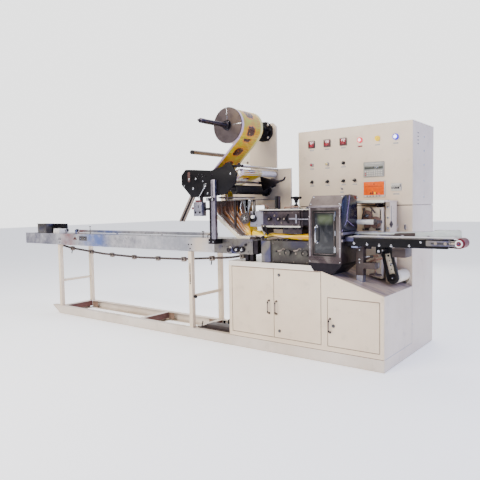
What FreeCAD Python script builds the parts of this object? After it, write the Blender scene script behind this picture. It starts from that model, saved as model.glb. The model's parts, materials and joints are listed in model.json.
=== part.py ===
import FreeCAD, Part
import math
import os

# Pouch packing machine, in millimetres. X runs with the product, from infeed to discharge,
# Y runs from the operator's side to the back, Z is up. The origin is the middle of the footprint.

# Overall lengths and depths
INFEED_OVERHANG = 677
CHANNEL_LENGTH = 3853
DISCHARGE_OVERHANG = 510
SHAFT_REACH = 410
CABINET_DEPTH = 569
TALL_DEPTH = 515

RIGHT = (INFEED_OVERHANG + CHANNEL_LENGTH + DISCHARGE_OVERHANG) / 2 - DISCHARGE_OVERHANG
FRONT = SHAFT_REACH - (SHAFT_REACH + CABINET_DEPTH + TALL_DEPTH) / 2
BACK = FRONT + CABINET_DEPTH
LEFT = RIGHT - CHANNEL_LENGTH
DISCHARGE_END = RIGHT + DISCHARGE_OVERHANG
INFEED_END = LEFT - INFEED_OVERHANG
SHEET = 3
RUNNING_FIT = 0.05

# The product line: the middle plane of film, chain and belts, and the height that pouches slide on
LINE_DEPTH = 120
LINE_Y = FRONT + LINE_DEPTH
LINE_Z = 913

# Base channels and legs
CHANNEL_HEIGHT = 90
CHANNEL_FLANGE = 50
CHANNEL_WALL = 5
BACK_CHANNEL_FACE = 464
LEG_WIDTH = 40
LEG_WALL = 3
LEG_BRACE_HEIGHT = 365
LEG_SPAN = 2010
BRACE_SIZE = 25
SLOT_WIDTH = 12
SLOT_BOTTOM = 490
SLOT_TOP = 680
GUSSET_REACH = 132
GUSSET_PLATE = 6
FOOT_RADIUS = 22
FOOT_PAD = 16

# Base cabinet
CABINET_LENGTH = 1373
CABINET_TOP = 689
SLOPE_LENGTH = 483
FLAT_TOP_LENGTH = CABINET_LENGTH - SLOPE_LENGTH
SLOPE_END_HEIGHT = 542
STRIP_THICKNESS = 40
STRIP_BEVEL = 28
STRIP_END = 553
STRIP_LENGTH = CABINET_LENGTH - STRIP_END
POST_DEPTH = 25
LEFT_POST = 34
MIDDLE_POST = 50
RIGHT_POST = 36
SMALL_DOOR_WIDTH = 401
SMALL_DOOR_TOP = 493
DOOR_BOTTOM = 134
DOOR_DEPTH = 18
DOOR_SKIN = 2
DOOR_GAP = 5
POSTS_WIDTH = SHEET + LEFT_POST + MIDDLE_POST + 2 * DOOR_GAP + RIGHT_POST
DOOR_PAIR_WIDTH = CABINET_LENGTH - POSTS_WIDTH - SMALL_DOOR_WIDTH
PIN_INSET = 5
PIN_RADIUS = 2.5
PIN_LENGTH = 12
HANDLE_LENGTH = 114
HANDLE_RADIUS = 5
STUB_RADIUS = 4
HANDLE_REACH = 28
HANDLE_BOTTOM = 317
SMALL_HANDLE_BOTTOM = 231
LEFT_HANDLE_INSET = 44
RIGHT_HANDLE_INSET = 22
SMALL_HANDLE_INSET = 18
LOCK_RADIUS = 9
LOCK_REACH = 6
LOCK_INSET = 48
LOW_LOCK_RISE = 54
HIGH_LOCK_DROP = 44
SMALL_LOCK_INSET = 46

# Tall control cabinet
TALL_LENGTH = 1012
TALL_HEIGHT = 1825
TALL_SEAM = 1174
SEAM_GAP = 6
SEAM_INSET = 8
PANEL_LEFT_COLUMN = 878
PANEL_PITCH = 149
PANEL_TOP_ROW = 1708
PANEL_MIDDLE_ROW = 1533
PANEL_LOW_ROW = 1385
CONTROLLER_SIZE = 62
CONTROLLER_REACH = 14
LAMP_RADIUS = 22
LAMP_REACH = 26
BUTTON_RADIUS = 17
BUTTON_REACH = 24
KNOB_RADIUS = 15
KNOB_REACH = 28
DISPLAY_REACH = 10
DISPLAY_LEFT = 399
DISPLAY_RIGHT = 226
SCREEN_MARGIN_LEFT = 4
SCREEN_MARGIN_RIGHT = 8
COUNTER_X = 129
COUNTER_WIDTH = 84
FIFTH_KNOB_SHIFT = 101.32
TOGGLE_SHIFT = 14
TOGGLE_DROP = 68
DRIVE_BOTTOM = 1404
DRIVE_TOP = 1524
SCREEN_BOTTOM = 1242
SCREEN_TOP = 1372
COUNTER_BOTTOM = 1286
COUNTER_TOP = 1346
TOGGLE_RADIUS = 7
SIDE_BOX_SIZE = 160
SIDE_BOX_REACH = 24
SIDE_BOX_BOTTOM = 778
SIDE_BOX_INSET = 2
LATCHES = (122, 50)
LATCH_BOTTOM = 980
LATCH_HEIGHT = 44
LATCH_WIDTH = 16
LATCH_PLATE = 6
LATCH_REACH = 18
LATCH_LEVER_WIDTH = 8
LATCH_LEVER_HEIGHT = 24

# Tower, film roll and guide roller
TOWER_DEPTH = 66
TOWER_SHEET = 16
TOWER_INSET = 46
TOWER_FACE = CABINET_DEPTH - SHEET - TOWER_DEPTH
PEDESTAL_SETBACK = 33
PEDESTAL_LEFT = CABINET_LENGTH - PEDESTAL_SETBACK
PEDESTAL_RIGHT = 1060
FEED_HOUSING_LEFT = 1850
FEED_HOUSING_RIGHT = 1051
FEED_HOUSING_BOTTOM = 1190
FEED_HOUSING_TOP = 1514
MAST_PLATE_LEFT = 1490
MAST_PLATE_RIGHT = 1200
MAST_PLATE_HEIGHT = 411
MAST_PLATE_TOP = FEED_HOUSING_TOP + MAST_PLATE_HEIGHT
MAST_PLATE_CUT = 34
REEL_X = 1320
REEL_DROP = 72
REEL_Z = MAST_PLATE_TOP - REEL_DROP
SHAFT_RADIUS = 19
SHAFT_SEAT = 60
BEARING_RADIUS = 92
BEARING_DEPTH = 32
HUB_RADIUS = 52
HUB_DEPTH = 72
ROLL_RADIUS = 143
ROLL_WIDTH = 300
FLANGE_RADIUS = 147
FLANGE_THICKNESS = 12
FLANGE_FACE = -50
CORE_RADIUS = 36
CORE_LENGTH = 26
SHAFT_TIP_LENGTH = 22
GUIDE_X = 1670
GUIDE_RISE = 142
GUIDE_Z = FEED_HOUSING_TOP + GUIDE_RISE
GUIDE_RADIUS = 18
GUIDE_FRONT = -110
GUIDE_ARM_THICKNESS = 12
GUIDE_ARM_HALF = 46

# Film feed unit between its black side plate and the housing behind it
SIDE_PLATE_FACE = -50
SIDE_PLATE_THICKNESS = 12
SIDE_PLATE_OUTLINE = ((1850, 1385), (1850, 1469), (1800, 1516), (1700, 1510), (1505, 1494), (1390, 1518),
                      (1322, 1554), (1288, 1534), (1232, 1453), (1246, 1376), (1345, 1290), (1546, 1268),
                      (1736, 1273))
FILM_THICKNESS = 1.2
FILM_CLEARANCE = 0.5
FILM_MARGIN = 4
ENTRY_ROLLER = (1500, 1455, 28)
PRINT_ROLLER = (1215, 1465, 27)
DRIVE_ROLLER = (1282, 1325, 38)
DANCER_ROLLER = (1720, 1380, 30)
TIE_RADIUS = 9
TURN_BAR = (1440, 1330, TIE_RADIUS)
TIE_BARS = ((1262, 1388), (1780, 1440))
NARROW_START = 1240
NARROW_TOP = 1430
TOP_BAR_X = 1195
TOP_BAR_Z = 1512
TOP_BAR_RADIUS = 11
LUG_LEFT = 100
LUG_RIGHT = 18
LUG_DROP = 6
LUG_RISE = 14
ROD_BLOCK_MARGIN = 16
ROD_BLOCK_LOW = 12
ROD_BLOCK_HIGH = 8
FOLD_BAR = (1440, 1262, 8)
FEED_ROLLERS = (ENTRY_ROLLER, PRINT_ROLLER, DRIVE_ROLLER, DANCER_ROLLER, TURN_BAR, FOLD_BAR)
ROD_TOP_X = 1730
ROD_TOP_Z = 1325
ROD_LOW_X = 1895
ROD_LOW_Z = 1062
SHELF_Z = 1243
SHELF_THICKNESS = 4
SHELF_LEFT = 1350
SHELF_RIGHT = 1190
HANGER_TOP = 1325

# Mast with the print mark sensor
MAST_X = 1475
MAST_WIDTH = 52
MAST_THICKNESS = 30
MAST_TOP = 1413
MAST_BRACKET_HEIGHT = 42
MAST_REAR_WIDTH = 14
MAST_REAR_SETBACK = 8
MAST_FOOT_WIDTH = 24
SENSOR_LEFT = 1662
SENSOR_RIGHT = 1566
SENSOR_BOTTOM = 1108
SENSOR_TOP = 1228
SENSOR_DEPTH = 60
STEM_WIDTH = 32
STEM_THICKNESS = 10
STEM_HEIGHT = 80
LINK_RISE = 50
LINK_SIZE = 20
GUIDE_ROD_RADIUS = 8
GUIDE_ROD_SPACING = 42

# Infeed conveyor
INFEED_WIDTH = 200
INFEED_FRONT = 20
INFEED_HEIGHT = 126
INFEED_PLATE = 6
DECK_THICKNESS = 5
DECK_DROP = 4
CHAIN_SLOT = 34
INFEED_RIGHT = 1125
RAIL_HEIGHT = 30
RAIL_THICKNESS = 4
RAIL_GAP = 12
RAIL_SETBACK = 30
RAIL_LEFT = 3760
RAIL_RIGHT = 1640
SPACER_RADIUS = 10
SPACER_INSET = 60
SPACER_PLACES = (420, 1300, 2196)
FOOT_PLACES = (1205, 1155)
FOOT_LENGTH = 26
FOOT_DEPTH = 40
END_GUIDE_LENGTH = 44
END_GUIDE_RISE = 10
END_GUIDE_DROP = 6
RAIL_POST_SHARES = (0.02, 0.34, 0.66, 0.98)
RAIL_POST_WIDTH = 16
CHAIN_LEFT = 4060
CHAIN_RIGHT = 1145
CHAIN_CENTRE_Z = 838
SPROCKET_RADIUS = 42
CHAIN_THICKNESS = 12
CHAIN_WIDTH = 12
CHAIN_SAG_Z = 687
SAG_RADIUS = 1200
SAG_SHARES = (0.15, 0.32, 0.5, 0.68, 0.85)
SAG_RISES = (50, 13, 0, 11, 46)
LUG_PITCH = 347
FIRST_LUG = 268
LUG_HEIGHT = 22
LUG_LENGTH = 14
CHAIN_SHAFT_RADIUS = 14
DRIVE_PLATE_LEFT = 1540
DRIVE_PLATE_THICKNESS = 8
HUB_X = 1357
INFEED_HUB_RADIUS = 34
INFEED_PULLEY_RADIUS = 24
HUB_DROP = 18
HUB_REACH = 22
NOSE_REACH = 34
PULLEY_REACH = 16
PULLEY_STEPS = (70, 126)
PULLEY_RISE = 6
END_BOX_X = 4210
END_BOX_LENGTH = 160
END_BOX_HEIGHT = 100
END_BOX_SETBACK = 6
END_BOX_REACH = 24
ARM_GAP = 60
ARM_POST = 46
ARM_LENGTH = 185
ARM_DEPTH = 36
ARM_HEIGHT = 24
SLAB_SHIFT = 62
SLAB_LENGTH = 118
SLAB_HEIGHT = 58
SLAB_SETBACK = 30
SLAB_GAP = 6
GUIDE_WHEEL_RADIUS = 15
GUIDE_WHEEL_WIDTH = 26
GUIDE_WHEEL_RISE = 42
GUIDE_WHEEL_PLACES = (3755, 3570)
WHEEL_STAND_LENGTH = 12
WHEEL_STAND_DEPTH = 14
WHEEL_STAND_HEIGHT = 50

# Forming and fin seal
FILM_WIDTH = 116
TUBE_HEIGHT = 46
TUBE_WALL = 1.5
TUBE_LEFT = 1180
TUBE_SEAT = 3
TUBE_OVERRUN = 22
FORMER_LEFT = 1489
FORMER_LIP_HEIGHT = 1115
FORMER_LIP = 26
FORMER_PLATE = 3
FORMER_BAR_LEFT = 1349
FORMER_BAR_WIDTH = 22
FOLD_LEFT = 1455
FOLD_LOW = 1095
FOLD_RIGHT = 1240
DRAW_WHEEL_X = 1195
DRAW_WHEEL_Z = 1086
DRAW_WHEEL_RADIUS = 47
DRAW_WHEEL_FRONT = 2
DRAW_WHEEL_WIDTH = 14
DRUM_RADIUS = 29.04
DRUM_BACK = 48
HANGER_HALF = 12
HANGER_FRONT = 30
HANGER_THICKNESS = 12
BOX_FOOT = 60
CHEEK_STEP = 16
FOLD_CORNER = 56
LOWER_UNIT_LEFT = 1040
LOWER_UNIT_FRONT = 22
LOWER_UNIT_BACK = 222
END_PLATE_LENGTH = 90
END_PLATE_PROUD = 10
UNIT_GAP = 5
RIDGE_WIDTH = 40
UPPER_UNIT_LEFT = 1118
UPPER_UNIT_RIGHT = 672
UPPER_UNIT_BOTTOM = 1016
UPPER_UNIT_TOP = 1146
UPPER_UNIT_FRONT = 48
UPPER_UNIT_BACK = 196
TOP_PLATE_LEFT = 1072
TOP_PLATE_THICKNESS = 10
COLUMN_SIZE = 36
COLUMN_DEPTH = 24
UPPER_SHAFT_Y = 108
UPPER_SHAFT_Z = 1080
UPPER_SHAFT_RADIUS = 9
TOP_PLATE_FRONT = 26
TOP_PLATE_BACK = 222
PADS = ((860, 690, 14), (1046, 1026, 6))
PAD_BACK = 176
POST_RADIUS = 11
SCREW_NUT_RADIUS = 20
SCREW_NUT_HEIGHT = 20
COLLAR_HEIGHT = 19
KNOB_Z = 818
KNOB_PLACES = (782, 624)
BIG_KNOB_RADIUS = 22
BIG_KNOB_REACH = 26
SCREW_X = 742
SCREW_Y = 70
WHEEL_Z = 1240
WHEEL_RADIUS = 46
WHEEL_THICKNESS = 12
SCREW_RADIUS = 8
SCREW_GAP = 2
NUT_GAP = 1
POST_X = 900
POST_TOP = 1262

# End sealing hood
HOOD_LEFT = 595
HOOD_RIGHT = 325
HOOD_DEPTH = 272
HOOD_BOTTOM = 752
HOOD_FRONT_TOP = 1179
HOOD_TOP = 1254
HOOD_SLOPE_DEPTH = 70
HOOD_WALL = 4
HOOD_FRONT_THICKNESS = 14
WINDOW_LEFT = 556
WINDOW_RIGHT = 374
WINDOW_BOTTOM = 812
WINDOW_TOP = 1138
WINDOW_GAP = 5
WINDOW_RIM = 12
WINDOW_DEPTH = 10
WINDOW_PIN_INSET = 5
WINDOW_PIN_RADIUS = 2
WINDOW_PIN_LENGTH = 8
PANE_SETBACK = 2
PANE_THICKNESS = 5
WINDOW_HANDLE_INSET = 14
WINDOW_HANDLE_RISE = 88
WINDOW_HANDLE_LENGTH = 134
WINDOW_HANDLE_REACH = 24
WINDOW_STUB_INSET = 10
PORT_WIDTH = 150
PORT_BOTTOM = 900
PORT_TOP = 990
HOOD_BASE_RIGHT = 405
HOOD_BASE_EDGE = 14
JAW_X = 460
JAW_SPACING = 108
JAW_RADIUS = 48
JAW_THICKNESS = 26
JAW_WIDTH = 130
JAW_SHAFT_RADIUS = 12
BEARING_BLOCK_DEPTH = 36
BEARING_MARGIN = 34
BORE_END = 2
SHAFT_END = 3
JAW_SHAFT_FRONT = 34

# Discharge conveyor
DISCHARGE_WIDTH = 118
ROLLER_RADIUS = 31
BELT_THICKNESS = 3
ROLLER_Z = 921
SIDE_BEAM_HEIGHT = 44
SIDE_BEAM_TOP = 927
BEAM_THICKNESS = 6
BEAM_GAP = 2
BEAM_RISE = 23
BED_INSET = 60
BED_THICKNESS = 12
BED_DROP = 1
BRACKET_THICKNESS = 5
BRACKET_DROP = 20
BRACKET_RISE = 16
BRACKET_OVERRUN = 12
TENSION_LENGTH = 30
TENSION_HALF = 7
GUARD_THICKNESS = 3
BEAM_RIGHT_REACH = 408
TAIL_ROLLER_X = 285
BRACKET_LENGTH = 142
ROLLER_SHAFT_RADIUS = 8
GUARD_LOW = 26
GUARD_HIGH = 58
GUARD_STEP = 275
GUARD_SLOPE = 26
GUARD_FALL = 4
GUARD_END = 455
ARM_FACE = 318
ARM_TOP_X = 115
ARM_TOP_Z = 842
ARM_LOW_X = 62
ARM_LOW_Z = 630
ARM_TOP_RADIUS = 31
ARM_LOW_RADIUS = 31
ARM_BELT = 13
ARM_WIDTH = 22
ARM_PLATE_WIDTH = 52
ARM_PLATE_THICKNESS = 6
ARM_SHAFT_RADIUS = 10
DRIVE_HUB_RADIUS = 46
ARM_LUG_HALF = 22
ARM_LUG_DROP = 20
STAND_X = 245
STAND_SIZE = 50
HEIGHT_SCREW_X = 150
HEIGHT_SCREW_Y = 205
HEIGHT_WHEEL_Z = 656
NUT_Z = 716
NUT_HEIGHT = 36
NUT_HALF = 22
NUT_REACH = 94
STAND_SETBACK = 20
STAND_PLATE = 12
SCREW_TOP_REACH = 40
HEIGHT_COLLAR = 13

# Drive behind the hood
GEARBOX_LEFT = 320
GEARBOX_RIGHT = 160
GEARBOX_FRONT = 330
GEARBOX_BACK = 500
GEARBOX_BOTTOM = 975
GEARBOX_TOP = 1160
GEAR_WIDTH = 24
GEARS = ((272, 1098, 40), (204.8, 1046, 46))
COUPLING_Z = 1047
COUPLING_SETBACK = 22
COUPLING_RADIUS = 10
COUPLING_END = 220
COUPLING_BLOCK = 16
COUPLING_BLOCK_FRONT = 14
COUPLING_BLOCK_HALF = 17
PILLAR_GAP = 12
PILLAR_WIDTH = 46
PILLAR_FRONT = 400
PILLAR_BACK = 540
REAR_SHELF_Z = 1212
REAR_SHELF_THICKNESS = 12
REAR_SHELF_LEFT = 440
REAR_SHELF_RIGHT = 120
REAR_SHELF_SETBACK = 20
RIB_X = 196
RIB_SETBACK = 60
RIB_HEIGHT = 38
RIB_THICKNESS = 8


def x_at(distance):
    """X of a place measured to the left of the cabinet's right side."""
    return RIGHT - distance


def y_at(depth):
    """Y of a place measured back from the cabinet's front face."""
    return FRONT + depth


def vector(x, y, z):
    return FreeCAD.Vector(x, y, z)


def block(x0, x1, y0, y1, z0, z1):
    """Box between two corners, in any order."""
    low = vector(min(x0, x1), min(y0, y1), min(z0, z1))
    return Part.makeBox(abs(x1 - x0), abs(y1 - y0), abs(z1 - z0), low)


def rod_x(x0, x1, y, z, radius):
    return Part.makeCylinder(radius, x1 - x0, vector(x0, y, z), vector(1, 0, 0))


def rod_y(y0, y1, x, z, radius):
    return Part.makeCylinder(radius, y1 - y0, vector(x, y0, z), vector(0, 1, 0))


def rod_z(z0, z1, x, y, radius):
    return Part.makeCylinder(radius, z1 - z0, vector(x, y, z0), vector(0, 0, 1))


def rod_between(start, end, radius):
    run = end.sub(start)
    return Part.makeCylinder(radius, run.Length, start, run)


def side_profile(points, y0, y1):
    """Prism whose outline is seen from the front, as (x, z) points."""
    ring = [vector(x, y0, z) for x, z in points]
    face = Part.Face(Part.makePolygon(ring + ring[:1]))
    return face.extrude(vector(0, y1 - y0, 0))


def end_profile(points, x0, x1):
    """Prism whose outline is seen from the end, as (y, z) points."""
    ring = [vector(x0, y, z) for y, z in points]
    face = Part.Face(Part.makePolygon(ring + ring[:1]))
    return face.extrude(vector(x1 - x0, 0, 0))


def joined(shapes):
    """One solid from pieces that touch or overlap."""
    result = shapes[0]
    if len(shapes) > 1:
        result = result.multiFuse(shapes[1:])
    return result.removeSplitter()


def write(name, *solids):
    """One file per node: a single solid, or several that do not touch."""
    shape = solids[0] if len(solids) == 1 else Part.makeCompound(list(solids))
    shape.exportStep(os.path.join("parts", name + ".step"))


def right_of(direction):
    return (direction[1], -direction[0])


def tangent(first, second):
    """Line that leaves one circle and meets the next; a circle is (x, z, radius, turn)."""
    x1, z1, r1, turn1 = first
    x2, z2, r2, turn2 = second
    span = math.hypot(x2 - x1, z2 - z1)
    heading = math.atan2(z2 - z1, x2 - x1) - math.asin((turn2 * r2 - turn1 * r1) / span)
    direction = (math.cos(heading), math.sin(heading))
    side = right_of(direction)
    start = (x1 + turn1 * r1 * side[0], z1 + turn1 * r1 * side[1])
    end = (x2 + turn2 * r2 * side[0], z2 + turn2 * r2 * side[1])
    return start, end, direction


def arc_edge(circle, radius, start_direction, end_direction, y):
    """Arc about a circle's centre between the two directions of travel."""
    x, z, turn = circle[0], circle[1], circle[3]
    first = math.atan2(-turn * start_direction[0], turn * start_direction[1])
    last = math.atan2(-turn * end_direction[0], turn * end_direction[1])
    sweep = (turn * (last - first)) % (2 * math.pi)
    ends = []
    for share in (0, 0.5, 1):
        angle = first + turn * sweep * share
        ends.append(vector(x + radius * math.cos(angle), y, z + radius * math.sin(angle)))
    return Part.Arc(*ends).toShape()


def strip_side(circles, runs, offset, y, closed):
    """Edges of the strip's line, moved sideways to the right of travel by offset."""
    edges = []
    for index, (start, end, direction) in enumerate(runs):
        side = right_of(direction)
        a = vector(start[0] + offset * side[0], y, start[1] + offset * side[1])
        b = vector(end[0] + offset * side[0], y, end[1] + offset * side[1])
        edges.append(Part.LineSegment(a, b).toShape())
        if closed or index < len(runs) - 1:
            circle = circles[(index + 1) % len(circles)]
            following = runs[(index + 1) % len(runs)][2]
            radius = circle[2] + circle[3] * offset
            edges.append(arc_edge(circle, radius, direction, following, y))
    return edges


def loop(circles, thickness, y0, y1):
    """Closed belt or chain round the circles, which are given at its middle line."""
    runs = [tangent(circles[i], circles[(i + 1) % len(circles)]) for i in range(len(circles))]
    wires = [Part.Wire(strip_side(circles, runs, side * thickness / 2, y0, True)) for side in (1, -1)]
    solids = [Part.Face(wire).extrude(vector(0, y1 - y0, 0)) for wire in wires]
    return solids[0].cut(solids[1])


def open_strip(circles, thickness, y0, y1):
    """Sheet that runs from the first circle to the last, round those between."""
    runs = [tangent(circles[i], circles[i + 1]) for i in range(len(circles) - 1)]
    first = strip_side(circles, runs, thickness / 2, y0, False)
    second = strip_side(circles, runs, -thickness / 2, y0, False)
    caps = []
    for index in (0, -1):
        a = first[index].Vertexes[index].Point
        b = second[index].Vertexes[index].Point
        caps.append(Part.LineSegment(a, b).toShape())
    wire = Part.Wire(Part.sortEdges(first + second + caps)[0])
    return Part.Face(wire).extrude(vector(0, y1 - y0, 0))


def channel_x(x0, x1, web_y, inward):
    """Channel along X; its web is at web_y and its flanges point inward."""
    open_y = web_y + inward * CHANNEL_FLANGE
    outer = block(x0, x1, web_y, open_y, 0, CHANNEL_HEIGHT)
    hollow = block(x0, x1, web_y + inward * CHANNEL_WALL, open_y,
                   CHANNEL_WALL, CHANNEL_HEIGHT - CHANNEL_WALL)
    return outer.cut(hollow)


def channel_y(x0, y0, y1):
    """Channel across the base; its web is at x0 and its flanges point to the discharge end."""
    x1 = x0 + CHANNEL_FLANGE
    outer = block(x0, x1, y0, y1, 0, CHANNEL_HEIGHT)
    return outer.cut(block(x0 + CHANNEL_WALL, x1, y0, y1, CHANNEL_WALL, CHANNEL_HEIGHT - CHANNEL_WALL))


def base_channels():
    front = channel_x(LEFT, RIGHT - SHEET, FRONT, 1)
    back_face = y_at(BACK_CHANNEL_FACE)
    back = channel_x(LEFT, RIGHT - SHEET, back_face, -1)
    write("side_channels", front, back)
    inner_front = FRONT + CHANNEL_FLANGE
    inner_back = back_face - CHANNEL_FLANGE
    middle = (LEFT + x_at(CABINET_LENGTH)) / 2 + CHANNEL_FLANGE
    places = (LEFT, middle, LEFT + LEG_SPAN)
    write("cross_channels", *[channel_y(x, inner_front, inner_back) for x in places])


def end_bracket():
    """Gusset that stands out at the infeed end of the front channel, with a round foot behind it."""
    reach = GUSSET_REACH
    plate = GUSSET_PLATE
    corners = [(LEFT - reach, CHANNEL_HEIGHT), (LEFT, CHANNEL_HEIGHT), (LEFT, CHANNEL_WALL)]
    corners.append((LEFT - plate, CHANNEL_WALL))
    corners.append((LEFT - reach, CHANNEL_HEIGHT - plate))
    web = side_profile(corners, FRONT, FRONT + plate)
    shelf = block(LEFT - reach, LEFT, FRONT, FRONT + CHANNEL_FLANGE, CHANNEL_HEIGHT - plate, CHANNEL_HEIGHT)
    foot_x = LEFT - FOOT_RADIUS - plate
    foot_y = FRONT + plate + FOOT_RADIUS + plate
    pad = rod_z(0, FOOT_PAD, foot_x, foot_y, FOOT_RADIUS)
    stem = rod_z(FOOT_PAD, CHANNEL_HEIGHT - plate, foot_x, foot_y, FOOT_RADIUS / 3)
    write("end_bracket", joined([web, shelf, pad, stem]))


def square_tube(x, y, z0, z1):
    """Upright square tube with its low corner at x, y."""
    outer = block(x, x + LEG_WIDTH, y, y + LEG_WIDTH, z0, z1)
    inner = block(x + LEG_WALL, x + LEG_WIDTH - LEG_WALL, y + LEG_WALL, y + LEG_WIDTH - LEG_WALL, z0, z1)
    return outer.cut(inner)


def leg_frame(x, slotted):
    """Front and back post on the channels with a low brace, and a bar to the conveyor's rear plate."""
    front_y = FRONT + CHANNEL_WALL
    back_y = y_at(BACK_CHANNEL_FACE) - CHANNEL_WALL - LEG_WIDTH
    top = LINE_Z - INFEED_HEIGHT
    front_post = square_tube(x, front_y, CHANNEL_HEIGHT, top)
    if slotted:
        middle = x + LEG_WIDTH / 2
        slot = block(middle - SLOT_WIDTH / 2, middle + SLOT_WIDTH / 2, front_y, front_y + LEG_WIDTH,
                     SLOT_BOTTOM, SLOT_TOP)
        front_post = front_post.cut(slot)
    bar_top = top + LEG_WIDTH
    back_post = square_tube(x, back_y, CHANNEL_HEIGHT, bar_top)
    margin = (LEG_WIDTH - BRACE_SIZE) / 2
    brace = block(x + margin, x + LEG_WIDTH - margin, front_y + LEG_WIDTH, back_y,
                  LEG_BRACE_HEIGHT, LEG_BRACE_HEIGHT + BRACE_SIZE)
    bar = block(x, x + LEG_WIDTH, infeed_back_y(), back_y, top, bar_top)
    return joined([front_post, back_post, brace, bar])


def legs():
    write("left_leg_frame", leg_frame(LEFT, False))
    write("right_leg_frame", leg_frame(LEFT + LEG_SPAN, True))


def slope_height(x):
    """Height of the cabinet's top sheet at x."""
    start = x_at(CABINET_LENGTH - FLAT_TOP_LENGTH)
    if x <= start:
        return CABINET_TOP
    share = (x - start) / (RIGHT - start)
    return CABINET_TOP + share * (SLOPE_END_HEIGHT - CABINET_TOP)


def cabinet_left():
    return x_at(CABINET_LENGTH)


def pair_left():
    return cabinet_left() + LEFT_POST + SHEET


def pair_right():
    return pair_left() + DOOR_PAIR_WIDTH


def small_left():
    return pair_right() + MIDDLE_POST + 2 * DOOR_GAP


def small_right():
    return small_left() + SMALL_DOOR_WIDTH


def under_top(x):
    """Height of the top sheet's underside at x."""
    return slope_height(x) - SHEET


def cabinet_shell():
    left = cabinet_left()
    slope_start = left + FLAT_TOP_LENGTH
    under = CABINET_TOP - SHEET
    floor_z = CHANNEL_HEIGHT
    floor = block(left + SHEET, RIGHT - SHEET, FRONT, BACK - SHEET, floor_z, floor_z + SHEET)
    write("cabinet_floor", floor)
    end_z = SLOPE_END_HEIGHT - SHEET
    inner = RIGHT - SHEET
    back = [(left, floor_z), (inner, floor_z), (inner, under_top(inner)), (slope_start, under),
            (left, under)]
    write("cabinet_back", side_profile(back, BACK - SHEET, BACK))
    left_side = block(left, left + SHEET, FRONT, BACK - SHEET, floor_z, under)
    right_outline = [(inner, 0), (RIGHT, 0), (RIGHT, end_z), (inner, under_top(inner))]
    right_side = side_profile(right_outline, FRONT, BACK)
    write("cabinet_sides", left_side, right_side)
    top = [(left, under), (slope_start, under), (RIGHT, end_z), (RIGHT, SLOPE_END_HEIGHT),
           (slope_start, CABINET_TOP), (left, CABINET_TOP)]
    write("cabinet_top", side_profile(top, FRONT, BACK))
    strip_right = left + STRIP_LENGTH
    strip_top = CABINET_TOP + STRIP_THICKNESS
    strip = [(left, CABINET_TOP), (strip_right, CABINET_TOP), (strip_right - STRIP_BEVEL, strip_top),
             (left, strip_top)]
    write("bed_strip", side_profile(strip, FRONT, BACK))


def front_piece(x0, x1, z0):
    """Piece of the cabinet's front from z0 up to the top sheet, flat or sloping."""
    knee = cabinet_left() + FLAT_TOP_LENGTH
    outline = [(x0, z0), (x1, z0), (x1, under_top(x1))]
    if x0 < knee < x1:
        outline.append((knee, under_top(knee)))
    outline.append((x0, under_top(x0)))
    return side_profile(outline, FRONT, FRONT + POST_DEPTH)


def cabinet_front():
    left = cabinet_left() + SHEET
    right = RIGHT - SHEET
    rail_top = DOOR_BOTTOM - DOOR_GAP
    panel_left = small_left() - DOOR_GAP
    panel_bottom = SMALL_DOOR_TOP + DOOR_GAP
    y0, y1 = FRONT, FRONT + POST_DEPTH
    left_post = front_piece(left, pair_left() - DOOR_GAP, rail_top)
    middle_post = front_piece(pair_right() + DOOR_GAP, panel_left, rail_top)
    right_post = block(small_right() + DOOR_GAP, right, y0, y1, rail_top, panel_bottom)
    write("front_posts", left_post, middle_post, right_post)
    bottom_rail = block(left, right, y0, y1, CHANNEL_HEIGHT + SHEET, rail_top)
    write("front_rails", bottom_rail, front_piece(panel_left, right, panel_bottom))


def door_pan(x0, x1, z1):
    """Folded sheet door, open at the back, with its face flush with the cabinet's front."""
    y1 = FRONT + DOOR_DEPTH
    pan = block(x0, x1, FRONT, y1, DOOR_BOTTOM, z1)
    return pan.cut(block(x0 + DOOR_SKIN, x1 - DOOR_SKIN, FRONT + DOOR_SKIN, y1,
                         DOOR_BOTTOM + DOOR_SKIN, z1 - DOOR_SKIN))


def pin_y():
    return FRONT + PIN_INSET


def drilled(pan, pin_x, z1):
    """The door with the holes that its hinge pins turn in."""
    radius = PIN_RADIUS + RUNNING_FIT
    hole = rod_z(DOOR_BOTTOM - 1, z1 + 1, pin_x, pin_y(), radius)
    return pan.cut(hole)


def bow_handle(x, z0, length):
    """Upright bow of round bar on two stubs."""
    y = FRONT - HANDLE_REACH
    bar = rod_z(z0, z0 + length, x, y, HANDLE_RADIUS)
    inset = HANDLE_RADIUS * 2
    stubs = [rod_y(y, FRONT, x, z, STUB_RADIUS) for z in (z0 + inset, z0 + length - inset)]
    return joined([bar] + stubs)


def lock(x, z):
    return rod_y(FRONT - LOCK_REACH, FRONT, x, z, LOCK_RADIUS)


def door_edges():
    """Left edge, right edge, top and hinge pin X of each door."""
    half_gap = DOOR_GAP / 2
    middle = (pair_left() + pair_right()) / 2
    pair_top = CABINET_TOP - SHEET - DOOR_GAP
    return {
        "left": (pair_left(), middle - half_gap, pair_top, pair_left() + PIN_INSET),
        "right": (middle + half_gap, pair_right(), pair_top, pair_right() - PIN_INSET),
        "small": (small_left(), small_right(), SMALL_DOOR_TOP, small_right() - PIN_INSET),
    }


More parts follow.
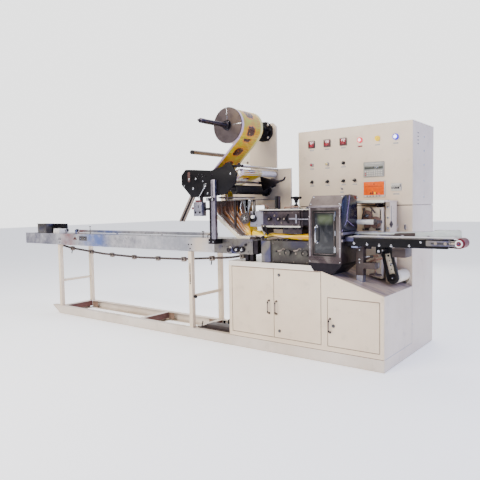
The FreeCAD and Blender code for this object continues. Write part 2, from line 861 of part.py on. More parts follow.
def doors():
    edges = door_edges()
    pins = []
    for name, (x0, x1, z1, pin_x) in edges.items():
        write(name + "_door", drilled(door_pan(x0, x1, z1), pin_x, z1))
        pins.append(rod_z(DOOR_BOTTOM - DOOR_GAP, DOOR_BOTTOM + PIN_LENGTH, pin_x, pin_y(), PIN_RADIUS))
        pins.append(rod_z(z1 - PIN_LENGTH, z1 + DOOR_GAP, pin_x, pin_y(), PIN_RADIUS))
    write("door_pins", *pins)
    split = edges["left"][1]
    write("left_door_handle", bow_handle(split - LEFT_HANDLE_INSET, HANDLE_BOTTOM, HANDLE_LENGTH))
    right_edge = edges["right"][0]
    lock_heights = (DOOR_BOTTOM + LOW_LOCK_RISE, edges["right"][2] - HIGH_LOCK_DROP)
    locks = [lock(right_edge + LOCK_INSET, z) for z in lock_heights]
    bow = bow_handle(right_edge + RIGHT_HANDLE_INSET, HANDLE_BOTTOM, HANDLE_LENGTH)
    write("right_door_handle", bow, *locks)
    small_edge = edges["small"][0]
    small_handle = bow_handle(small_edge + SMALL_HANDLE_INSET, SMALL_HANDLE_BOTTOM, HANDLE_LENGTH)
    small_lock = lock(small_edge + SMALL_LOCK_INSET, SMALL_HANDLE_BOTTOM + HANDLE_LENGTH / 2)
    write("small_door_handle", small_handle, small_lock)


def control_cabinet():
    left = x_at(TALL_LENGTH)
    back = BACK + TALL_DEPTH
    low_top = TALL_SEAM - SEAM_GAP / 2
    lower = block(left, RIGHT, BACK, back, 0, low_top)
    neck = block(left + SEAM_INSET, RIGHT - SEAM_INSET, BACK + SEAM_INSET, back - SEAM_INSET, low_top,
                 low_top + SEAM_GAP)
    upper = block(left, RIGHT, BACK, back, low_top + SEAM_GAP, TALL_HEIGHT)
    pieces = [lower, neck, upper]
    pieces.append(block(x_at(SIDE_BOX_SIZE), x_at(SIDE_BOX_INSET), BACK - SIDE_BOX_REACH, BACK,
                        SIDE_BOX_BOTTOM, SIDE_BOX_BOTTOM + SIDE_BOX_SIZE))
    for distance in LATCHES:
        x, z = x_at(distance), LATCH_BOTTOM
        half, lever = LATCH_WIDTH / 2, LATCH_LEVER_WIDTH / 2
        lever_z = z + LATCH_PLATE
        pieces.append(block(x - half, x + half, BACK - LATCH_PLATE, BACK, z, z + LATCH_HEIGHT))
        pieces.append(block(x - lever, x + lever, BACK - LATCH_REACH, BACK - LATCH_PLATE,
                            lever_z, lever_z + LATCH_LEVER_HEIGHT))
    write("control_cabinet", joined(pieces))


def column_x(index):
    return x_at(PANEL_LEFT_COLUMN) + index * PANEL_PITCH


def face_box(x0, x1, z0, z1, reach):
    return block(x0, x1, BACK - reach, BACK, z0, z1)


def control_panel():
    """Controllers, drive display, touch screen and piece counter; then lamps, buttons and knobs."""
    half = CONTROLLER_SIZE / 2
    displays = []
    for index in range(3):
        x = column_x(index)
        displays.append(face_box(x - half, x + half, PANEL_TOP_ROW - half, PANEL_TOP_ROW + half,
                                 CONTROLLER_REACH))
    left, right = x_at(DISPLAY_LEFT), x_at(DISPLAY_RIGHT)
    displays.append(face_box(left, right, DRIVE_BOTTOM, DRIVE_TOP, DISPLAY_REACH))
    displays.append(face_box(left - SCREEN_MARGIN_LEFT, right + SCREEN_MARGIN_RIGHT,
                             SCREEN_BOTTOM, SCREEN_TOP, DISPLAY_REACH))
    left = x_at(COUNTER_X) - COUNTER_WIDTH / 2
    displays.append(face_box(left, left + COUNTER_WIDTH, COUNTER_BOTTOM, COUNTER_TOP, DISPLAY_REACH))
    write("panel_displays", *displays)
    fittings = []
    for index in (3, 4, 5):
        fittings.append(rod_y(BACK - LAMP_REACH, BACK, column_x(index), PANEL_TOP_ROW, LAMP_RADIUS))
    for index in (0, 1):
        fittings.append(rod_y(BACK - BUTTON_REACH, BACK, column_x(index), PANEL_MIDDLE_ROW, BUTTON_RADIUS))
    places = [(column_x(2), PANEL_MIDDLE_ROW), (column_x(2) + FIFTH_KNOB_SHIFT, PANEL_LOW_ROW)]
    places += [(column_x(index), PANEL_LOW_ROW) for index in (0, 1, 2)]
    fittings += [rod_y(BACK - KNOB_REACH, BACK, x, z, KNOB_RADIUS) for x, z in places]
    toggle_x, toggle_z = column_x(2) - TOGGLE_SHIFT, PANEL_LOW_ROW - TOGGLE_DROP
    fittings.append(rod_y(BACK - KNOB_REACH, BACK, toggle_x, toggle_z, TOGGLE_RADIUS))
    write("panel_buttons", *fittings)


def tower():
    """Cream column behind the film path: pedestal, wide sheet with a box behind it, plate for the reel."""
    y0, y1 = y_at(TOWER_FACE), y_at(TOWER_FACE + TOWER_DEPTH)
    bottom = CABINET_TOP + STRIP_THICKNESS
    pedestal = block(x_at(PEDESTAL_LEFT), x_at(PEDESTAL_RIGHT), y0, y1, bottom, FEED_HOUSING_BOTTOM)
    sheet_back = y0 + TOWER_SHEET
    left, right = x_at(FEED_HOUSING_LEFT), x_at(FEED_HOUSING_RIGHT)
    housing = block(left, right, y0, sheet_back, FEED_HOUSING_BOTTOM, FEED_HOUSING_TOP)
    box = block(left + TOWER_INSET, right - TOWER_INSET, sheet_back, y1,
                FEED_HOUSING_BOTTOM, FEED_HOUSING_TOP)
    left, right, top = x_at(MAST_PLATE_LEFT), x_at(MAST_PLATE_RIGHT), MAST_PLATE_TOP
    cut = MAST_PLATE_CUT
    plate = [(left, FEED_HOUSING_TOP), (right, FEED_HOUSING_TOP), (right, top - cut), (right - cut, top),
             (left + cut, top), (left, top - cut)]
    upper = side_profile(plate, y0, sheet_back)
    write("tower", joined([pedestal, housing, box, upper]))


def octagon(x, z, radius, y0, y1):
    corners = []
    for index in range(8):
        angle = math.radians(22.5 + 45 * index)
        corners.append((x + radius * math.cos(angle), z + radius * math.sin(angle)))
    return side_profile(corners, y0, y1)


def reel():
    x, z = x_at(REEL_X), REEL_Z
    face = y_at(TOWER_FACE)
    flange = octagon(x, z, BEARING_RADIUS, face - BEARING_DEPTH, face)
    hub = rod_y(face - HUB_DEPTH, face - BEARING_DEPTH, x, z, HUB_RADIUS)
    bore = rod_y(face - HUB_DEPTH, face - HUB_DEPTH + SHAFT_SEAT, x, z, SHAFT_RADIUS + RUNNING_FIT)
    write("reel_bearing", joined([flange, hub]).cut(bore))
    tip = FRONT - SHAFT_REACH
    knob_length = SHAFT_TIP_LENGTH
    main = rod_y(tip + knob_length, face - HUB_DEPTH + SHAFT_SEAT - 1, x, z, SHAFT_RADIUS)
    knob = rod_y(tip, tip + knob_length, x, z, SHAFT_RADIUS * 0.45)
    flange_y = y_at(FLANGE_FACE)
    roll_y = flange_y + FLANGE_THICKNESS
    roll = rod_y(roll_y, roll_y + ROLL_WIDTH, x, z, ROLL_RADIUS)
    write("film_roll", roll.cut(rod_y(roll_y, roll_y + ROLL_WIDTH, x, z, SHAFT_RADIUS)))
    disc = rod_y(flange_y, roll_y, x, z, FLANGE_RADIUS)
    core = rod_y(flange_y - CORE_LENGTH, flange_y, x, z, CORE_RADIUS)
    rear_y = roll_y + ROLL_WIDTH
    rear = rod_y(rear_y, rear_y + CORE_LENGTH, x, z, CORE_RADIUS)
    write("reel_shaft", joined([main, knob, disc, core, rear]))


def guide_roller():
    face = y_at(TOWER_FACE)
    x, z = x_at(GUIDE_X), GUIDE_Z
    plate_left = x_at(MAST_PLATE_LEFT)
    half = GUIDE_ARM_HALF
    outline = [(x - half, z - half), (plate_left, z - 2 * half), (plate_left, z + half),
               (x - half, z + half)]
    y1 = face + GUIDE_ARM_THICKNESS
    roller = rod_y(y_at(GUIDE_FRONT), face, x, z, GUIDE_RADIUS)
    write("guide_roller", joined([side_profile(outline, face, y1), roller]))


def feed_unit():
    plate_face = y_at(SIDE_PLATE_FACE)
    inner = plate_face + SIDE_PLATE_THICKNESS
    back = y_at(TOWER_FACE)
    outline = [(x_at(distance), height) for distance, height in SIDE_PLATE_OUTLINE]
    write("feed_side_plate", side_profile(outline, plate_face, inner))
    rollers = []
    for distance, height, radius in FEED_ROLLERS:
        rollers.append(rod_y(inner, back, x_at(distance), height, radius))
    for distance, height in TIE_BARS:
        rollers.append(rod_y(inner, back, x_at(distance), height, TIE_RADIUS))
    lug_back = inner + SIDE_PLATE_THICKNESS
    lug = block(x_at(TOP_BAR_X + LUG_LEFT), x_at(TOP_BAR_X - LUG_RIGHT), inner, lug_back,
                TOP_BAR_Z - LUG_DROP, TOP_BAR_Z + LUG_RISE)
    rollers.append(joined([lug, rod_y(lug_back, back, x_at(TOP_BAR_X), TOP_BAR_Z, TOP_BAR_RADIUS)]))
    rollers.append(guide_rods(inner))
    write("feed_rollers", *rollers)


def guide_rods(y0):
    """Two slanted rods below the black plate's nose, held in one block behind it."""
    radius = GUIDE_ROD_RADIUS
    y = y0 + radius + 1
    left = x_at(ROD_TOP_X)
    margin = ROD_BLOCK_MARGIN
    pieces = [block(left - margin, left + GUIDE_ROD_SPACING + margin, y0, y + radius,
                    ROD_TOP_Z - ROD_BLOCK_LOW, ROD_TOP_Z + ROD_BLOCK_HIGH)]
    for shift in (0, GUIDE_ROD_SPACING):
        top = vector(left + shift, y, ROD_TOP_Z)
        pieces.append(rod_between(top, vector(x_at(ROD_LOW_X) + shift, y, ROD_LOW_Z), radius))
    return joined(pieces)


def film_y():
    """Front and back edge of the film."""
    start = y_at(FLANGE_FACE) + FLANGE_THICKNESS
    return start + FILM_MARGIN, start + ROLL_WIDTH - FILM_MARGIN


def top_profile(points, z0, z1):
    """Prism whose outline is seen from above, as (x, y) points."""
    ring = [vector(x, y, z0) for x, y in points]
    face = Part.Face(Part.makePolygon(ring + ring[:1]))
    return face.extrude(vector(0, 0, z1 - z0))


def film_web():
    """Film from the roll round the feed rollers, narrowing on its way to the folding box."""
    half = FILM_THICKNESS / 2
    y0, y1 = film_y()
    circles = [(x_at(REEL_X), REEL_Z, ROLL_RADIUS + half + FILM_CLEARANCE, -1)]
    turns = ((ENTRY_ROLLER, 1), (PRINT_ROLLER, -1), (TURN_BAR, 1))
    for (distance, height, radius), turn in turns:
        circles.append((x_at(distance), height, radius + half, turn))
    fold_x, fold_z, fold_radius, turn = circles[-1]
    circles.append((fold_x, fold_top(), fold_radius, turn))
    web = open_strip(circles, FILM_THICKNESS, y0, y1)
    start = x_at(NARROW_START)
    beyond = fold_x - 2 * fold_radius
    for edge, fold_edge in ((y0 - 1, LINE_Y - FILM_WIDTH / 2), (y1 + 1, LINE_Y + FILM_WIDTH / 2)):
        corner = [(start, edge), (fold_x, fold_edge), (beyond, fold_edge), (beyond, edge)]
        web = web.cut(top_profile(corner, fold_top() - 1, NARROW_TOP))
    write("film_web", web)


def mast():
    x = x_at(MAST_X)
    half = MAST_WIDTH / 2
    y1 = y_at(SIDE_PLATE_FACE)
    y0 = y1 - MAST_THICKNESS
    bar = block(x - half, x + half, y0, y1, LINE_Z, MAST_TOP)
    rear = block(x - half - MAST_REAR_WIDTH, x - half, y0 + MAST_REAR_SETBACK, y1, LINE_Z, SHELF_Z)
    bottom = LINE_Z - MAST_BRACKET_HEIGHT
    foot = block(x - half - MAST_FOOT_WIDTH, x + half, y0, y_at(INFEED_FRONT) - DRIVE_PLATE_THICKNESS,
                 bottom, LINE_Z)
    write("mast", joined([bar, rear, foot]))


def film_sensor():
    y1 = y_at(SIDE_PLATE_FACE)
    y0 = y1 - SENSOR_DEPTH
    body = block(x_at(SENSOR_LEFT), x_at(SENSOR_RIGHT), y0, y1, SENSOR_BOTTOM, SENSOR_TOP)
    middle = (x_at(SENSOR_LEFT) + x_at(SENSOR_RIGHT)) / 2
    half = STEM_WIDTH / 2
    stem = block(middle - half, middle + half, y1 - STEM_THICKNESS, y1,
                 SENSOR_TOP, SENSOR_TOP + STEM_HEIGHT)
    rear = x_at(MAST_X) - MAST_WIDTH / 2 - MAST_REAR_WIDTH
    link_z = SENSOR_BOTTOM + LINK_RISE
    link = block(x_at(SENSOR_RIGHT), rear, y1 - LINK_SIZE, y1, link_z, link_z + LINK_SIZE)
    write("film_sensor", joined([body, stem, link]))


def infeed_front_y():
    return y_at(INFEED_FRONT)


def infeed_back_y():
    return y_at(INFEED_FRONT) + INFEED_WIDTH


def infeed_frame():
    """Side plates joined by round spacers, with two feet and an end guide over the cabinet."""
    right = x_at(INFEED_RIGHT)
    y0, y1 = infeed_front_y(), infeed_back_y()
    bottom = LINE_Z - INFEED_HEIGHT
    inner0, inner1 = y0 + INFEED_PLATE, y1 - INFEED_PLATE
    pieces = [block(INFEED_END, right, y0, inner0, bottom, LINE_Z)]
    pieces.append(block(INFEED_END, right, inner1, y1, bottom, LINE_Z))
    for x in [INFEED_END + SPACER_INSET] + [LEFT + place for place in SPACER_PLACES]:
        pieces.append(rod_y(inner0, inner1, x, CHAIN_CENTRE_Z, SPACER_RADIUS))
    strip_top = CABINET_TOP + STRIP_THICKNESS
    for distance in FOOT_PLACES:
        x = x_at(distance)
        pieces.append(block(x, x + FOOT_LENGTH, y0, y0 + FOOT_DEPTH, strip_top, bottom))
    pieces.append(block(right, right + END_GUIDE_LENGTH, y0, y0 + FOOT_DEPTH,
                        bottom + END_GUIDE_RISE, LINE_Z - END_GUIDE_DROP))
    write("infeed_frame", joined(pieces))


def infeed_deck():
    """Deck strips on both sides of the chain slot, the rear one with a low guide rail on posts."""
    right = x_at(INFEED_RIGHT)
    deck_top = LINE_Z - DECK_DROP
    low = deck_top - DECK_THICKNESS
    half = CHAIN_SLOT / 2
    front = block(INFEED_END, right, infeed_front_y() + INFEED_PLATE, LINE_Y - half, low, deck_top)
    back_edge = infeed_back_y() - INFEED_PLATE
    pieces = [block(INFEED_END, right, LINE_Y + half, back_edge, low, deck_top)]
    y = back_edge - RAIL_SETBACK
    rail_low = deck_top + RAIL_GAP
    pieces.append(block(x_at(RAIL_LEFT), x_at(RAIL_RIGHT), y, y + RAIL_THICKNESS,
                        rail_low, rail_low + RAIL_HEIGHT))
    span = RAIL_LEFT - RAIL_RIGHT
    half = RAIL_POST_WIDTH / 2
    for share in RAIL_POST_SHARES:
        x = x_at(RAIL_LEFT) + span * share
        pieces.append(block(x - half, x + half, y + RAIL_THICKNESS, y + 3 * RAIL_THICKNESS,
                            deck_top, rail_low + RAIL_POST_WIDTH))
    write("infeed_deck", front, joined(pieces))


def infeed_end_pieces():
    """Sheet box, angle piece, white block and two black rollers on the deck at the infeed end."""
    deck = LINE_Z - DECK_DROP
    front = infeed_front_y() + INFEED_PLATE
    middle = x_at(END_BOX_X)
    half = END_BOX_LENGTH / 2
    top = deck + END_BOX_HEIGHT
    arm_y0 = LINE_Y + END_BOX_REACH
    arm_y1 = arm_y0 + ARM_DEPTH
    stops = [block(middle - half, middle + half, front + END_BOX_SETBACK, arm_y0, deck, top)]
    arm_left = middle + half + ARM_GAP
    upright = block(arm_left, arm_left + ARM_POST, arm_y0, arm_y1, deck, top)
    arm = block(arm_left, arm_left + ARM_LENGTH, arm_y0, arm_y1, top - ARM_HEIGHT, top)
    stops.append(joined([upright, arm]))
    slab_left = arm_left + SLAB_SHIFT
    slab_front = front + SLAB_SETBACK
    stops.append(block(slab_left, slab_left + SLAB_LENGTH, slab_front, arm_y0 - SLAB_GAP,
                       deck, deck + SLAB_HEIGHT))
    half = WHEEL_STAND_LENGTH / 2
    for distance in GUIDE_WHEEL_PLACES:
        x = x_at(distance)
        wheel = rod_y(slab_front, slab_front + GUIDE_WHEEL_WIDTH, x, deck + GUIDE_WHEEL_RISE,
                      GUIDE_WHEEL_RADIUS)
        stand = block(x - half, x + half, slab_front - WHEEL_STAND_DEPTH, slab_front,
                      deck, deck + WHEEL_STAND_HEIGHT)
        stops.append(joined([wheel, stand]))
    write("infeed_end_stops", *stops)


def chain_circles():
    radius = SPROCKET_RADIUS + CHAIN_THICKNESS / 2
    left, right = x_at(CHAIN_LEFT), x_at(CHAIN_RIGHT)
    sag = CHAIN_SAG_Z + SAG_RADIUS
    circles = [(right, CHAIN_CENTRE_Z, radius, 1), (left, CHAIN_CENTRE_Z, radius, 1)]
    span = right - left
    for share, rise in zip(SAG_SHARES, SAG_RISES):
        circles.append((left + span * share, sag + rise, SAG_RADIUS, 1))
    return circles


def arc_length(circle, start_direction, end_direction):
    turn = circle[3]
    first = math.atan2(start_direction[1], start_direction[0])
    last = math.atan2(end_direction[1], end_direction[0])
    return circle[2] * ((turn * (last - first)) % (2 * math.pi))


def places_along(circles, pitch):
    """Middle points and directions at an even pitch along a closed loop's straight runs."""
    count = len(circles)
    runs = [tangent(circles[i], circles[(i + 1) % count]) for i in range(count)]
    places = []
    travelled = 0
    following = FIRST_LUG
    for index, (start, end, direction) in enumerate(runs):
        length = math.hypot(end[0] - start[0], end[1] - start[1])
        while following <= travelled + length:
            share = (following - travelled) / length
            point = (start[0] + share * (end[0] - start[0]), start[1] + share * (end[1] - start[1]))
            if following >= travelled:
                places.append((point, direction))
            following += pitch
        ahead = (index + 1) % count
        travelled += length + arc_length(circles[ahead], direction, runs[ahead][2])
    return places


def pusher_chain():
    """Chain with pusher fingers: its top run is under the deck slot and its return run hangs free."""
    half = CHAIN_WIDTH / 2
    circles = chain_circles()
    chain = loop(circles, CHAIN_THICKNESS, LINE_Y - half, LINE_Y + half)
    lugs = []
    for (x, z), direction in places_along(circles, LUG_PITCH):
        side = right_of(direction)
        along = LUG_LENGTH / 2
        inner, outer = 0, CHAIN_THICKNESS / 2 + LUG_HEIGHT
        corners = []
        for step, reach in ((-along, inner), (along, inner), (along, outer), (-along, outer)):
            corners.append((x + step * direction[0] + reach * side[0],
                            z + step * direction[1] + reach * side[1]))
        lugs.append(side_profile(corners, LINE_Y - half, LINE_Y + half))
    write("pusher_chain", joined([chain] + lugs))
    wheels = []
    inner0, inner1 = infeed_front_y() + INFEED_PLATE, infeed_back_y() - INFEED_PLATE
    for distance in (CHAIN_LEFT, CHAIN_RIGHT):
        x = x_at(distance)
        wheel = rod_y(LINE_Y - half, LINE_Y + half, x, CHAIN_CENTRE_Z, SPROCKET_RADIUS)
        shaft = rod_y(inner0, inner1, x, CHAIN_CENTRE_Z, CHAIN_SHAFT_RADIUS)
        wheels.append(joined([wheel, shaft]))
    write("chain_sprockets", *wheels)


def infeed_drive():
    """Machined plate in front of the conveyor over the cabinet, with its hub and two round pulleys."""
    face = infeed_front_y()
    y0 = face - DRIVE_PLATE_THICKNESS
    hub_z = CHAIN_CENTRE_Z - HUB_DROP
    pieces = [block(x_at(DRIVE_PLATE_LEFT), x_at(INFEED_RIGHT), y0, face, LINE_Z - INFEED_HEIGHT, LINE_Z)]
    pieces.append(rod_y(y0 - HUB_REACH, y0, x_at(HUB_X), hub_z, INFEED_HUB_RADIUS))
    pieces.append(rod_y(y0 - NOSE_REACH, y0 - HUB_REACH, x_at(HUB_X), hub_z, INFEED_HUB_RADIUS / 2))
    for step in PULLEY_STEPS:
        x, z = x_at(HUB_X - step), hub_z + PULLEY_RISE
        pieces.append(rod_y(y0 - PULLEY_REACH, y0, x, z, INFEED_PULLEY_RADIUS))
    write("infeed_drive", joined(pieces))


def tube_left():
    return x_at(TUBE_LEFT)


def tube_bottom():
    return LINE_Z + TUBE_SEAT


def fold_top():
    """Height of the folded film's top edge, just under the shelf."""
    return SHELF_Z - SHELF_THICKNESS - 1


def former():
    """Shelf under the feed rollers with the folding box and the draw wheel that hang from it."""
    y0, y1 = y_at(SIDE_PLATE_FACE) + SIDE_PLATE_THICKNESS, y_at(TOWER_FACE)
    under = SHELF_Z - SHELF_THICKNESS
    pieces = [block(x_at(SHELF_LEFT), x_at(SHELF_RIGHT), y0, y1, under, SHELF_Z)]
    pieces.append(block(x_at(SHELF_LEFT), x_at(SHELF_LEFT - SIDE_PLATE_THICKNESS), y0, y0 + FORMER_PLATE,
                        SHELF_Z, HANGER_TOP))
    half = FILM_WIDTH / 2 + FORMER_PLATE
    lip_left, tip = x_at(FORMER_LEFT), x_at(INFEED_RIGHT)
    low = tube_bottom() - FORMER_PLATE
    foot = tube_left() - BOX_FOOT
    cheek = [(lip_left, FORMER_LIP_HEIGHT), (foot, low), (tip, low), (tip, low + FORMER_LIP),
             (foot + CHEEK_STEP, low + FORMER_LIP), (lip_left, FORMER_LIP_HEIGHT + FORMER_LIP)]
    bar_left = x_at(FORMER_BAR_LEFT)
    share = (bar_left + FORMER_BAR_WIDTH - lip_left) / (foot - lip_left)
    bar_low = FORMER_LIP_HEIGHT + share * (low - FORMER_LIP_HEIGHT) + FORMER_LIP / 2
    for face in (LINE_Y - half - FORMER_PLATE, LINE_Y + half):
        pieces.append(side_profile(cheek, face, face + FORMER_PLATE))
        pieces.append(block(bar_left, bar_left + FORMER_BAR_WIDTH, face, face + FORMER_PLATE,
                            bar_low, under))
    pieces.append(block(foot, tip, LINE_Y - half, LINE_Y + half, low, low + FORMER_PLATE))
    pieces += draw_wheel(under)
    write("former", joined(pieces))


def draw_wheel(hanger_top):
    """Steel wheel in front of the folded film, with its drum and hanger."""
    x, z = x_at(DRAW_WHEEL_X), DRAW_WHEEL_Z
    y0 = y_at(DRAW_WHEEL_FRONT)
    wheel = rod_y(y0, y0 + DRAW_WHEEL_WIDTH, x, z, DRAW_WHEEL_RADIUS)
    drum = rod_y(y0 + DRAW_WHEEL_WIDTH, y0 + DRUM_BACK, x, z, DRUM_RADIUS)
    arm_y = y0 + HANGER_FRONT
    arm = block(x - HANGER_HALF, x + HANGER_HALF, arm_y, arm_y + HANGER_THICKNESS, z, hanger_top)
    return [wheel, drum, arm]


def film_fold():
    """Film folded round the folding box: a thin tent that is open along its slanted lower edge."""
    half = FILM_WIDTH / 2
    wall = TUBE_WALL
    left, right, end = x_at(FOLD_LEFT), x_at(FOLD_RIGHT), tube_left()
    top, low, roof = fold_top(), tube_bottom(), tube_bottom() + TUBE_HEIGHT
    corner = end - FOLD_CORNER
    outline = [(left, FOLD_LOW), (corner, low), (end, low), (end, roof), (right, top), (left, top)]
    open_edge = 10 * wall
    hollow = [(left + wall, FOLD_LOW - open_edge), (corner - 5 * wall, low - 4 * wall), (corner, low + wall),
              (end, low + wall),
              (end, roof - wall), (end - 2 * wall, roof + wall), (right - 2 * wall, top - wall),
              (left + wall, top - wall)]
    outer = side_profile(outline, LINE_Y - half, LINE_Y + half)
    return outer.cut(side_profile(hollow, LINE_Y - half + wall, LINE_Y + half - wall))


def film_tube():
    """Folded film and the closed tube that it becomes, from the folding box into the hood."""
    half = FILM_WIDTH / 2
    wall = TUBE_WALL
    left, right = tube_left(), x_at(HOOD_LEFT) + TUBE_OVERRUN
    low = tube_bottom()
    outer = block(left, right, LINE_Y - half, LINE_Y + half, low, low + TUBE_HEIGHT)
    inner = block(left, right, LINE_Y - half + wall, LINE_Y + half - wall,
                  low + wall, low + TUBE_HEIGHT - wall)
    write("film_tube", joined([film_fold(), outer.cut(inner)]))


def fin_seal_unit():
    strip_top = CABINET_TOP + STRIP_THICKNESS
    left = x_at(LOWER_UNIT_LEFT)
    right = x_at(HOOD_LEFT)
    y0, y1 = y_at(LOWER_UNIT_FRONT), y_at(LOWER_UNIT_BACK)
    top = LINE_Z - UNIT_GAP
    body = block(left + END_PLATE_LENGTH, right, y0, y1, strip_top, top)
    end_plate = block(left, left + END_PLATE_LENGTH, y0 - END_PLATE_PROUD, y1, strip_top, top)
    ridge_half = RIDGE_WIDTH / 2
    ridge = block(left + END_PLATE_LENGTH, right, LINE_Y - ridge_half, LINE_Y + ridge_half,
                  top, tube_bottom())
    pieces = [body, end_plate, ridge]
    for distance in KNOB_PLACES:
        pieces.append(rod_y(y0 - BIG_KNOB_REACH, y0, x_at(distance), KNOB_Z, BIG_KNOB_RADIUS))
    write("fin_seal_lower", joined(pieces))
    upper_left, upper_right = x_at(UPPER_UNIT_LEFT), x_at(UPPER_UNIT_RIGHT)
    upper = block(upper_left, upper_right, y_at(UPPER_UNIT_FRONT), y_at(UPPER_UNIT_BACK),
                  UPPER_UNIT_BOTTOM, UPPER_UNIT_TOP)
    columns = []
    column_y = y_at(UPPER_UNIT_BACK)
    for x in (left + END_PLATE_LENGTH, upper_right - 2 * COLUMN_SIZE):
        columns.append(block(x, x + COLUMN_SIZE, column_y, column_y + COLUMN_DEPTH, top, UPPER_UNIT_TOP))
    shaft = rod_x(upper_right, right, y_at(UPPER_SHAFT_Y), UPPER_SHAFT_Z, UPPER_SHAFT_RADIUS)
    plate = block(x_at(TOP_PLATE_LEFT), right, y_at(TOP_PLATE_FRONT), y_at(TOP_PLATE_BACK),
                  UPPER_UNIT_TOP, UPPER_UNIT_TOP + TOP_PLATE_THICKNESS)
    pad_top = UPPER_UNIT_BOTTOM
    pad_low = tube_bottom() + TUBE_HEIGHT + 1
    pads = []
    for pad_left, pad_right, setback in PADS:
        pads.append(block(x_at(pad_left), x_at(pad_right), y_at(UPPER_UNIT_FRONT + setback), y_at(PAD_BACK),
                          pad_low, pad_top))
    top = UPPER_UNIT_TOP + TOP_PLATE_THICKNESS
    y = y_at(SCREW_Y)
    post = rod_z(top, POST_TOP, x_at(POST_X), y, POST_RADIUS)
    nut_top = top + SCREW_NUT_HEIGHT
    nut = rod_z(top, nut_top, x_at(SCREW_X), y, SCREW_NUT_RADIUS)
    unit = joined([upper, shaft, plate, post, nut] + columns + pads)
    bore = rod_z(top, nut_top, x_at(SCREW_X), y, SCREW_RADIUS + RUNNING_FIT)
    write("fin_seal_upper", unit.cut(bore))
    rim = rod_z(WHEEL_Z, WHEEL_Z + WHEEL_THICKNESS, x_at(SCREW_X), y, WHEEL_RADIUS)
    screw = rod_z(top + SCREW_GAP, WHEEL_Z, x_at(SCREW_X), y, SCREW_RADIUS)
    collar_z = nut_top + NUT_GAP
    collar = rod_z(collar_z, collar_z + COLLAR_HEIGHT, x_at(SCREW_X), y, 2 * SCREW_RADIUS)
    write("pressure_handwheel", joined([rim, screw, collar]))


def hood_side(y0):
    """Outline of the hood's side walls from y0 to the back wall, as (y, z)."""
    under = HOOD_TOP - HOOD_WALL
    back = FRONT + HOOD_DEPTH - HOOD_WALL
    return [(y0, HOOD_BOTTOM), (y0, HOOD_FRONT_TOP), (FRONT + HOOD_SLOPE_DEPTH, under), (back, under),
            (back, HOOD_BOTTOM)]


def port(x0, x1):
    half = PORT_WIDTH / 2
    return block(x0, x1, LINE_Y - half, LINE_Y + half, PORT_BOTTOM, PORT_TOP)


def hood():
    left, right = x_at(HOOD_LEFT), x_at(HOOD_RIGHT)
    back = FRONT + HOOD_DEPTH
    inner = FRONT + HOOD_FRONT_THICKNESS
    front = block(left, right, FRONT, inner, HOOD_BOTTOM, HOOD_FRONT_TOP)
    window = block(x_at(WINDOW_LEFT), x_at(WINDOW_RIGHT), FRONT, inner, WINDOW_BOTTOM, WINDOW_TOP)
    write("hood_front", joined([front.cut(window)] + window_pins()))
    outline = hood_side(inner)
    walls = []
    for x in (left, right - HOOD_WALL):
        walls.append(end_profile(outline, x, x + HOOD_WALL).cut(port(x, x + HOOD_WALL)))
    write("hood_walls", *walls)
    crest = FRONT + HOOD_SLOPE_DEPTH
    under = HOOD_TOP - HOOD_WALL
    lid = [(FRONT, HOOD_FRONT_TOP), (crest, HOOD_TOP), (back, HOOD_TOP), (back, under), (crest, under),
           (inner, HOOD_FRONT_TOP)]
    back_wall = block(left, right, back - HOOD_WALL, back, HOOD_BOTTOM, HOOD_TOP - HOOD_WALL)
    write("hood_cover", joined([end_profile(lid, left, right), back_wall, jaw_bearing()]))
    base_right = x_at(HOOD_BASE_RIGHT)
    strip_right = cabinet_left() + STRIP_LENGTH
    base = [(strip_right + 1, CABINET_TOP), (x_at(SLOPE_LENGTH), CABINET_TOP),
            (base_right, slope_height(base_right)), (right, HOOD_BOTTOM - HOOD_BASE_EDGE),
            (right, HOOD_BOTTOM), (left, HOOD_BOTTOM), (left, CABINET_TOP + STRIP_THICKNESS),
            (strip_right - STRIP_BEVEL, CABINET_TOP + STRIP_THICKNESS)]
    write("hood_base", side_profile(base, FRONT, back))


def window_edges():
    return (x_at(WINDOW_LEFT) + WINDOW_GAP, x_at(WINDOW_RIGHT) - WINDOW_GAP,
            WINDOW_BOTTOM + WINDOW_GAP, WINDOW_TOP - WINDOW_GAP)


def window_pins():
    """Hinge pins that stand on the sill and hang from the head of the hood's window."""
    x0, x1, z0, z1 = window_edges()
    x = x1 - WINDOW_PIN_INSET
    y = FRONT + WINDOW_PIN_INSET
    return [rod_z(WINDOW_BOTTOM, z0 + WINDOW_PIN_LENGTH, x, y, WINDOW_PIN_RADIUS),
            rod_z(z1 - WINDOW_PIN_LENGTH, WINDOW_TOP, x, y, WINDOW_PIN_RADIUS)]


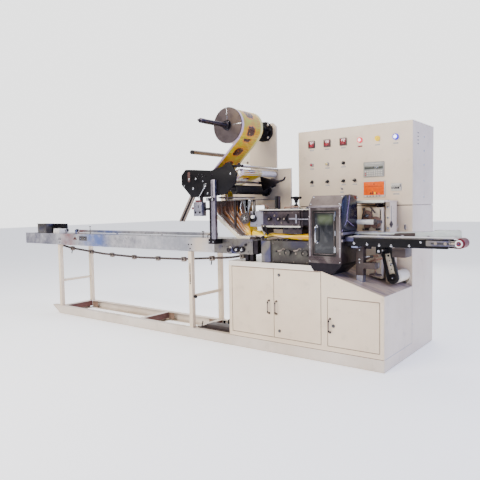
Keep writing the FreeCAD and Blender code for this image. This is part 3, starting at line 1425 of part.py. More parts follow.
def window_door():
    """Steel rim with a dark pane, hinged on pins at its right edge."""
    x0, x1, z0, z1 = window_edges()
    y1 = FRONT + WINDOW_DEPTH
    rim = block(x0, x1, FRONT, y1, z0, z1)
    rim = rim.cut(block(x0 + WINDOW_RIM, x1 - WINDOW_RIM, FRONT, y1, z0 + WINDOW_RIM, z1 - WINDOW_RIM))
    pin_x = x1 - WINDOW_PIN_INSET
    y = FRONT + WINDOW_PIN_INSET
    deep = WINDOW_PIN_LENGTH + 1
    for z in (z0, z1 - deep):
        rim = rim.cut(rod_z(z, z + deep, pin_x, y, WINDOW_PIN_RADIUS + RUNNING_FIT))
    pane_y = FRONT + PANE_SETBACK
    pane = block(x0 + WINDOW_RIM, x1 - WINDOW_RIM, pane_y, pane_y + PANE_THICKNESS,
                 z0 + WINDOW_RIM, z1 - WINDOW_RIM)
    handle_x = x0 + WINDOW_RIM + WINDOW_HANDLE_INSET
    handle_z0 = WINDOW_BOTTOM + WINDOW_HANDLE_RISE
    handle_z1 = handle_z0 + WINDOW_HANDLE_LENGTH
    bar_y = FRONT - WINDOW_HANDLE_REACH
    bar = rod_z(handle_z0, handle_z1, handle_x, bar_y, HANDLE_RADIUS)
    stub_heights = (handle_z0 + WINDOW_STUB_INSET, handle_z1 - WINDOW_STUB_INSET)
    stubs = [rod_y(bar_y, pane_y, handle_x, z, STUB_RADIUS) for z in stub_heights]
    write("window_door", joined([rim, pane, bar] + stubs))


def jaw_heights():
    middle = tube_bottom() + TUBE_HEIGHT / 2
    return middle - JAW_SPACING / 2, middle + JAW_SPACING / 2


def jaw_bearing():
    """Block on the hood's back wall with the two bores that the jaw shafts run in."""
    back = FRONT + HOOD_DEPTH - HOOD_WALL
    front = back - BEARING_BLOCK_DEPTH
    x = x_at(JAW_X)
    low, high = jaw_heights()
    margin = BEARING_MARGIN
    bearing = block(x - margin, x + margin, front, back, low - margin, high + margin)
    for z in (low, high):
        bearing = bearing.cut(rod_y(front, back - BORE_END, x, z, JAW_SHAFT_RADIUS + RUNNING_FIT))
    return bearing


def jaws():
    """Two sealing jaws on shafts across the hood, above and below the film tube."""
    x = x_at(JAW_X)
    half, radius = JAW_THICKNESS / 2, JAW_RADIUS
    y0, y1 = LINE_Y - JAW_WIDTH / 2, LINE_Y + JAW_WIDTH / 2
    end = FRONT + HOOD_DEPTH - HOOD_WALL - SHAFT_END
    for name, z in zip(("lower_jaw", "upper_jaw"), jaw_heights()):
        shaft = rod_y(y_at(JAW_SHAFT_FRONT), end, x, z, JAW_SHAFT_RADIUS)
        write(name, joined([shaft, block(x - half, x + half, y0, y1, z - radius, z + radius)]))


def end_roller_x():
    return DISCHARGE_END - ROLLER_RADIUS - BELT_THICKNESS


def discharge():
    half = DISCHARGE_WIDTH / 2
    y0, y1 = LINE_Y - half, LINE_Y + half
    inner0, inner1 = y0 - BEAM_GAP, y1 + BEAM_GAP
    outer0, outer1 = inner0 - BEAM_THICKNESS, inner1 + BEAM_THICKNESS
    left, right = x_at(HOOD_RIGHT), RIGHT + BEAM_RIGHT_REACH
    bottom = SIDE_BEAM_TOP - SIDE_BEAM_HEIGHT
    rail_top = ROLLER_Z + BEAM_RISE
    pieces = [block(left, right, outer0, inner0, bottom, rail_top)]
    pieces.append(block(left, right, inner1, outer1, bottom, rail_top))
    end_x, tail_x = end_roller_x(), x_at(TAIL_ROLLER_X)
    for x, shaft0, shaft1 in ((end_x, outer0, outer1), (tail_x, inner0, inner1)):
        pieces.append(rod_y(y0, y1, x, ROLLER_Z, ROLLER_RADIUS))
        pieces.append(rod_y(shaft0, shaft1, x, ROLLER_Z, ROLLER_SHAFT_RADIUS))
    bed_top = ROLLER_Z + ROLLER_RADIUS - BED_DROP
    pieces.append(block(tail_x + BED_INSET, right, inner0, inner1, bed_top - BED_THICKNESS, bed_top))
    bracket_x = right - BRACKET_LENGTH
    for face, out in ((outer0, -BRACKET_THICKNESS), (outer1, BRACKET_THICKNESS)):
        pieces.append(block(bracket_x, end_x + BRACKET_OVERRUN, face, face + out,
                            ROLLER_Z - BRACKET_DROP, ROLLER_Z + BRACKET_RISE))
        pieces.append(block(bracket_x - TENSION_LENGTH, bracket_x, face, face + 2 * out,
                            ROLLER_Z - TENSION_HALF, ROLLER_Z + TENSION_HALF))
    low = rail_top - BEAM_THICKNESS
    step = RIGHT + GUARD_STEP
    guard_top, guard_low = rail_top + GUARD_HIGH, rail_top + GUARD_LOW
    guard = [(left, low), (RIGHT + GUARD_END, low), (RIGHT + GUARD_END, guard_top),
             (step, guard_top - GUARD_FALL), (step - GUARD_SLOPE, guard_low), (left, guard_low)]
    pieces.append(side_profile(guard, outer1, outer1 + GUARD_THICKNESS))
    write("discharge_frame", joined(pieces))
    reach = ROLLER_RADIUS + BELT_THICKNESS / 2
    circles = [(end_x, ROLLER_Z, reach, 1), (tail_x, ROLLER_Z, reach, 1)]
    write("discharge_belt", loop(circles, BELT_THICKNESS, y0, y1))


def belt_arm():
    """Arm behind the conveyor with a pulley at each end, its shaft and the drive hub on the cabinet."""
    y0 = y_at(ARM_FACE)
    y1 = y0 + ARM_WIDTH
    top_x, low_x = x_at(ARM_TOP_X), x_at(ARM_LOW_X)
    half = ARM_BELT / 2
    circles = [(top_x, ARM_TOP_Z, ARM_TOP_RADIUS + half, 1), (low_x, ARM_LOW_Z, ARM_LOW_RADIUS + half, 1)]
    write("arm_belt", loop(circles, ARM_BELT, y0, y1))
    pieces = [rod_y(y0, y1, top_x, ARM_TOP_Z, ARM_TOP_RADIUS)]
    pieces.append(rod_y(y0, y1, low_x, ARM_LOW_Z, ARM_LOW_RADIUS))
    width = ARM_PLATE_WIDTH / 2
    plate = [(top_x - width, ARM_TOP_Z), (low_x - width, ARM_LOW_Z), (low_x + width, ARM_LOW_Z),
             (top_x + width, ARM_TOP_Z)]
    pieces.append(side_profile(plate, y1, y1 + ARM_PLATE_THICKNESS))
    pieces.append(rod_y(y1 + ARM_PLATE_THICKNESS, BACK, low_x, ARM_LOW_Z, DRIVE_HUB_RADIUS))
    shaft_y = LINE_Y + DISCHARGE_WIDTH / 2 + BEAM_GAP + BEAM_THICKNESS
    beam_bottom = SIDE_BEAM_TOP - SIDE_BEAM_HEIGHT
    pieces.append(block(top_x - ARM_LUG_HALF, top_x + ARM_LUG_HALF, shaft_y - BEAM_THICKNESS, shaft_y,
                        ARM_TOP_Z - ARM_LUG_DROP, beam_bottom))
    pieces.append(rod_y(shaft_y, y0, top_x, ARM_TOP_Z, ARM_SHAFT_RADIUS))
    write("belt_arm", joined(pieces))


def discharge_stand():
    """Post under the belt, with the nut of the screw that sets the height."""
    beam_bottom = SIDE_BEAM_TOP - SIDE_BEAM_HEIGHT
    half = DISCHARGE_WIDTH / 2 + BEAM_GAP + BEAM_THICKNESS
    x0 = x_at(STAND_X + STAND_SIZE / 2)
    x1 = x_at(STAND_X - STAND_SIZE / 2)
    post_y = LINE_Y + STAND_SETBACK
    post = [(x0, slope_height(x0)), (x1, slope_height(x1)), (x1, beam_bottom), (x0, beam_bottom)]
    x, y = x_at(HEIGHT_SCREW_X), y_at(HEIGHT_SCREW_Y)
    nut_top = NUT_Z + NUT_HEIGHT
    pieces = [side_profile(post, post_y, post_y + STAND_SIZE)]
    pieces.append(block(x0, x1, LINE_Y - half, LINE_Y + half, beam_bottom - STAND_PLATE, beam_bottom))
    pieces.append(block(x1, x1 + NUT_REACH, y - NUT_HALF, y + NUT_HALF, NUT_Z, nut_top))
    bore = rod_z(NUT_Z, nut_top, x, y, SCREW_RADIUS + RUNNING_FIT)
    write("discharge_stand", joined(pieces).cut(bore))
    wheel = rod_z(HEIGHT_WHEEL_Z, HEIGHT_WHEEL_Z + WHEEL_THICKNESS, x, y, WHEEL_RADIUS)
    screw = rod_z(HEIGHT_WHEEL_Z + WHEEL_THICKNESS, nut_top + SCREW_TOP_REACH, x, y, SCREW_RADIUS)
    collar_top = NUT_Z - NUT_GAP
    collar = rod_z(collar_top - HEIGHT_COLLAR, collar_top, x, y, 2 * SCREW_RADIUS)
    write("height_handwheel", joined([wheel, screw, collar]))


def rear_drive():
    """Gearbox behind the hood on its black base; the cream pillar and the shelf over it."""
    x0, x1 = x_at(GEARBOX_LEFT), x_at(GEARBOX_RIGHT)
    y0, y1 = y_at(GEARBOX_FRONT), y_at(GEARBOX_BACK)
    casing_y = y0 + GEAR_WIDTH
    pieces = [block(x0, x1, casing_y, y1, GEARBOX_BOTTOM, GEARBOX_TOP)]
    for distance, height, radius in GEARS:
        pieces.append(rod_y(y0, casing_y, x_at(distance), height, radius))
    base = [(x0, slope_height(x0)), (x1, slope_height(x1)), (x1, GEARBOX_BOTTOM), (x0, GEARBOX_BOTTOM)]
    pieces.append(side_profile(base, casing_y, y1))
    coupling_y = y_at(HOOD_DEPTH - COUPLING_SETBACK)
    end = x_at(COUPLING_END)
    half = COUPLING_BLOCK_HALF
    pieces.append(rod_x(x_at(HOOD_RIGHT), end, coupling_y, COUPLING_Z, COUPLING_RADIUS))
    pieces.append(block(end, end + COUPLING_BLOCK, coupling_y - COUPLING_BLOCK_FRONT, y0,
                        COUPLING_Z - half, COUPLING_Z + half))
    write("seal_gearbox", joined(pieces))
    pillar_left, pillar_right = x1 + PILLAR_GAP, x1 + PILLAR_WIDTH
    under = REAR_SHELF_Z - REAR_SHELF_THICKNESS
    pillar = [(pillar_left, slope_height(pillar_left)), (pillar_right, slope_height(pillar_right)),
              (pillar_right, under), (pillar_left, under)]
    shelf_y = y_at(HOOD_DEPTH + REAR_SHELF_SETBACK)
    rib_x = x_at(RIB_X)
    rib = [(shelf_y + RIB_SETBACK, under), (BACK, under), (BACK, under - RIB_HEIGHT)]
    pieces = [side_profile(pillar, y_at(PILLAR_FRONT), y_at(PILLAR_BACK))]
    pieces.append(block(x_at(REAR_SHELF_LEFT), x_at(REAR_SHELF_RIGHT), shelf_y, BACK, under, REAR_SHELF_Z))
    pieces.append(end_profile(rib, rib_x, rib_x + RIB_THICKNESS))
    write("rear_shelf", joined(pieces))


def build():
    os.makedirs("parts", exist_ok=True)
    base_channels()
    end_bracket()
    legs()
    cabinet_shell()
    cabinet_front()
    doors()
    control_cabinet()
    control_panel()
    tower()
    reel()
    guide_roller()
    feed_unit()
    film_web()
    mast()
    film_sensor()
    infeed_frame()
    infeed_deck()
    infeed_end_pieces()
    pusher_chain()
    infeed_drive()
    former()
    film_tube()
    fin_seal_unit()
    hood()
    window_door()
    jaws()
    discharge()
    belt_arm()
    discharge_stand()
    rear_drive()


build()
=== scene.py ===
# Pouch packing machine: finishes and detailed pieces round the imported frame.
# Places are in mm: x from the cabinet's right side, y from its front face, z from the floor.
import bmesh
import bpy
import json
import math
from mathutils import Matrix, Vector


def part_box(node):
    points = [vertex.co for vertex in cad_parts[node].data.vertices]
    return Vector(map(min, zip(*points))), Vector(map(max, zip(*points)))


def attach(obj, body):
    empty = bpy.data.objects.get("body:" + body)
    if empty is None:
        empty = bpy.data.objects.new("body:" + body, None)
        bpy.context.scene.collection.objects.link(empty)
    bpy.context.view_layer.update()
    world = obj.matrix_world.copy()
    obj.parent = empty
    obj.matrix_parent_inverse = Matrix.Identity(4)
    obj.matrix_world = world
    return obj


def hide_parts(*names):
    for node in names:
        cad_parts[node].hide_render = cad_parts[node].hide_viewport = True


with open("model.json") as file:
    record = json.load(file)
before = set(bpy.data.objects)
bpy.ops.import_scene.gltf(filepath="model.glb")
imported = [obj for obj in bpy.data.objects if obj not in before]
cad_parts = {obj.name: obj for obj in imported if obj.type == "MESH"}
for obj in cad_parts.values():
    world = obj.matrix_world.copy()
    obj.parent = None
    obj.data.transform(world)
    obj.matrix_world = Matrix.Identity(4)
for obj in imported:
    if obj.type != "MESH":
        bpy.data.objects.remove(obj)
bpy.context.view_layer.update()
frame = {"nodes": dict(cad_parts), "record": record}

MM = 0.001
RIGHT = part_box("control_cabinet")[1].x
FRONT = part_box("side_channels")[0].y
BACK = 569
LINE_Y = 120
REEL = (-1320, 1853)
ROLL_RADIUS = 143
AXES = {"x": Vector((1, 0, 0)), "y": Vector((0, 1, 0)), "z": Vector((0, 0, 1))}


def at(x, y, z):
    return Vector((RIGHT + x * MM, FRONT + y * MM, z * MM))


def rgb(red, green, blue):
    """Linear colour of an sRGB one, 0 to 255."""
    linear = [((c / 255 + 0.055) / 1.055) ** 2.4 if c > 10 else c / 3295 for c in (red, green, blue)]
    return (*linear, 1)


# Camera and light

CAMERA = (1.361, -3.440, 1.187)
YAW, PITCH, ROLL = 0.6486, 0.065, -0.0174
LENS = 38.94


def camera():
    forward = Vector((-math.sin(YAW) * math.cos(PITCH), math.cos(YAW) * math.cos(PITCH), -math.sin(PITCH)))
    level = Vector((math.cos(YAW), math.sin(YAW), 0))
    upright = level.cross(forward)
    right = level * math.cos(ROLL) + upright * math.sin(ROLL)
    up = upright * math.cos(ROLL) - level * math.sin(ROLL)
    turn = Matrix((right, up, -forward)).transposed().to_4x4()
    data = bpy.data.cameras.new("photo_camera")
    data.lens = LENS
    data.sensor_width = 36
    data.clip_end = 100
    seen = bpy.data.objects.new("photo_camera", data)
    bpy.context.collection.objects.link(seen)
    place = Vector((RIGHT + CAMERA[0], FRONT + CAMERA[1], CAMERA[2]))
    seen.matrix_world = Matrix.Translation(place) @ turn
    bpy.context.scene.camera = seen


def area_light(name, place, target, size, power, colour=(1, 1, 1)):
    data = bpy.data.lights.new(name, "AREA")
    data.shape = "RECTANGLE"
    data.size, data.size_y = size
    data.energy = power
    data.color = colour
    lamp = bpy.data.objects.new(name, data)
    lamp.location = place
    lamp.rotation_euler = (Vector(target) - Vector(place)).to_track_quat("-Z", "Y").to_euler()
    bpy.context.collection.objects.link(lamp)


def studio():
    """Bright backdrop, dimmer and bluish towards the front and right; a large warm key and a cool side light."""
    world = bpy.data.worlds.new("studio")
    bpy.context.scene.world = world
    world.use_nodes = True
    tree = world.node_tree
    facing = tree.nodes.new("ShaderNodeTexCoord").outputs["Generated"]
    parts = tree.nodes.new("ShaderNodeSeparateXYZ")
    tree.links.new(facing, parts.inputs[0])
    spans = []
    for axis, values in (("Y", (-0.3, 0.6, 0.34, 1.6)), ("X", (0, 0.8, 0, 1))):
        span = tree.nodes.new("ShaderNodeMapRange")
        tree.links.new(parts.outputs[axis], span.inputs[0])
        for key, value in enumerate(values, 1):
            span.inputs[key].default_value = value
        spans.append(span.outputs[0])
    tint = tree.nodes.new("ShaderNodeMix")
    tint.data_type = "RGBA"
    tree.links.new(spans[1], tint.inputs[0])
    tint.inputs[6].default_value = (1, 1, 1, 1)
    tint.inputs[7].default_value = (0.44, 0.57, 1.24, 1)
    tree.links.new(spans[0], tree.nodes["Background"].inputs["Strength"])
    tree.links.new(tint.outputs[2], tree.nodes["Background"].inputs["Color"])
    seen = tree.nodes.new("ShaderNodeBackground")
    seen.inputs["Strength"].default_value = 3.2
    choice = tree.nodes.new("ShaderNodeMixShader")
    tree.links.new(tree.nodes.new("ShaderNodeLightPath").outputs["Is Camera Ray"], choice.inputs[0])
    tree.links.new(tree.nodes["Background"].outputs[0], choice.inputs[1])
    tree.links.new(seen.outputs[0], choice.inputs[2])
    tree.links.new(choice.outputs[0], tree.nodes["World Output"].inputs["Surface"])
    area_light("key", (-0.6, -5.6, 4.2), (0, 0, 0.7), (4.6, 2.8), 560, (1, 0.94, 0.86))
    area_light("top", (0.4, 0.6, 5.2), (0.4, 0, 0.6), (5, 3), 130)
    area_light("side", (6.2, -0.6, 2.6), (1.5, 0, 0.9), (2.4, 2.4), 140, (0.3, 0.42, 1))
    area_light("rear", (-1.0, 5.4, 3.2), (0, 0, 0.9), (4, 2.6), 120)
    floor = Shape()
    floor.bm.faces.new([floor.bm.verts.new(p) for p in ((-30, -30, 0), (30, -30, 0), (30, 30, 0), (-30, 30, 0))])
    floor.thing("floor", MATERIALS["floor"])


# Materials

class Nodes:
    """Short hand for a material's node tree."""

    def __init__(self, name):
        self.material = bpy.data.materials.new(name)
        self.material.use_nodes = True
        self.tree = self.material.node_tree
        self.shader = self.tree.nodes["Principled BSDF"]
        self.space = self.node("ShaderNodeTexCoord").outputs["Object"]

    def node(self, kind, inputs=None, **settings):
        made = self.tree.nodes.new(kind)
        for name, value in settings.items():
            setattr(made, name, value)
        for key, value in (inputs or {}).items():
            if isinstance(value, bpy.types.NodeSocket):
                self.tree.links.new(value, made.inputs[key])
            else:
                made.inputs[key].default_value = value
        return made

    def stretched(self, scale):
        return self.node("ShaderNodeMapping", {0: self.space, "Scale": scale}).outputs[0]

    def noise(self, scale, detail=4, rough=0.55, stretch=None, distort=0):
        space = self.stretched(stretch) if stretch else self.space
        inputs = {"Vector": space, "Scale": scale, "Detail": detail, "Roughness": rough, "Distortion": distort}
        return self.node("ShaderNodeTexNoise", inputs).outputs["Fac"]

    def span(self, value, low, high, out_low=0.0, out_high=1.0):
        inputs = {0: value, 1: low, 2: high, 3: out_low, 4: out_high}
        return self.node("ShaderNodeMapRange", inputs).outputs[0]

    def math(self, kind, first, second=0.0):
        return self.node("ShaderNodeMath", {0: first, 1: second}, operation=kind).outputs[0]

    def mix(self, share, first, second, kind="MIX"):
        made = self.node("ShaderNodeMix", {0: share, 6: first, 7: second}, data_type="RGBA", blend_type=kind)
        return made.outputs[2]

    def edges(self, width):
        """1 along sharp edges, 0 on flat areas."""
        bevel = self.node("ShaderNodeBevel", {"Radius": width}, samples=4).outputs[0]
        normal = self.node("ShaderNodeNewGeometry").outputs["Normal"]
        dot = self.node("ShaderNodeVectorMath", {0: bevel, 1: normal}, operation="DOT_PRODUCT").outputs["Value"]
        return self.span(dot, 0.97, 0.8)

    def creases(self, distance):
        """Ambient occlusion mask for painted shade: 1 in corners and gaps, 0 in the open."""
        shade = self.node("ShaderNodeAmbientOcclusion", {"Distance": distance}, samples=6).outputs["AO"]
        return self.span(shade, 0.75, 0.25)

    def use(self, **sockets):
        for name, value in sockets.items():
            socket = self.shader.inputs[name.replace("_", " ")]
            if isinstance(value, bpy.types.NodeSocket):
                self.tree.links.new(value, socket)
            else:
                socket.default_value = value
        return self.material

    def bump(self, height, strength, distance, rounded=0):
        inputs = {"Height": height, "Strength": strength, "Distance": distance}
        if rounded:
            inputs["Normal"] = self.node("ShaderNodeBevel", {"Radius": rounded}, samples=4).outputs[0]
        return self.node("ShaderNodeBump", inputs).outputs[0]


def paint(name, colour, shade, dirt_and_shade=rgb(96, 78, 62), rough=0.38, worn=None, grain=260, rounded=1.2 * MM,
          specular=0.5):
    """Sprayed paint: slight orange peel, blotchy tone, dust and painted shade in the corners, worn edges."""
    n = Nodes(name)
    tone = n.mix(n.span(n.noise(2.3), 0.35, 0.7), colour, shade)
    stains = n.math("MULTIPLY", n.span(n.noise(9, 8, 0.7), 0.56, 0.74), 0.22)
    tone = n.mix(stains, tone, dirt_and_shade)
    # Corners found by ambient occlusion take the dirt colour: painted shade as well as dust.
    corner = n.math("MULTIPLY", n.creases(0.035), n.span(n.noise(30, 6), 0.25, 0.7))
    tone = n.mix(n.math("MULTIPLY", corner, 0.5), tone, dirt_and_shade)
    if worn:
        edge = n.math("MULTIPLY", n.edges(1.6 * MM), n.span(n.noise(45, 6), 0.45, 0.62))
        tone = n.mix(n.math("MULTIPLY", edge, 0.8), tone, worn)
    sheen = n.span(n.noise(14, 5), 0.3, 0.7, rough - 0.07, rough + 0.1)
    return n.use(Base_Color=tone, Roughness=sheen, Specular_IOR_Level=specular,
                 Normal=n.bump(n.noise(grain, 2), 0.06, 0.6 * MM, rounded))


def metal(name, colour, shade, rough=0.3, brushed=None, tint=None, dirt_and_shade=None, grain=900, spread=0.1, scale=3.0):
    """Bare metal: brushed or rolled, with blotches, painted reflections in patches of a second tone, and a little grime
    with painted shade in the corners.
    """
    n = Nodes(name)
    tone = n.mix(n.span(n.noise(scale, 6, 0.65), 0.3, 0.7), colour, shade)
    # Random patches of the second tone: painted reflections.
    if tint:
        tone = n.mix(n.span(n.noise(1.7 * scale, 3, 0.5, distort=0.8), 0.5, 0.64), tone, tint)
    # Grime spots, and corners found by ambient occlusion as painted shade, both in the dirt colour.
    if dirt_and_shade:
        spots = n.span(n.noise(24, 9, 0.75), 0.52, 0.7)
        corner = n.math("MAXIMUM", n.creases(0.02), n.math("MULTIPLY", spots, 0.45))
        tone = n.mix(n.math("MULTIPLY", corner, 0.75), tone, dirt_and_shade)
    stretch = brushed or (1, 1, 1)
    lines = n.noise(grain, 3, 0.6, stretch=stretch)
    sheen = n.math("ADD", n.span(n.noise(7, 6, 0.7), 0.3, 0.7, rough - spread, rough + spread),
                   n.span(lines, 0.3, 0.7, -0.04, 0.05))
    return n.use(Base_Color=tone, Metallic=1.0, Roughness=sheen,
                 Normal=n.bump(lines, 0.1 if brushed else 0.05, 0.3 * MM, 0.9 * MM))


def moulded(name, colour, shade, rough=0.45, coat=0.0, grain=700, glow=0.0, dust=0.25, specular=0.5):
    """Moulded plastic, rubber or a lens, with fine grain and dust."""
    n = Nodes(name)
    tone = n.mix(n.span(n.noise(40, 5), 0.35, 0.65), colour, shade)
    tone = n.mix(n.math("MULTIPLY", n.span(n.noise(120, 8, 0.75), 0.5, 0.75), dust), tone, rgb(150, 142, 134))
    n.use(Base_Color=tone, Roughness=n.span(n.noise(60, 4), 0.3, 0.7, rough - 0.08, rough + 0.1),
          Normal=n.bump(n.noise(grain, 2), 0.12, 0.2 * MM, 0.5 * MM), Coat_Weight=coat, Specular_IOR_Level=specular)
    if glow:
        n.use(Emission_Color=tone, Emission_Strength=glow)
    return n.material


def film_print(n, along, across, repeat=0.155, width=0.29):
    """Generic wrapper print: ragged maroon motifs with amber rims on yellow-green, pale lilac at the near edge."""
    yellow = n.mix(n.span(n.noise(6, 4), 0.35, 0.7), rgb(214, 172, 4), rgb(180, 128, 8))
    green = n.mix(n.math("MULTIPLY", n.span(n.noise(9, 3, distort=0.6), 0.46, 0.64), 0.8), yellow, rgb(176, 178, 22))
    step = n.math("FRACT", n.math("DIVIDE", along, repeat))
    share = n.math("DIVIDE", across, width)
    half = n.math("DIVIDE", n.math("ABSOLUTE", n.math("SUBTRACT", step, 0.5)), 0.27)
    side = n.math("DIVIDE", n.math("ABSOLUTE", n.math("SUBTRACT", share, 0.48)), 0.17)
    round_off = n.math("ADD", n.math("POWER", half, 3.0), n.math("POWER", side, 3.0))
    ragged = n.span(n.noise(52, 4, 0.65), 0.3, 0.7, -0.55, 0.55)
    reach = n.math("ADD", round_off, ragged)
    tone = n.mix(n.span(reach, 2.6, 1.7, 0, 0.85), green, rgb(222, 132, 16))
    tone = n.mix(n.span(reach, 1.15, 0.95), tone, rgb(54, 12, 22))
    spots = n.math("MULTIPLY", n.span(n.noise(74, 3), 0.6, 0.64), n.span(reach, 0.8, 0.6))
    tone = n.mix(spots, tone, rgb(196, 120, 50))
    bars = n.math("LESS_THAN", n.math("FRACT", n.math("MULTIPLY", step, 7)), 0.35)
    column = n.math("LESS_THAN", n.math("ABSOLUTE", n.math("SUBTRACT", share, 0.8)), 0.05)
    tone = n.mix(n.math("MULTIPLY", n.math("MULTIPLY", bars, column), 0.7), tone, rgb(196, 96, 20))
    far_edge = n.math("GREATER_THAN", share, 0.92)
    tone = n.mix(n.math("MULTIPLY", far_edge, 0.7), tone, rgb(226, 222, 150))
    return n.mix(n.math("LESS_THAN", share, 0.1), tone, rgb(206, 180, 194))


def film_material(name, placed):
    """Glossy printed film; placed makes the lengths along and across the web."""
    n = Nodes(name)
    along, across = placed(n)
    tone = film_print(n, along, across)
    creases = n.noise(20, 5, 0.6, stretch=(1, 0.25, 1))
    return n.use(Base_Color=tone, Roughness=n.span(creases, 0.3, 0.7, 0.16, 0.34), Coat_Weight=0.3,
                 Normal=n.bump(creases, 0.35, 2.5 * MM))


def uv_lengths(n):
    """U and V of the film meshes are their own lengths in metres."""
    spot = n.node("ShaderNodeUVMap", uv_map="film").outputs[0]
    parts = n.node("ShaderNodeSeparateXYZ", {0: spot})
    return parts.outputs[0], parts.outputs[1]


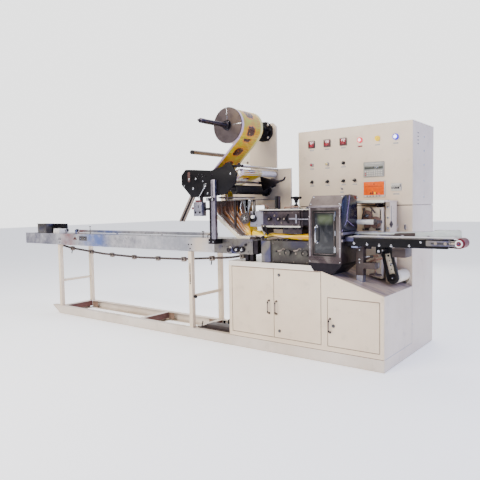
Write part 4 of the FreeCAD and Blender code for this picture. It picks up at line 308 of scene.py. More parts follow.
def make_materials():
    cream, cream_shade = rgb(229, 211, 186), rgb(215, 195, 169)
    brown = rgb(120, 92, 72)
    return {
        "cream_paint": paint("cream_paint", cream, cream_shade, worn=rgb(150, 130, 112)),
        "cream_arm": paint("cream_arm", rgb(238, 228, 206), rgb(220, 206, 178), worn=rgb(120, 110, 100)),
        "base_steel": paint("base_steel", rgb(222, 211, 198), rgb(202, 187, 170), rgb(104, 66, 48), 0.5,
                            rgb(112, 84, 66)),
        "primer": paint("primer", rgb(98, 58, 50), rgb(66, 44, 42), rgb(36, 28, 28), 0.75),
        "bed_plate": paint("bed_plate", rgb(230, 222, 210), rgb(214, 203, 190), brown, 0.34, rgb(170, 160, 150)),
        "chrome": metal("chrome", rgb(214, 214, 218), rgb(176, 178, 186), 0.14, dirt_and_shade=rgb(84, 76, 72), spread=0.05),
        "steel": metal("steel", rgb(176, 172, 180), rgb(116, 112, 124), 0.3, (1, 1, 0.06),
                       rgb(136, 144, 178), rgb(62, 54, 56)),
        "stainless": metal("stainless", rgb(88, 78, 79), rgb(58, 50, 53), 0.38, (0.05, 1, 1),
                           rgb(112, 104, 102), rgb(36, 30, 30), spread=0.1),
        "galvanised": galvanised(),
        "dark_steel": metal("dark_steel", rgb(90, 82, 86), rgb(54, 47, 51), 0.34, None,
                            rgb(60, 55, 72), rgb(26, 20, 22)),
        "machined": metal("machined", rgb(122, 117, 112), rgb(86, 82, 82), 0.42, (1, 1, 0.2),
                          rgb(74, 74, 100), rgb(42, 36, 36)),
        "black_steel": metal("black_steel", rgb(50, 46, 50), rgb(30, 28, 34), 0.42, None, None, rgb(16, 14, 14)),
        "disc_steel": turned_disc(),
        "brass": metal("brass", rgb(214, 176, 96), rgb(170, 132, 64), 0.3, None, None, rgb(80, 60, 40)),
        "black_paint": paint("black_paint", rgb(15, 13, 18), rgb(9, 8, 12), rgb(42, 32, 32), 0.42,
                             rgb(84, 78, 76), specular=0.14),
        "gloss_black": moulded("gloss_black", rgb(20, 17, 40), rgb(9, 8, 16), 0.2, 0.12, dust=0.04, specular=0.25),
        "black_rubber": moulded("black_rubber", rgb(24, 22, 23), rgb(14, 13, 14), 0.62, dust=0.12, specular=0.25),
        "panel_dark": moulded("panel_dark", rgb(34, 32, 34), rgb(24, 22, 24), 0.4),
        "panel_plastic": moulded("panel_plastic", rgb(150, 150, 142), rgb(132, 132, 126), 0.45),
        "bezel": moulded("bezel", rgb(206, 202, 190), rgb(188, 184, 172), 0.45),
        "white_plastic": moulded("white_plastic", rgb(232, 230, 226), rgb(216, 212, 208), 0.4),
        "maroon": moulded("maroon", rgb(128, 16, 38), rgb(96, 10, 30), 0.5, dust=0.12, specular=0.2),
        "belt_grey": moulded("belt_grey", rgb(214, 214, 208), rgb(188, 190, 184), 0.42, grain=1500),
        "dark_red": moulded("dark_red", rgb(128, 14, 30), rgb(64, 8, 18), 0.25, 0.3, glow=0.3, dust=0.05),
        "red_lamp": moulded("red_lamp", rgb(240, 44, 74), rgb(216, 24, 52), 0.2, 0.3, glow=0.8, dust=0),
        "pale_lamp": moulded("pale_lamp", rgb(255, 236, 236), rgb(255, 220, 224), 0.2, 0.5, glow=1.1, dust=0),
        "yellow_lamp": moulded("yellow_lamp", rgb(238, 202, 0), rgb(220, 176, 0), 0.2, 0.3, glow=0.45, dust=0),
        "blue_lamp": moulded("blue_lamp", rgb(40, 8, 190), rgb(52, 12, 210), 0.2, 0.2, glow=0.8, dust=0),
        "white_glow": moulded("white_glow", rgb(236, 238, 255), rgb(222, 226, 255), 0.2, 0.5, glow=3.2, dust=0),
        "amber_button": moulded("amber_button", rgb(228, 206, 134), rgb(210, 184, 104), 0.3, 0.4, dust=0.1),
        "red_button": moulded("red_button", rgb(176, 60, 70), rgb(150, 44, 56), 0.3, 0.4, dust=0.1),
        "orange_screen": moulded("orange_screen", rgb(220, 92, 0), rgb(204, 72, 0), 0.35, glow=0.26, dust=0, specular=0.15),
        "lcd": moulded("lcd", rgb(66, 70, 62), rgb(48, 52, 46), 0.3, 0.1, dust=0.05),
        "screen_ink": moulded("screen_ink", rgb(34, 12, 12), rgb(22, 8, 8), 0.4, dust=0),
        "lid_steel": metal("lid_steel", rgb(142, 130, 124), rgb(112, 100, 98), 0.5, (0.05, 1, 1), None,
                           rgb(74, 64, 60)),
        "oiled_plate": oiled_plate(),
        "pale_green": paint("pale_green", rgb(224, 228, 212), rgb(206, 210, 192), rough=0.3),
        # Pale lavender for painted highlight lines on the hood's glossy side cover.
        "lavender_highlight": moulded("lavender_highlight", rgb(150, 132, 166), rgb(120, 92, 130), 0.4, 0.1, dust=0.05),
        "satin": metal("satin", rgb(158, 146, 136), rgb(112, 100, 94), 0.36, dirt_and_shade=rgb(62, 52, 48), spread=0.05),
        "maroon_steel": paint("maroon_steel", rgb(112, 40, 48), rgb(70, 34, 38), rgb(40, 30, 30), 0.5),
        "mast_steel": metal("mast_steel", rgb(146, 140, 154), rgb(104, 98, 114), 0.42, (1, 1, 0.06),
                            rgb(176, 172, 184), rgb(70, 60, 66)),
        "blue_steel": metal("blue_steel", rgb(154, 154, 166), rgb(122, 120, 134), 0.45, None, None,
                            rgb(84, 78, 84)),
        "tan_paint": paint("tan_paint", rgb(232, 216, 188), rgb(212, 190, 158), rgb(84, 60, 44), 0.5,
                           rgb(92, 70, 54)),
        "top_sheet": slope_paint(cream, cream_shade),
        "seam_brown": moulded("seam_brown", rgb(132, 106, 88), rgb(112, 88, 72), 0.6, dust=0.1),
        "pale_metal": metal("pale_metal", rgb(146, 138, 142), rgb(104, 96, 102), 0.42, dirt_and_shade=rgb(90, 80, 84)),
        "brass_dark": paint("brass_dark", rgb(142, 104, 84), rgb(98, 68, 58), rgb(44, 30, 28), 0.5, rgb(190, 166, 140)),
        "seal_dark": paint("seal_dark", rgb(66, 50, 46), rgb(44, 32, 32), rgb(24, 18, 18), 0.5, rgb(120, 104, 92)),
        "seam": moulded("seam", rgb(78, 66, 62), rgb(58, 50, 48), 0.6),
        "label_grey": moulded("label_grey", rgb(176, 172, 170), rgb(150, 146, 146), 0.5),
        "discharge_belt_mat": belt_cover(),
        "film_roll": film_material("film_roll_print", uv_lengths),
        "film_web": film_material("film_web_print", uv_lengths),
        "film_side": wound_side(),
        "film": folded_film(),
        "dark_glass": dark_glass(),
        "clear_guard": clear_guard(),
        "floor": floor_finish(),
    }


def wound_side():
    """Edge of the wound film: very fine rings round the roll's axis."""
    n = Nodes("film_side")
    place = n.node("ShaderNodeUVMap", uv_map="film").outputs[0]
    radius = n.node("ShaderNodeSeparateXYZ", {0: place}).outputs[0]
    rings = n.node("ShaderNodeTexNoise", {"Vector": place, "Scale": 900.0, "Detail": 2.0}).outputs["Fac"]
    band = n.math("FRACT", n.math("MULTIPLY", radius, 160))
    tone = n.mix(n.span(rings, 0.3, 0.7), rgb(226, 208, 176), rgb(190, 160, 110))
    tone = n.mix(n.math("MULTIPLY", band, 0.3), tone, rgb(150, 112, 64))
    return n.use(Base_Color=tone, Roughness=0.5, Normal=n.bump(rings, 0.4, 0.4 * MM))


def belt_cover():
    """Maroon belt whose top run is pale with a painted reflection, in blotches."""
    n = Nodes("discharge_belt_mat")
    parts = n.node("ShaderNodeSeparateXYZ", {0: n.space})
    # Pale blotches over the belt up to the far roller: painted reflection.
    pale = n.span(parts.outputs[0], RIGHT + 0.47, RIGHT + 0.43)
    glare_blotches = n.math("MULTIPLY", pale, n.span(n.noise(14, 5), 0.3, 0.5, 0.75, 1))
    tone = n.mix(n.noise(30, 5), rgb(108, 4, 26), rgb(84, 4, 22))
    tone = n.mix(glare_blotches, tone, rgb(214, 208, 204))
    return n.use(Base_Color=tone, Roughness=0.5, Normal=n.bump(n.noise(1400, 2), 0.2, 0.2 * MM))


def folded_film():
    """Gathered film: amber and brown pleats in the folding box, with painted highlights on the pleats and painted
    shadow towards its top, then bright yellow over a whitish lower half.
    """
    n = Nodes("film_folded")
    spot = n.node("ShaderNodeUVMap", uv_map="film").outputs[0]
    along = n.node("ShaderNodeMapping", {0: spot, "Scale": (1.6, 15, 1)}).outputs[0]
    folds = n.node("ShaderNodeTexNoise", {"Vector": along, "Scale": 1.0, "Detail": 4.0, "Distortion": 0.5}).outputs[0]
    parts = n.node("ShaderNodeSeparateXYZ", {0: n.space})
    x, z = parts.outputs[0], parts.outputs[2]
    patches = n.span(n.noise(9, 3, 0.5, stretch=(0.7, 1, 2.2)), 0.42, 0.52)
    upper = n.math("MAXIMUM", n.span(z, 0.938, 0.95), patches)
    upper = n.math("MAXIMUM", upper, n.span(x, RIGHT - 0.72, RIGHT - 0.68))
    bright = n.mix(n.span(folds, 0.4, 0.62), rgb(248, 210, 10), rgb(206, 136, 16))
    pale = n.mix(n.span(folds, 0.42, 0.6), rgb(236, 220, 208), rgb(210, 168, 170))
    tube = n.mix(upper, pale, bright)
    amber = n.mix(n.span(folds, 0.34, 0.52), rgb(186, 112, 8), rgb(56, 26, 14))
    # Painted highlights on the fold crests.
    amber = n.mix(n.span(folds, 0.63, 0.7), amber, rgb(206, 150, 30))
    # Painted shadow: darker towards the top of the folding box.
    amber = n.mix(n.span(z, 1.1, 1.2), amber, rgb(44, 26, 20))
    tone = n.mix(n.span(x, RIGHT - 1.25, RIGHT - 1.19), amber, tube)
    return n.use(Base_Color=tone, Roughness=n.span(folds, 0.3, 0.7, 0.16, 0.34), Coat_Weight=0.25,
                 Normal=n.bump(folds, 0.8, 5 * MM))


def turned_disc():
    """Dark turned steel with a painted reflection: lighter wedges that fan out from the shaft, brightest towards the
    right.
    """
    n = Nodes("disc_steel")
    parts = n.node("ShaderNodeSeparateXYZ", {0: n.space})
    dx = n.math("SUBTRACT", parts.outputs[0], RIGHT + REEL[0] * MM)
    dz = n.math("SUBTRACT", parts.outputs[2], REEL[1] * MM)
    angle = n.math("ARCTAN2", dz, dx)
    fan = n.node("ShaderNodeTexNoise", {"W": angle, "Scale": 2.2, "Detail": 5.0}, noise_dimensions="1D").outputs[0]
    # Painted reflection: lighter towards the right of the disc, broken into wedges.
    sweep = n.span(n.math("COSINE", n.math("SUBTRACT", angle, 0.35)), 0.1, 1.0)
    light = n.math("MULTIPLY", sweep, n.span(fan, 0.35, 0.7, 0.5, 1))
    tone = n.mix(light, rgb(74, 64, 65), rgb(82, 68, 58))
    tone = n.mix(n.math("MULTIPLY", n.span(n.noise(20, 6), 0.5, 0.7), 0.5), tone, rgb(40, 32, 34))
    return n.use(Base_Color=tone, Metallic=0.5, Roughness=0.5, Specular_IOR_Level=0.3, Normal=n.bump(fan, 0.2, 0.4 * MM, 0.9 * MM))


def galvanised():
    """Blotchy zinc with dark specks, and painted reflections in coloured patches along it: a bluish one and a reddish
    one towards the infeed end, and lilac grey, grey and cream ones.
    """
    n = Nodes("galvanised")
    x = n.node("ShaderNodeSeparateXYZ", {0: n.space}).outputs[0]
    tone = n.mix(n.span(n.noise(5, 7, 0.7), 0.36, 0.66), rgb(218, 215, 217), rgb(150, 149, 156))
    tone = n.mix(n.span(n.noise(24, 9, 0.8), 0.53, 0.66, 0, 0.75), tone, rgb(98, 92, 102))
    # Coloured patches at set places along the plate: painted reflections.
    for centre, width, colour in ((-3.2, 0.28, rgb(84, 112, 184)), (-3.68, 0.16, rgb(160, 112, 112)),
                                  (-4.25, 0.44, rgb(96, 94, 114)), (-2.05, 0.5, rgb(148, 150, 160)),
                                  (-1.7, 0.16, rgb(214, 198, 180))):
        away = n.math("ABSOLUTE", n.math("SUBTRACT", x, RIGHT + centre))
        patch = n.math("MULTIPLY", n.span(away, width, width * 0.3), n.span(n.noise(8, 4), 0.32, 0.6, 0.15, 0.85))
        tone = n.mix(patch, tone, colour)
    lines = n.noise(700, 3, 0.6, stretch=(0.1, 1, 1))
    return n.use(Base_Color=tone, Metallic=0.82, Roughness=n.span(n.noise(9, 6, 0.7), 0.3, 0.7, 0.28, 0.5),
                 Normal=n.bump(lines, 0.1, 0.3 * MM, 0.9 * MM))


def oiled_plate():
    """Greenish grey machined plate with a dark blue stain below the film."""
    n = Nodes("oiled_plate")
    parts = n.node("ShaderNodeSeparateXYZ", {0: n.space})
    tone = n.mix(n.span(n.noise(12, 6, 0.65), 0.35, 0.68), rgb(84, 81, 74), rgb(50, 46, 46))
    low = n.span(parts.outputs[2], 0.8, 0.75, 0, 0.6)
    tone = n.mix(low, tone, rgb(52, 45, 46))
    away = n.math("ABSOLUTE", n.math("SUBTRACT", parts.outputs[0], RIGHT - 0.7))
    stain = n.math("MULTIPLY", n.span(away, 0.15, 0.05), n.span(parts.outputs[2], 0.82, 0.87))
    stain = n.math("MULTIPLY", stain, n.span(n.noise(16, 5), 0.3, 0.55, 0.3, 0.9))
    tone = n.mix(stain, tone, rgb(50, 48, 66))
    return n.use(Base_Color=tone, Metallic=0.6, Roughness=0.5, Normal=n.bump(n.noise(400, 3), 0.1, 0.3 * MM, 0.9 * MM))


def slope_paint(colour, shade):
    """The cabinet's top sheet: clean over the doors, brown and purple stained where it slopes to the discharge."""
    n = Nodes("top_sheet")
    x = n.node("ShaderNodeSeparateXYZ", {0: n.space}).outputs[0]
    tone = n.mix(n.span(n.noise(2.3), 0.35, 0.7), colour, shade)
    streaks = n.noise(7, 5, 0.6, stretch=(0.5, 2.4, 1), distort=0.5)
    stain = n.mix(n.span(streaks, 0.4, 0.6), rgb(120, 98, 102), rgb(164, 140, 124))
    stain = n.mix(n.span(n.noise(11, 4), 0.6, 0.7), stain, rgb(168, 118, 80))
    cover = n.math("MULTIPLY", n.span(x, RIGHT - 0.52, RIGHT - 0.44), n.span(streaks, 0.62, 0.3, 0.55, 0.95))
    tone = n.mix(cover, tone, stain)
    return n.use(Base_Color=tone, Roughness=0.42, Normal=n.bump(n.noise(260, 2), 0.06, 0.6 * MM, 1.2 * MM))


def dark_glass():
    """Smoked pane with wiped dust and a painted greenish reflection of an arch in its upper middle."""
    n = Nodes("dark_glass")
    dust = n.span(n.noise(7, 6, 0.65, distort=1.2), 0.48, 0.75, 0.0, 0.45)
    z = n.node("ShaderNodeSeparateXYZ", {0: n.space}).outputs[2]
    x = n.node("ShaderNodeSeparateXYZ", {0: n.space}).outputs[0]
    away = n.math("ABSOLUTE", n.math("SUBTRACT", x, RIGHT - 0.455))
    # Painted reflection: a greenish arch in the upper middle of the pane.
    arch = n.math("MULTIPLY", n.span(z, 1.03, 1.07), n.span(away, 0.075, 0.045))
    smoke_and_arch_reflection = n.mix(n.math("MULTIPLY", arch, n.span(z, 1.125, 1.095)), rgb(26, 27, 32), rgb(76, 84, 64))
    tone = n.mix(dust, smoke_and_arch_reflection, rgb(104, 106, 108))
    return n.use(Base_Color=tone, Roughness=n.span(dust, 0, 0.45, 0.12, 0.35), Specular_IOR_Level=0.35,
                 Normal=n.bump(n.noise(3, 2), 0.05, 2 * MM))


def clear_guard():
    """Pale greenish acrylic guard with scuffs."""
    n = Nodes("clear_guard")
    scuffs = n.noise(60, 6, 0.7, stretch=(0.15, 1, 1))
    tone = n.mix(n.span(scuffs, 0.4, 0.7), rgb(222, 230, 224), rgb(188, 196, 190))
    return n.use(Base_Color=tone, Roughness=n.span(scuffs, 0.3, 0.7, 0.12, 0.35), Alpha=0.62,
                 Normal=n.bump(scuffs, 0.1, 0.3 * MM))


def floor_finish():
    n = Nodes("floor")
    tone = n.mix(n.noise(1.2, 5), (0.93, 0.93, 0.93, 1), (0.9, 0.9, 0.905, 1))
    return n.use(Base_Color=tone, Roughness=0.9, Emission_Color=(1, 1, 1, 1), Emission_Strength=0.68)


# Mesh building

def rounded(points, radius, steps=4):
    """Outline with its corners rounded."""
    result = []
    count = len(points)
    for i, corner in enumerate(points):
        p = Vector(corner)
        before, after = Vector(points[i - 1]), Vector(points[(i + 1) % count])
        reach = min(radius, (before - p).length / 2.05, (after - p).length / 2.05)
        start = p + (before - p).normalized() * reach
        end = p + (after - p).normalized() * reach
        for step in range(steps + 1):
            t = step / steps
            result.append(start * (1 - t) ** 2 + p * 2 * t * (1 - t) + end * t ** 2)
    return result


def circle(x, z, radius, count=24, start=0.0):
    return [Vector((x + radius * math.cos(start + math.tau * i / count),
                    z + radius * math.sin(start + math.tau * i / count))) for i in range(count)]


class Shape:
    """One mesh under construction."""

    def __init__(self):
        self.bm = bmesh.new()

    def _soften(self, faces, width):
        """Bevels the sharp edges of the new faces."""
        if width <= 0:
            return
        sharp = [e for e in {e for f in faces for e in f.edges}
                 if len(e.link_faces) == 2 and e.calc_face_angle(0) > 0.5]
        bmesh.ops.bevel(self.bm, geom=sharp, offset=width * MM, segments=2, profile=0.6, affect="EDGES",
                        clamp_overlap=True, material=-1)

    def box(self, x, y, z, soft=1.0, mat=0, turn=None):
        """Block between two places on each axis; turn is (angle, axis) about its middle."""
        middle = at((x[0] + x[1]) / 2, (y[0] + y[1]) / 2, (z[0] + z[1]) / 2)
        size = Vector((abs(x[1] - x[0]), abs(y[1] - y[0]), abs(z[1] - z[0]))) * MM
        matrix = Matrix.Translation(middle)
        if turn:
            matrix = matrix @ Matrix.Rotation(turn[0], 4, AXES[turn[1]])
        made = bmesh.ops.create_cube(self.bm, size=1, matrix=matrix @ Matrix.Diagonal((*size, 1)))
        faces = list({f for v in made["verts"] for f in v.link_faces})
        for face in faces:
            face.material_index = mat
        self._soften(faces, min(soft, min(size) / MM * 0.3))
        return self

    def turned(self, place, axis, profile, count=32, mat=0, squash=None):
        """Body of revolution; profile is (along, radius) in mm from place, along an axis name or vector."""
        along = AXES[axis] if isinstance(axis, str) else Vector(axis).normalized()
        side = along.orthogonal().normalized()
        if isinstance(axis, str) and axis == "y":
            side = AXES["z"]
        other = along.cross(side)
        start = at(*place)
        rings = []
        for distance, radius in profile:
            ring = []
            for i in range(count):
                angle = math.tau * (i + 0.5) / count
                reach = radius * (squash(angle, distance) if squash else 1)
                arm = side * math.cos(angle) + other * math.sin(angle)
                ring.append(self.bm.verts.new(start + along * distance * MM + arm * reach * MM))
            rings.append(ring)
        for low, high in zip(rings, rings[1:]):
            for i in range(count):
                j = (i + 1) % count
                self.bm.faces.new((low[i], low[j], high[j], high[i])).material_index = mat
        self.bm.faces.new(rings[0][::-1]).material_index = mat
        self.bm.faces.new(rings[-1]).material_index = mat
        return self

    def prism(self, outline, axis, low, high, soft=0.8, mat=0):
        """Plate with a closed outline; the outline's pair is (x, z) for y, (y, z) for x, (x, y) for z."""
        def spot(p, level):
            a, b = p[0], p[1]
            return {"y": at(a, level, b), "x": at(level, a, b), "z": at(a, b, level)}[axis]
        bottom = [self.bm.verts.new(spot(p, low)) for p in outline]
        top = [self.bm.verts.new(spot(p, high)) for p in outline]
        count = len(outline)
        faces = [self.bm.faces.new(bottom), self.bm.faces.new(top[::-1])]
        for i in range(count):
            j = (i + 1) % count
            faces.append(self.bm.faces.new((bottom[j], bottom[i], top[i], top[j])))
        for face in faces:
            face.material_index = mat
        bmesh.ops.recalc_face_normals(self.bm, faces=faces)
        self._soften(faces, soft)
        return self

    def framed(self, outline, inner, axis, low, high, mat=0):
        """Frame between two outlines of the same number of points."""
        def spot(p, level):
            a, b = p[0], p[1]
            return {"y": at(a, level, b), "x": at(level, a, b), "z": at(a, b, level)}[axis]
        loops = [[self.bm.verts.new(spot(p, level)) for p in line]
                 for line, level in ((outline, low), (outline, high), (inner, high), (inner, low))]
        faces = []
        count = len(outline)
        for k in range(4):
            first, second = loops[k], loops[(k + 1) % 4]
            for i in range(count):
                j = (i + 1) % count
                faces.append(self.bm.faces.new((first[i], first[j], second[j], second[i])))
        for face in faces:
            face.material_index = mat
        bmesh.ops.recalc_face_normals(self.bm, faces=faces)
        return self

    def bar(self, places, radius, count=12, mat=0, closed=False, bend=0.0, flat=None):
        """Round bar through places in mm, with bent corners; flat squashes it along one direction."""
        points = [at(*p) for p in places]
        if bend:
            path = [points[0]]
            for before, corner, after in zip(points, points[1:], points[2:]):
                reach = min(bend * MM, (before - corner).length * 0.49, (after - corner).length * 0.49)
                start = corner + (before - corner).normalized() * reach
                end = corner + (after - corner).normalized() * reach
                path += [start * (1 - t) ** 2 + corner * 2 * t * (1 - t) + end * t ** 2
                         for t in (0, 0.25, 0.5, 0.75, 1)]
            points = path + [points[-1]]
        rings = []
        total = len(points)
        side = None
        for i, p in enumerate(points):
            ahead = points[(i + 1) % total] if closed or i < total - 1 else p
            behind = points[i - 1] if closed or i > 0 else p
            run = (ahead - behind).normalized()
            side = run.orthogonal().normalized() if side is None else (side - run * side.dot(run)).normalized()
            other = run.cross(side)
            ring = []
            for k in range(count):
                angle = math.tau * k / count
                offset = (side * math.cos(angle) + other * math.sin(angle)) * radius * MM
                if flat:
                    offset -= flat[0] * offset.dot(flat[0]) * (1 - flat[1])
                ring.append(self.bm.verts.new(p + offset))
            rings.append(ring)
        pairs = list(zip(rings, rings[1:])) + ([(rings[-1], rings[0])] if closed else [])
        for low, high in pairs:
            for i in range(count):
                j = (i + 1) % count
                self.bm.faces.new((low[i], low[j], high[j], high[i])).material_index = mat
        if not closed:
            self.bm.faces.new(rings[0][::-1]).material_index = mat
            self.bm.faces.new(rings[-1]).material_index = mat
        return self

    def bolt(self, place, axis, radius=6.0, sign=1, mat=0, washer=True):
        """Hexagon head with a washer, standing along the axis."""
        direction = AXES[axis] * sign
        if washer:
            self.turned(place, direction, [(0, radius * 1.5), (1.2, radius * 1.5), (1.5, radius * 1.3)], 16, mat)
        self.turned(place, direction, [(0, radius), (radius * 0.62, radius), (radius * 0.8, radius * 0.82)], 6, mat)
        return self

    def socket(self, place, axis, radius=5.0, sign=1, mat=0, dark=None):
        """Cap screw with a hexagon socket."""
        direction = AXES[axis] * sign
        self.turned(place, direction, [(0, radius), (radius * 0.8, radius), (radius, radius * 0.86)], 18, mat)
        hole = at(*place) + direction * radius * MM
        back = (hole.x - RIGHT) / MM, (hole.y - FRONT) / MM, hole.z / MM
        self.turned(back, direction, [(-0.2, radius * 0.48), (0.15, radius * 0.48)], 6, mat if dark is None else dark)
        return self

    def thing(self, name, *materials, smooth=33):
        mesh = bpy.data.meshes.new(name)
        bmesh.ops.remove_doubles(self.bm, verts=self.bm.verts, dist=1e-6)
        bmesh.ops.recalc_face_normals(self.bm, faces=self.bm.faces)
        self.bm.to_mesh(mesh)
        self.bm.free()
        for material in materials:
            mesh.materials.append(material)
        mesh.shade_smooth()
        mesh.set_sharp_from_angle(angle=math.radians(smooth))
        made = bpy.data.objects.new(name, mesh)
        bpy.context.collection.objects.link(made)
        return made

    def piece(self, name, slots, body="frame", replaces=(), smooth=33):
        """Finished piece that rides on a body, with its finishes in its slots in the order given."""
        names = slots if isinstance(slots, (list, tuple)) else [slots]
        made = self.thing(name, *[MATERIALS[s] for s in names], smooth=smooth)
        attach(made, body)
        if replaces:
            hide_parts(*([replaces] if isinstance(replaces, str) else replaces))
        return made


MATERIALS = make_materials()
# The former gets the dark seal_dark finish in place of steel: painted shade standing in for the dark shadows in the
# film round it.
KEPT_FINISH = {"cabinet_top": "top_sheet", "infeed_frame": "galvanised", "infeed_deck": "galvanised", "infeed_drive": "machined",
               "hood_front": "stainless", "window_door": "stainless", "hood_walls": "stainless",
               "fin_seal_lower": "oiled_plate", "fin_seal_upper": "dark_steel", "hood_base": "black_steel",
               "former": "seal_dark"}


def dress_nodes():
    """Every CAD node gets the finish of its slot, or the one KEPT_FINISH gives it."""
    for part in frame["record"]["subparts"]:
        node = frame["nodes"][part["node"]]
        finish = MATERIALS[KEPT_FINISH.get(part["node"], part["material_slot"])]
        for slot in node.material_slots:
            slot.material = finish
        if not node.material_slots:
            node.data.materials.append(finish)


def uv_by(made, place):
    """UV map "film" on every face corner; place gives (u, v) in metres of a point and its face's middle."""
    mesh = made.data
    layer = mesh.uv_layers.new(name="film")
    for face in mesh.polygons:
        middle = Vector(face.center)
        for index in face.loop_indices:
            layer.data[index].uv = place(mesh.vertices[mesh.loops[index].vertex_index].co, middle)


# The reel: disc, shaft, roll and bearing

ROLL_Y = (-38, 262)
PRINT_SHIFT, WEB_SHIFT = 0.026, 0.0875


def angle_about(p, centre):
    return math.atan2(p.z - centre.z, p.x - centre.x)


def film_roll():
    x, z = REEL
    y0, y1 = ROLL_Y
    profile = [(0, 22), (0, 38), (0.4, 40), (0.2, 70), (0.9, 96), (0.3, 118), (0.5, 141.8), (1.6, ROLL_RADIUS)]
    profile += [(y1 - y0 - d, r) for d, r in reversed(profile)]
    shape = Shape().turned((x, y0, z), "y", profile, 72, 0)
    shape.bm.normal_update()
    for face in shape.bm.faces:
        face.material_index = 1 if abs(face.normal.y) > 0.5 else 0
    roll = shape.piece("film_roll_printed", ["film_roll", "film_side"], "film_reel", "film_roll")
    centre = at(x, 0, z)
    low = at(0, y0, 0).y

    def place(p, middle):
        if abs(middle.y - at(0, (y0 + y1) / 2, 0).y) > 0.49 * (y1 - y0) * MM:
            return ((p - centre).xz.length, angle_about(p, centre))
        turn = angle_about(p, centre)
        around = angle_about(middle, centre)
        if turn - around > math.pi:
            turn -= math.tau
        if around - turn > math.pi:
            turn += math.tau
        return (-turn * ROLL_RADIUS * MM + PRINT_SHIFT, p.y - low)
    uv_by(roll, place)


def reel_shaft():
    x, z = REEL
    disc = Shape()
    disc.turned((x, -50, z), "y", [(0, 40), (0, 141), (1.2, 145), (3, 147), (9, 147), (11, 145.5), (12, 142),
                                   (12, 30)], 72, 0)
    for i in range(6):
        spot = math.tau * i / 6 + 0.3
        disc.turned((x + 118 * math.cos(spot), -50.6, z + 118 * math.sin(spot)), "y", [(0, 3.4), (0.8, 4.2)], 14, 1)
    for spot in (math.pi / 2 + 0.05, 0.02):
        ux, uz = math.cos(spot), math.sin(spot)
        px, pz = -uz * 2.2, ux * 2.2
        line = [(x + ux * 48 + px, z + uz * 48 + pz), (x + ux * 146 + px, z + uz * 146 + pz),
                (x + ux * 146 - px, z + uz * 146 - pz), (x + ux * 48 - px, z + uz * 48 - pz)]
        disc.prism(line, "y", -51.1, -49, 0.2, 2)
    disc.piece("reel_disc", ["disc_steel", "dark_steel", "chrome"], "film_reel")
    shaft = Shape()
    shaft.turned((x, -386, z), "y", [(0, 13), (1.5, 17), (2, 19), (26, 19), (27, 16.5), (31, 16.5), (32, 19),
                                     (46, 19), (48, 17.6), (300, 17.6), (303, 19), (874, 19)], 36, 0)
    shaft.turned((x, -410, z), "y", [(0, 5), (1.5, 8.4), (9, 8.6), (10, 6), (24, 6)], 24, 1)
    for angle in (0.2, 2.3, 4.4):
        ux, uz = math.cos(angle), math.sin(angle)
        shaft.box((x + ux * 17.6 - 2.4, x + ux * 17.6 + 2.4), (-330, -96), (z + uz * 17.6 - 2.4, z + uz * 17.6 + 2.4),
                  0.6, 2)
    collar = [(0, 24), (1.5, 31), (3, 34.5), (4, 36), (24, 36), (26, 38), (28, 43), (30, 43)]
    shaft.turned((x, -78, z), "y", collar, 40, 1)
    shaft.turned((x, 264, z), "y", [(0, 43), (2, 38), (4, 36), (22, 36), (24, 34), (25, 24)], 40, 1)
    for y in (-64, 276):
        for angle in (0.9, 3.0, 5.1):
            direction = Vector((math.cos(angle), 0, math.sin(angle)))
            spot = (x + direction.x * 35.4, y, z + direction.z * 35.4)
            shaft.turned(spot, direction, [(0, 3.6), (3, 3.6), (3.6, 3)], 12, 3)
    shaft.piece("reel_shaft_turned", ["dark_steel", "black_steel", "black_steel", "chrome"], "film_reel",
                "reel_shaft")


def reel_bearing():
    x, z = REEL
    shape = Shape()
    corners = [(x + 92 * math.cos(math.radians(22.5 + 45 * i)), z + 92 * math.sin(math.radians(22.5 + 45 * i)))
               for i in range(8)]
    shape.framed(rounded(corners, 10), circle_like(x, z, 20, 8 * 5, math.radians(11)), "y", 468, 500, 0)
    shape.turned((x, 428, z), "y", [(0, 20), (0, 46), (2, 50), (4, 52), (30, 52), (34, 56), (41, 60)], 40, 0)
    shape.turned((x, 426.6, z), "y", [(0, 21), (0, 28), (2, 30)], 30, 1)
    for i in range(4):
        spot = math.radians(45 + 90 * i)
        shape.bolt((x + 76 * math.cos(spot), 468, z + 76 * math.sin(spot)), "y", 8, -1, 2)
    shape.bolt((x + 90, 448, z + 6), "x", 7, 1, 0)
    shape.box((x + 60, x + 90), (440, 456), (z - 4, z + 16), 2, 0)
    shape.piece("reel_bearing_flanged", ["black_paint", "brass", "chrome"], "frame", "reel_bearing")


def circle_like(x, z, radius, count, start):
    return [(p.x, p.y) for p in circle(x, z, radius, count, start)]


# Film path

def right_of(direction):
    return Vector((direction.y, -direction.x))


def tangent(first, second):
    """Line that leaves one circle and meets the next; a circle is (x, z, radius, turn)."""
    centre1, centre2 = Vector(first[:2]), Vector(second[:2])
    span = centre2 - centre1
    turned = math.asin((second[3] * second[2] - first[3] * first[2]) / span.length)
    heading = math.atan2(span.y, span.x) - turned
    direction = Vector((math.cos(heading), math.sin(heading)))
    side = right_of(direction)
    return (centre1 + side * first[2] * first[3], centre2 + side * second[2] * second[3], direction)


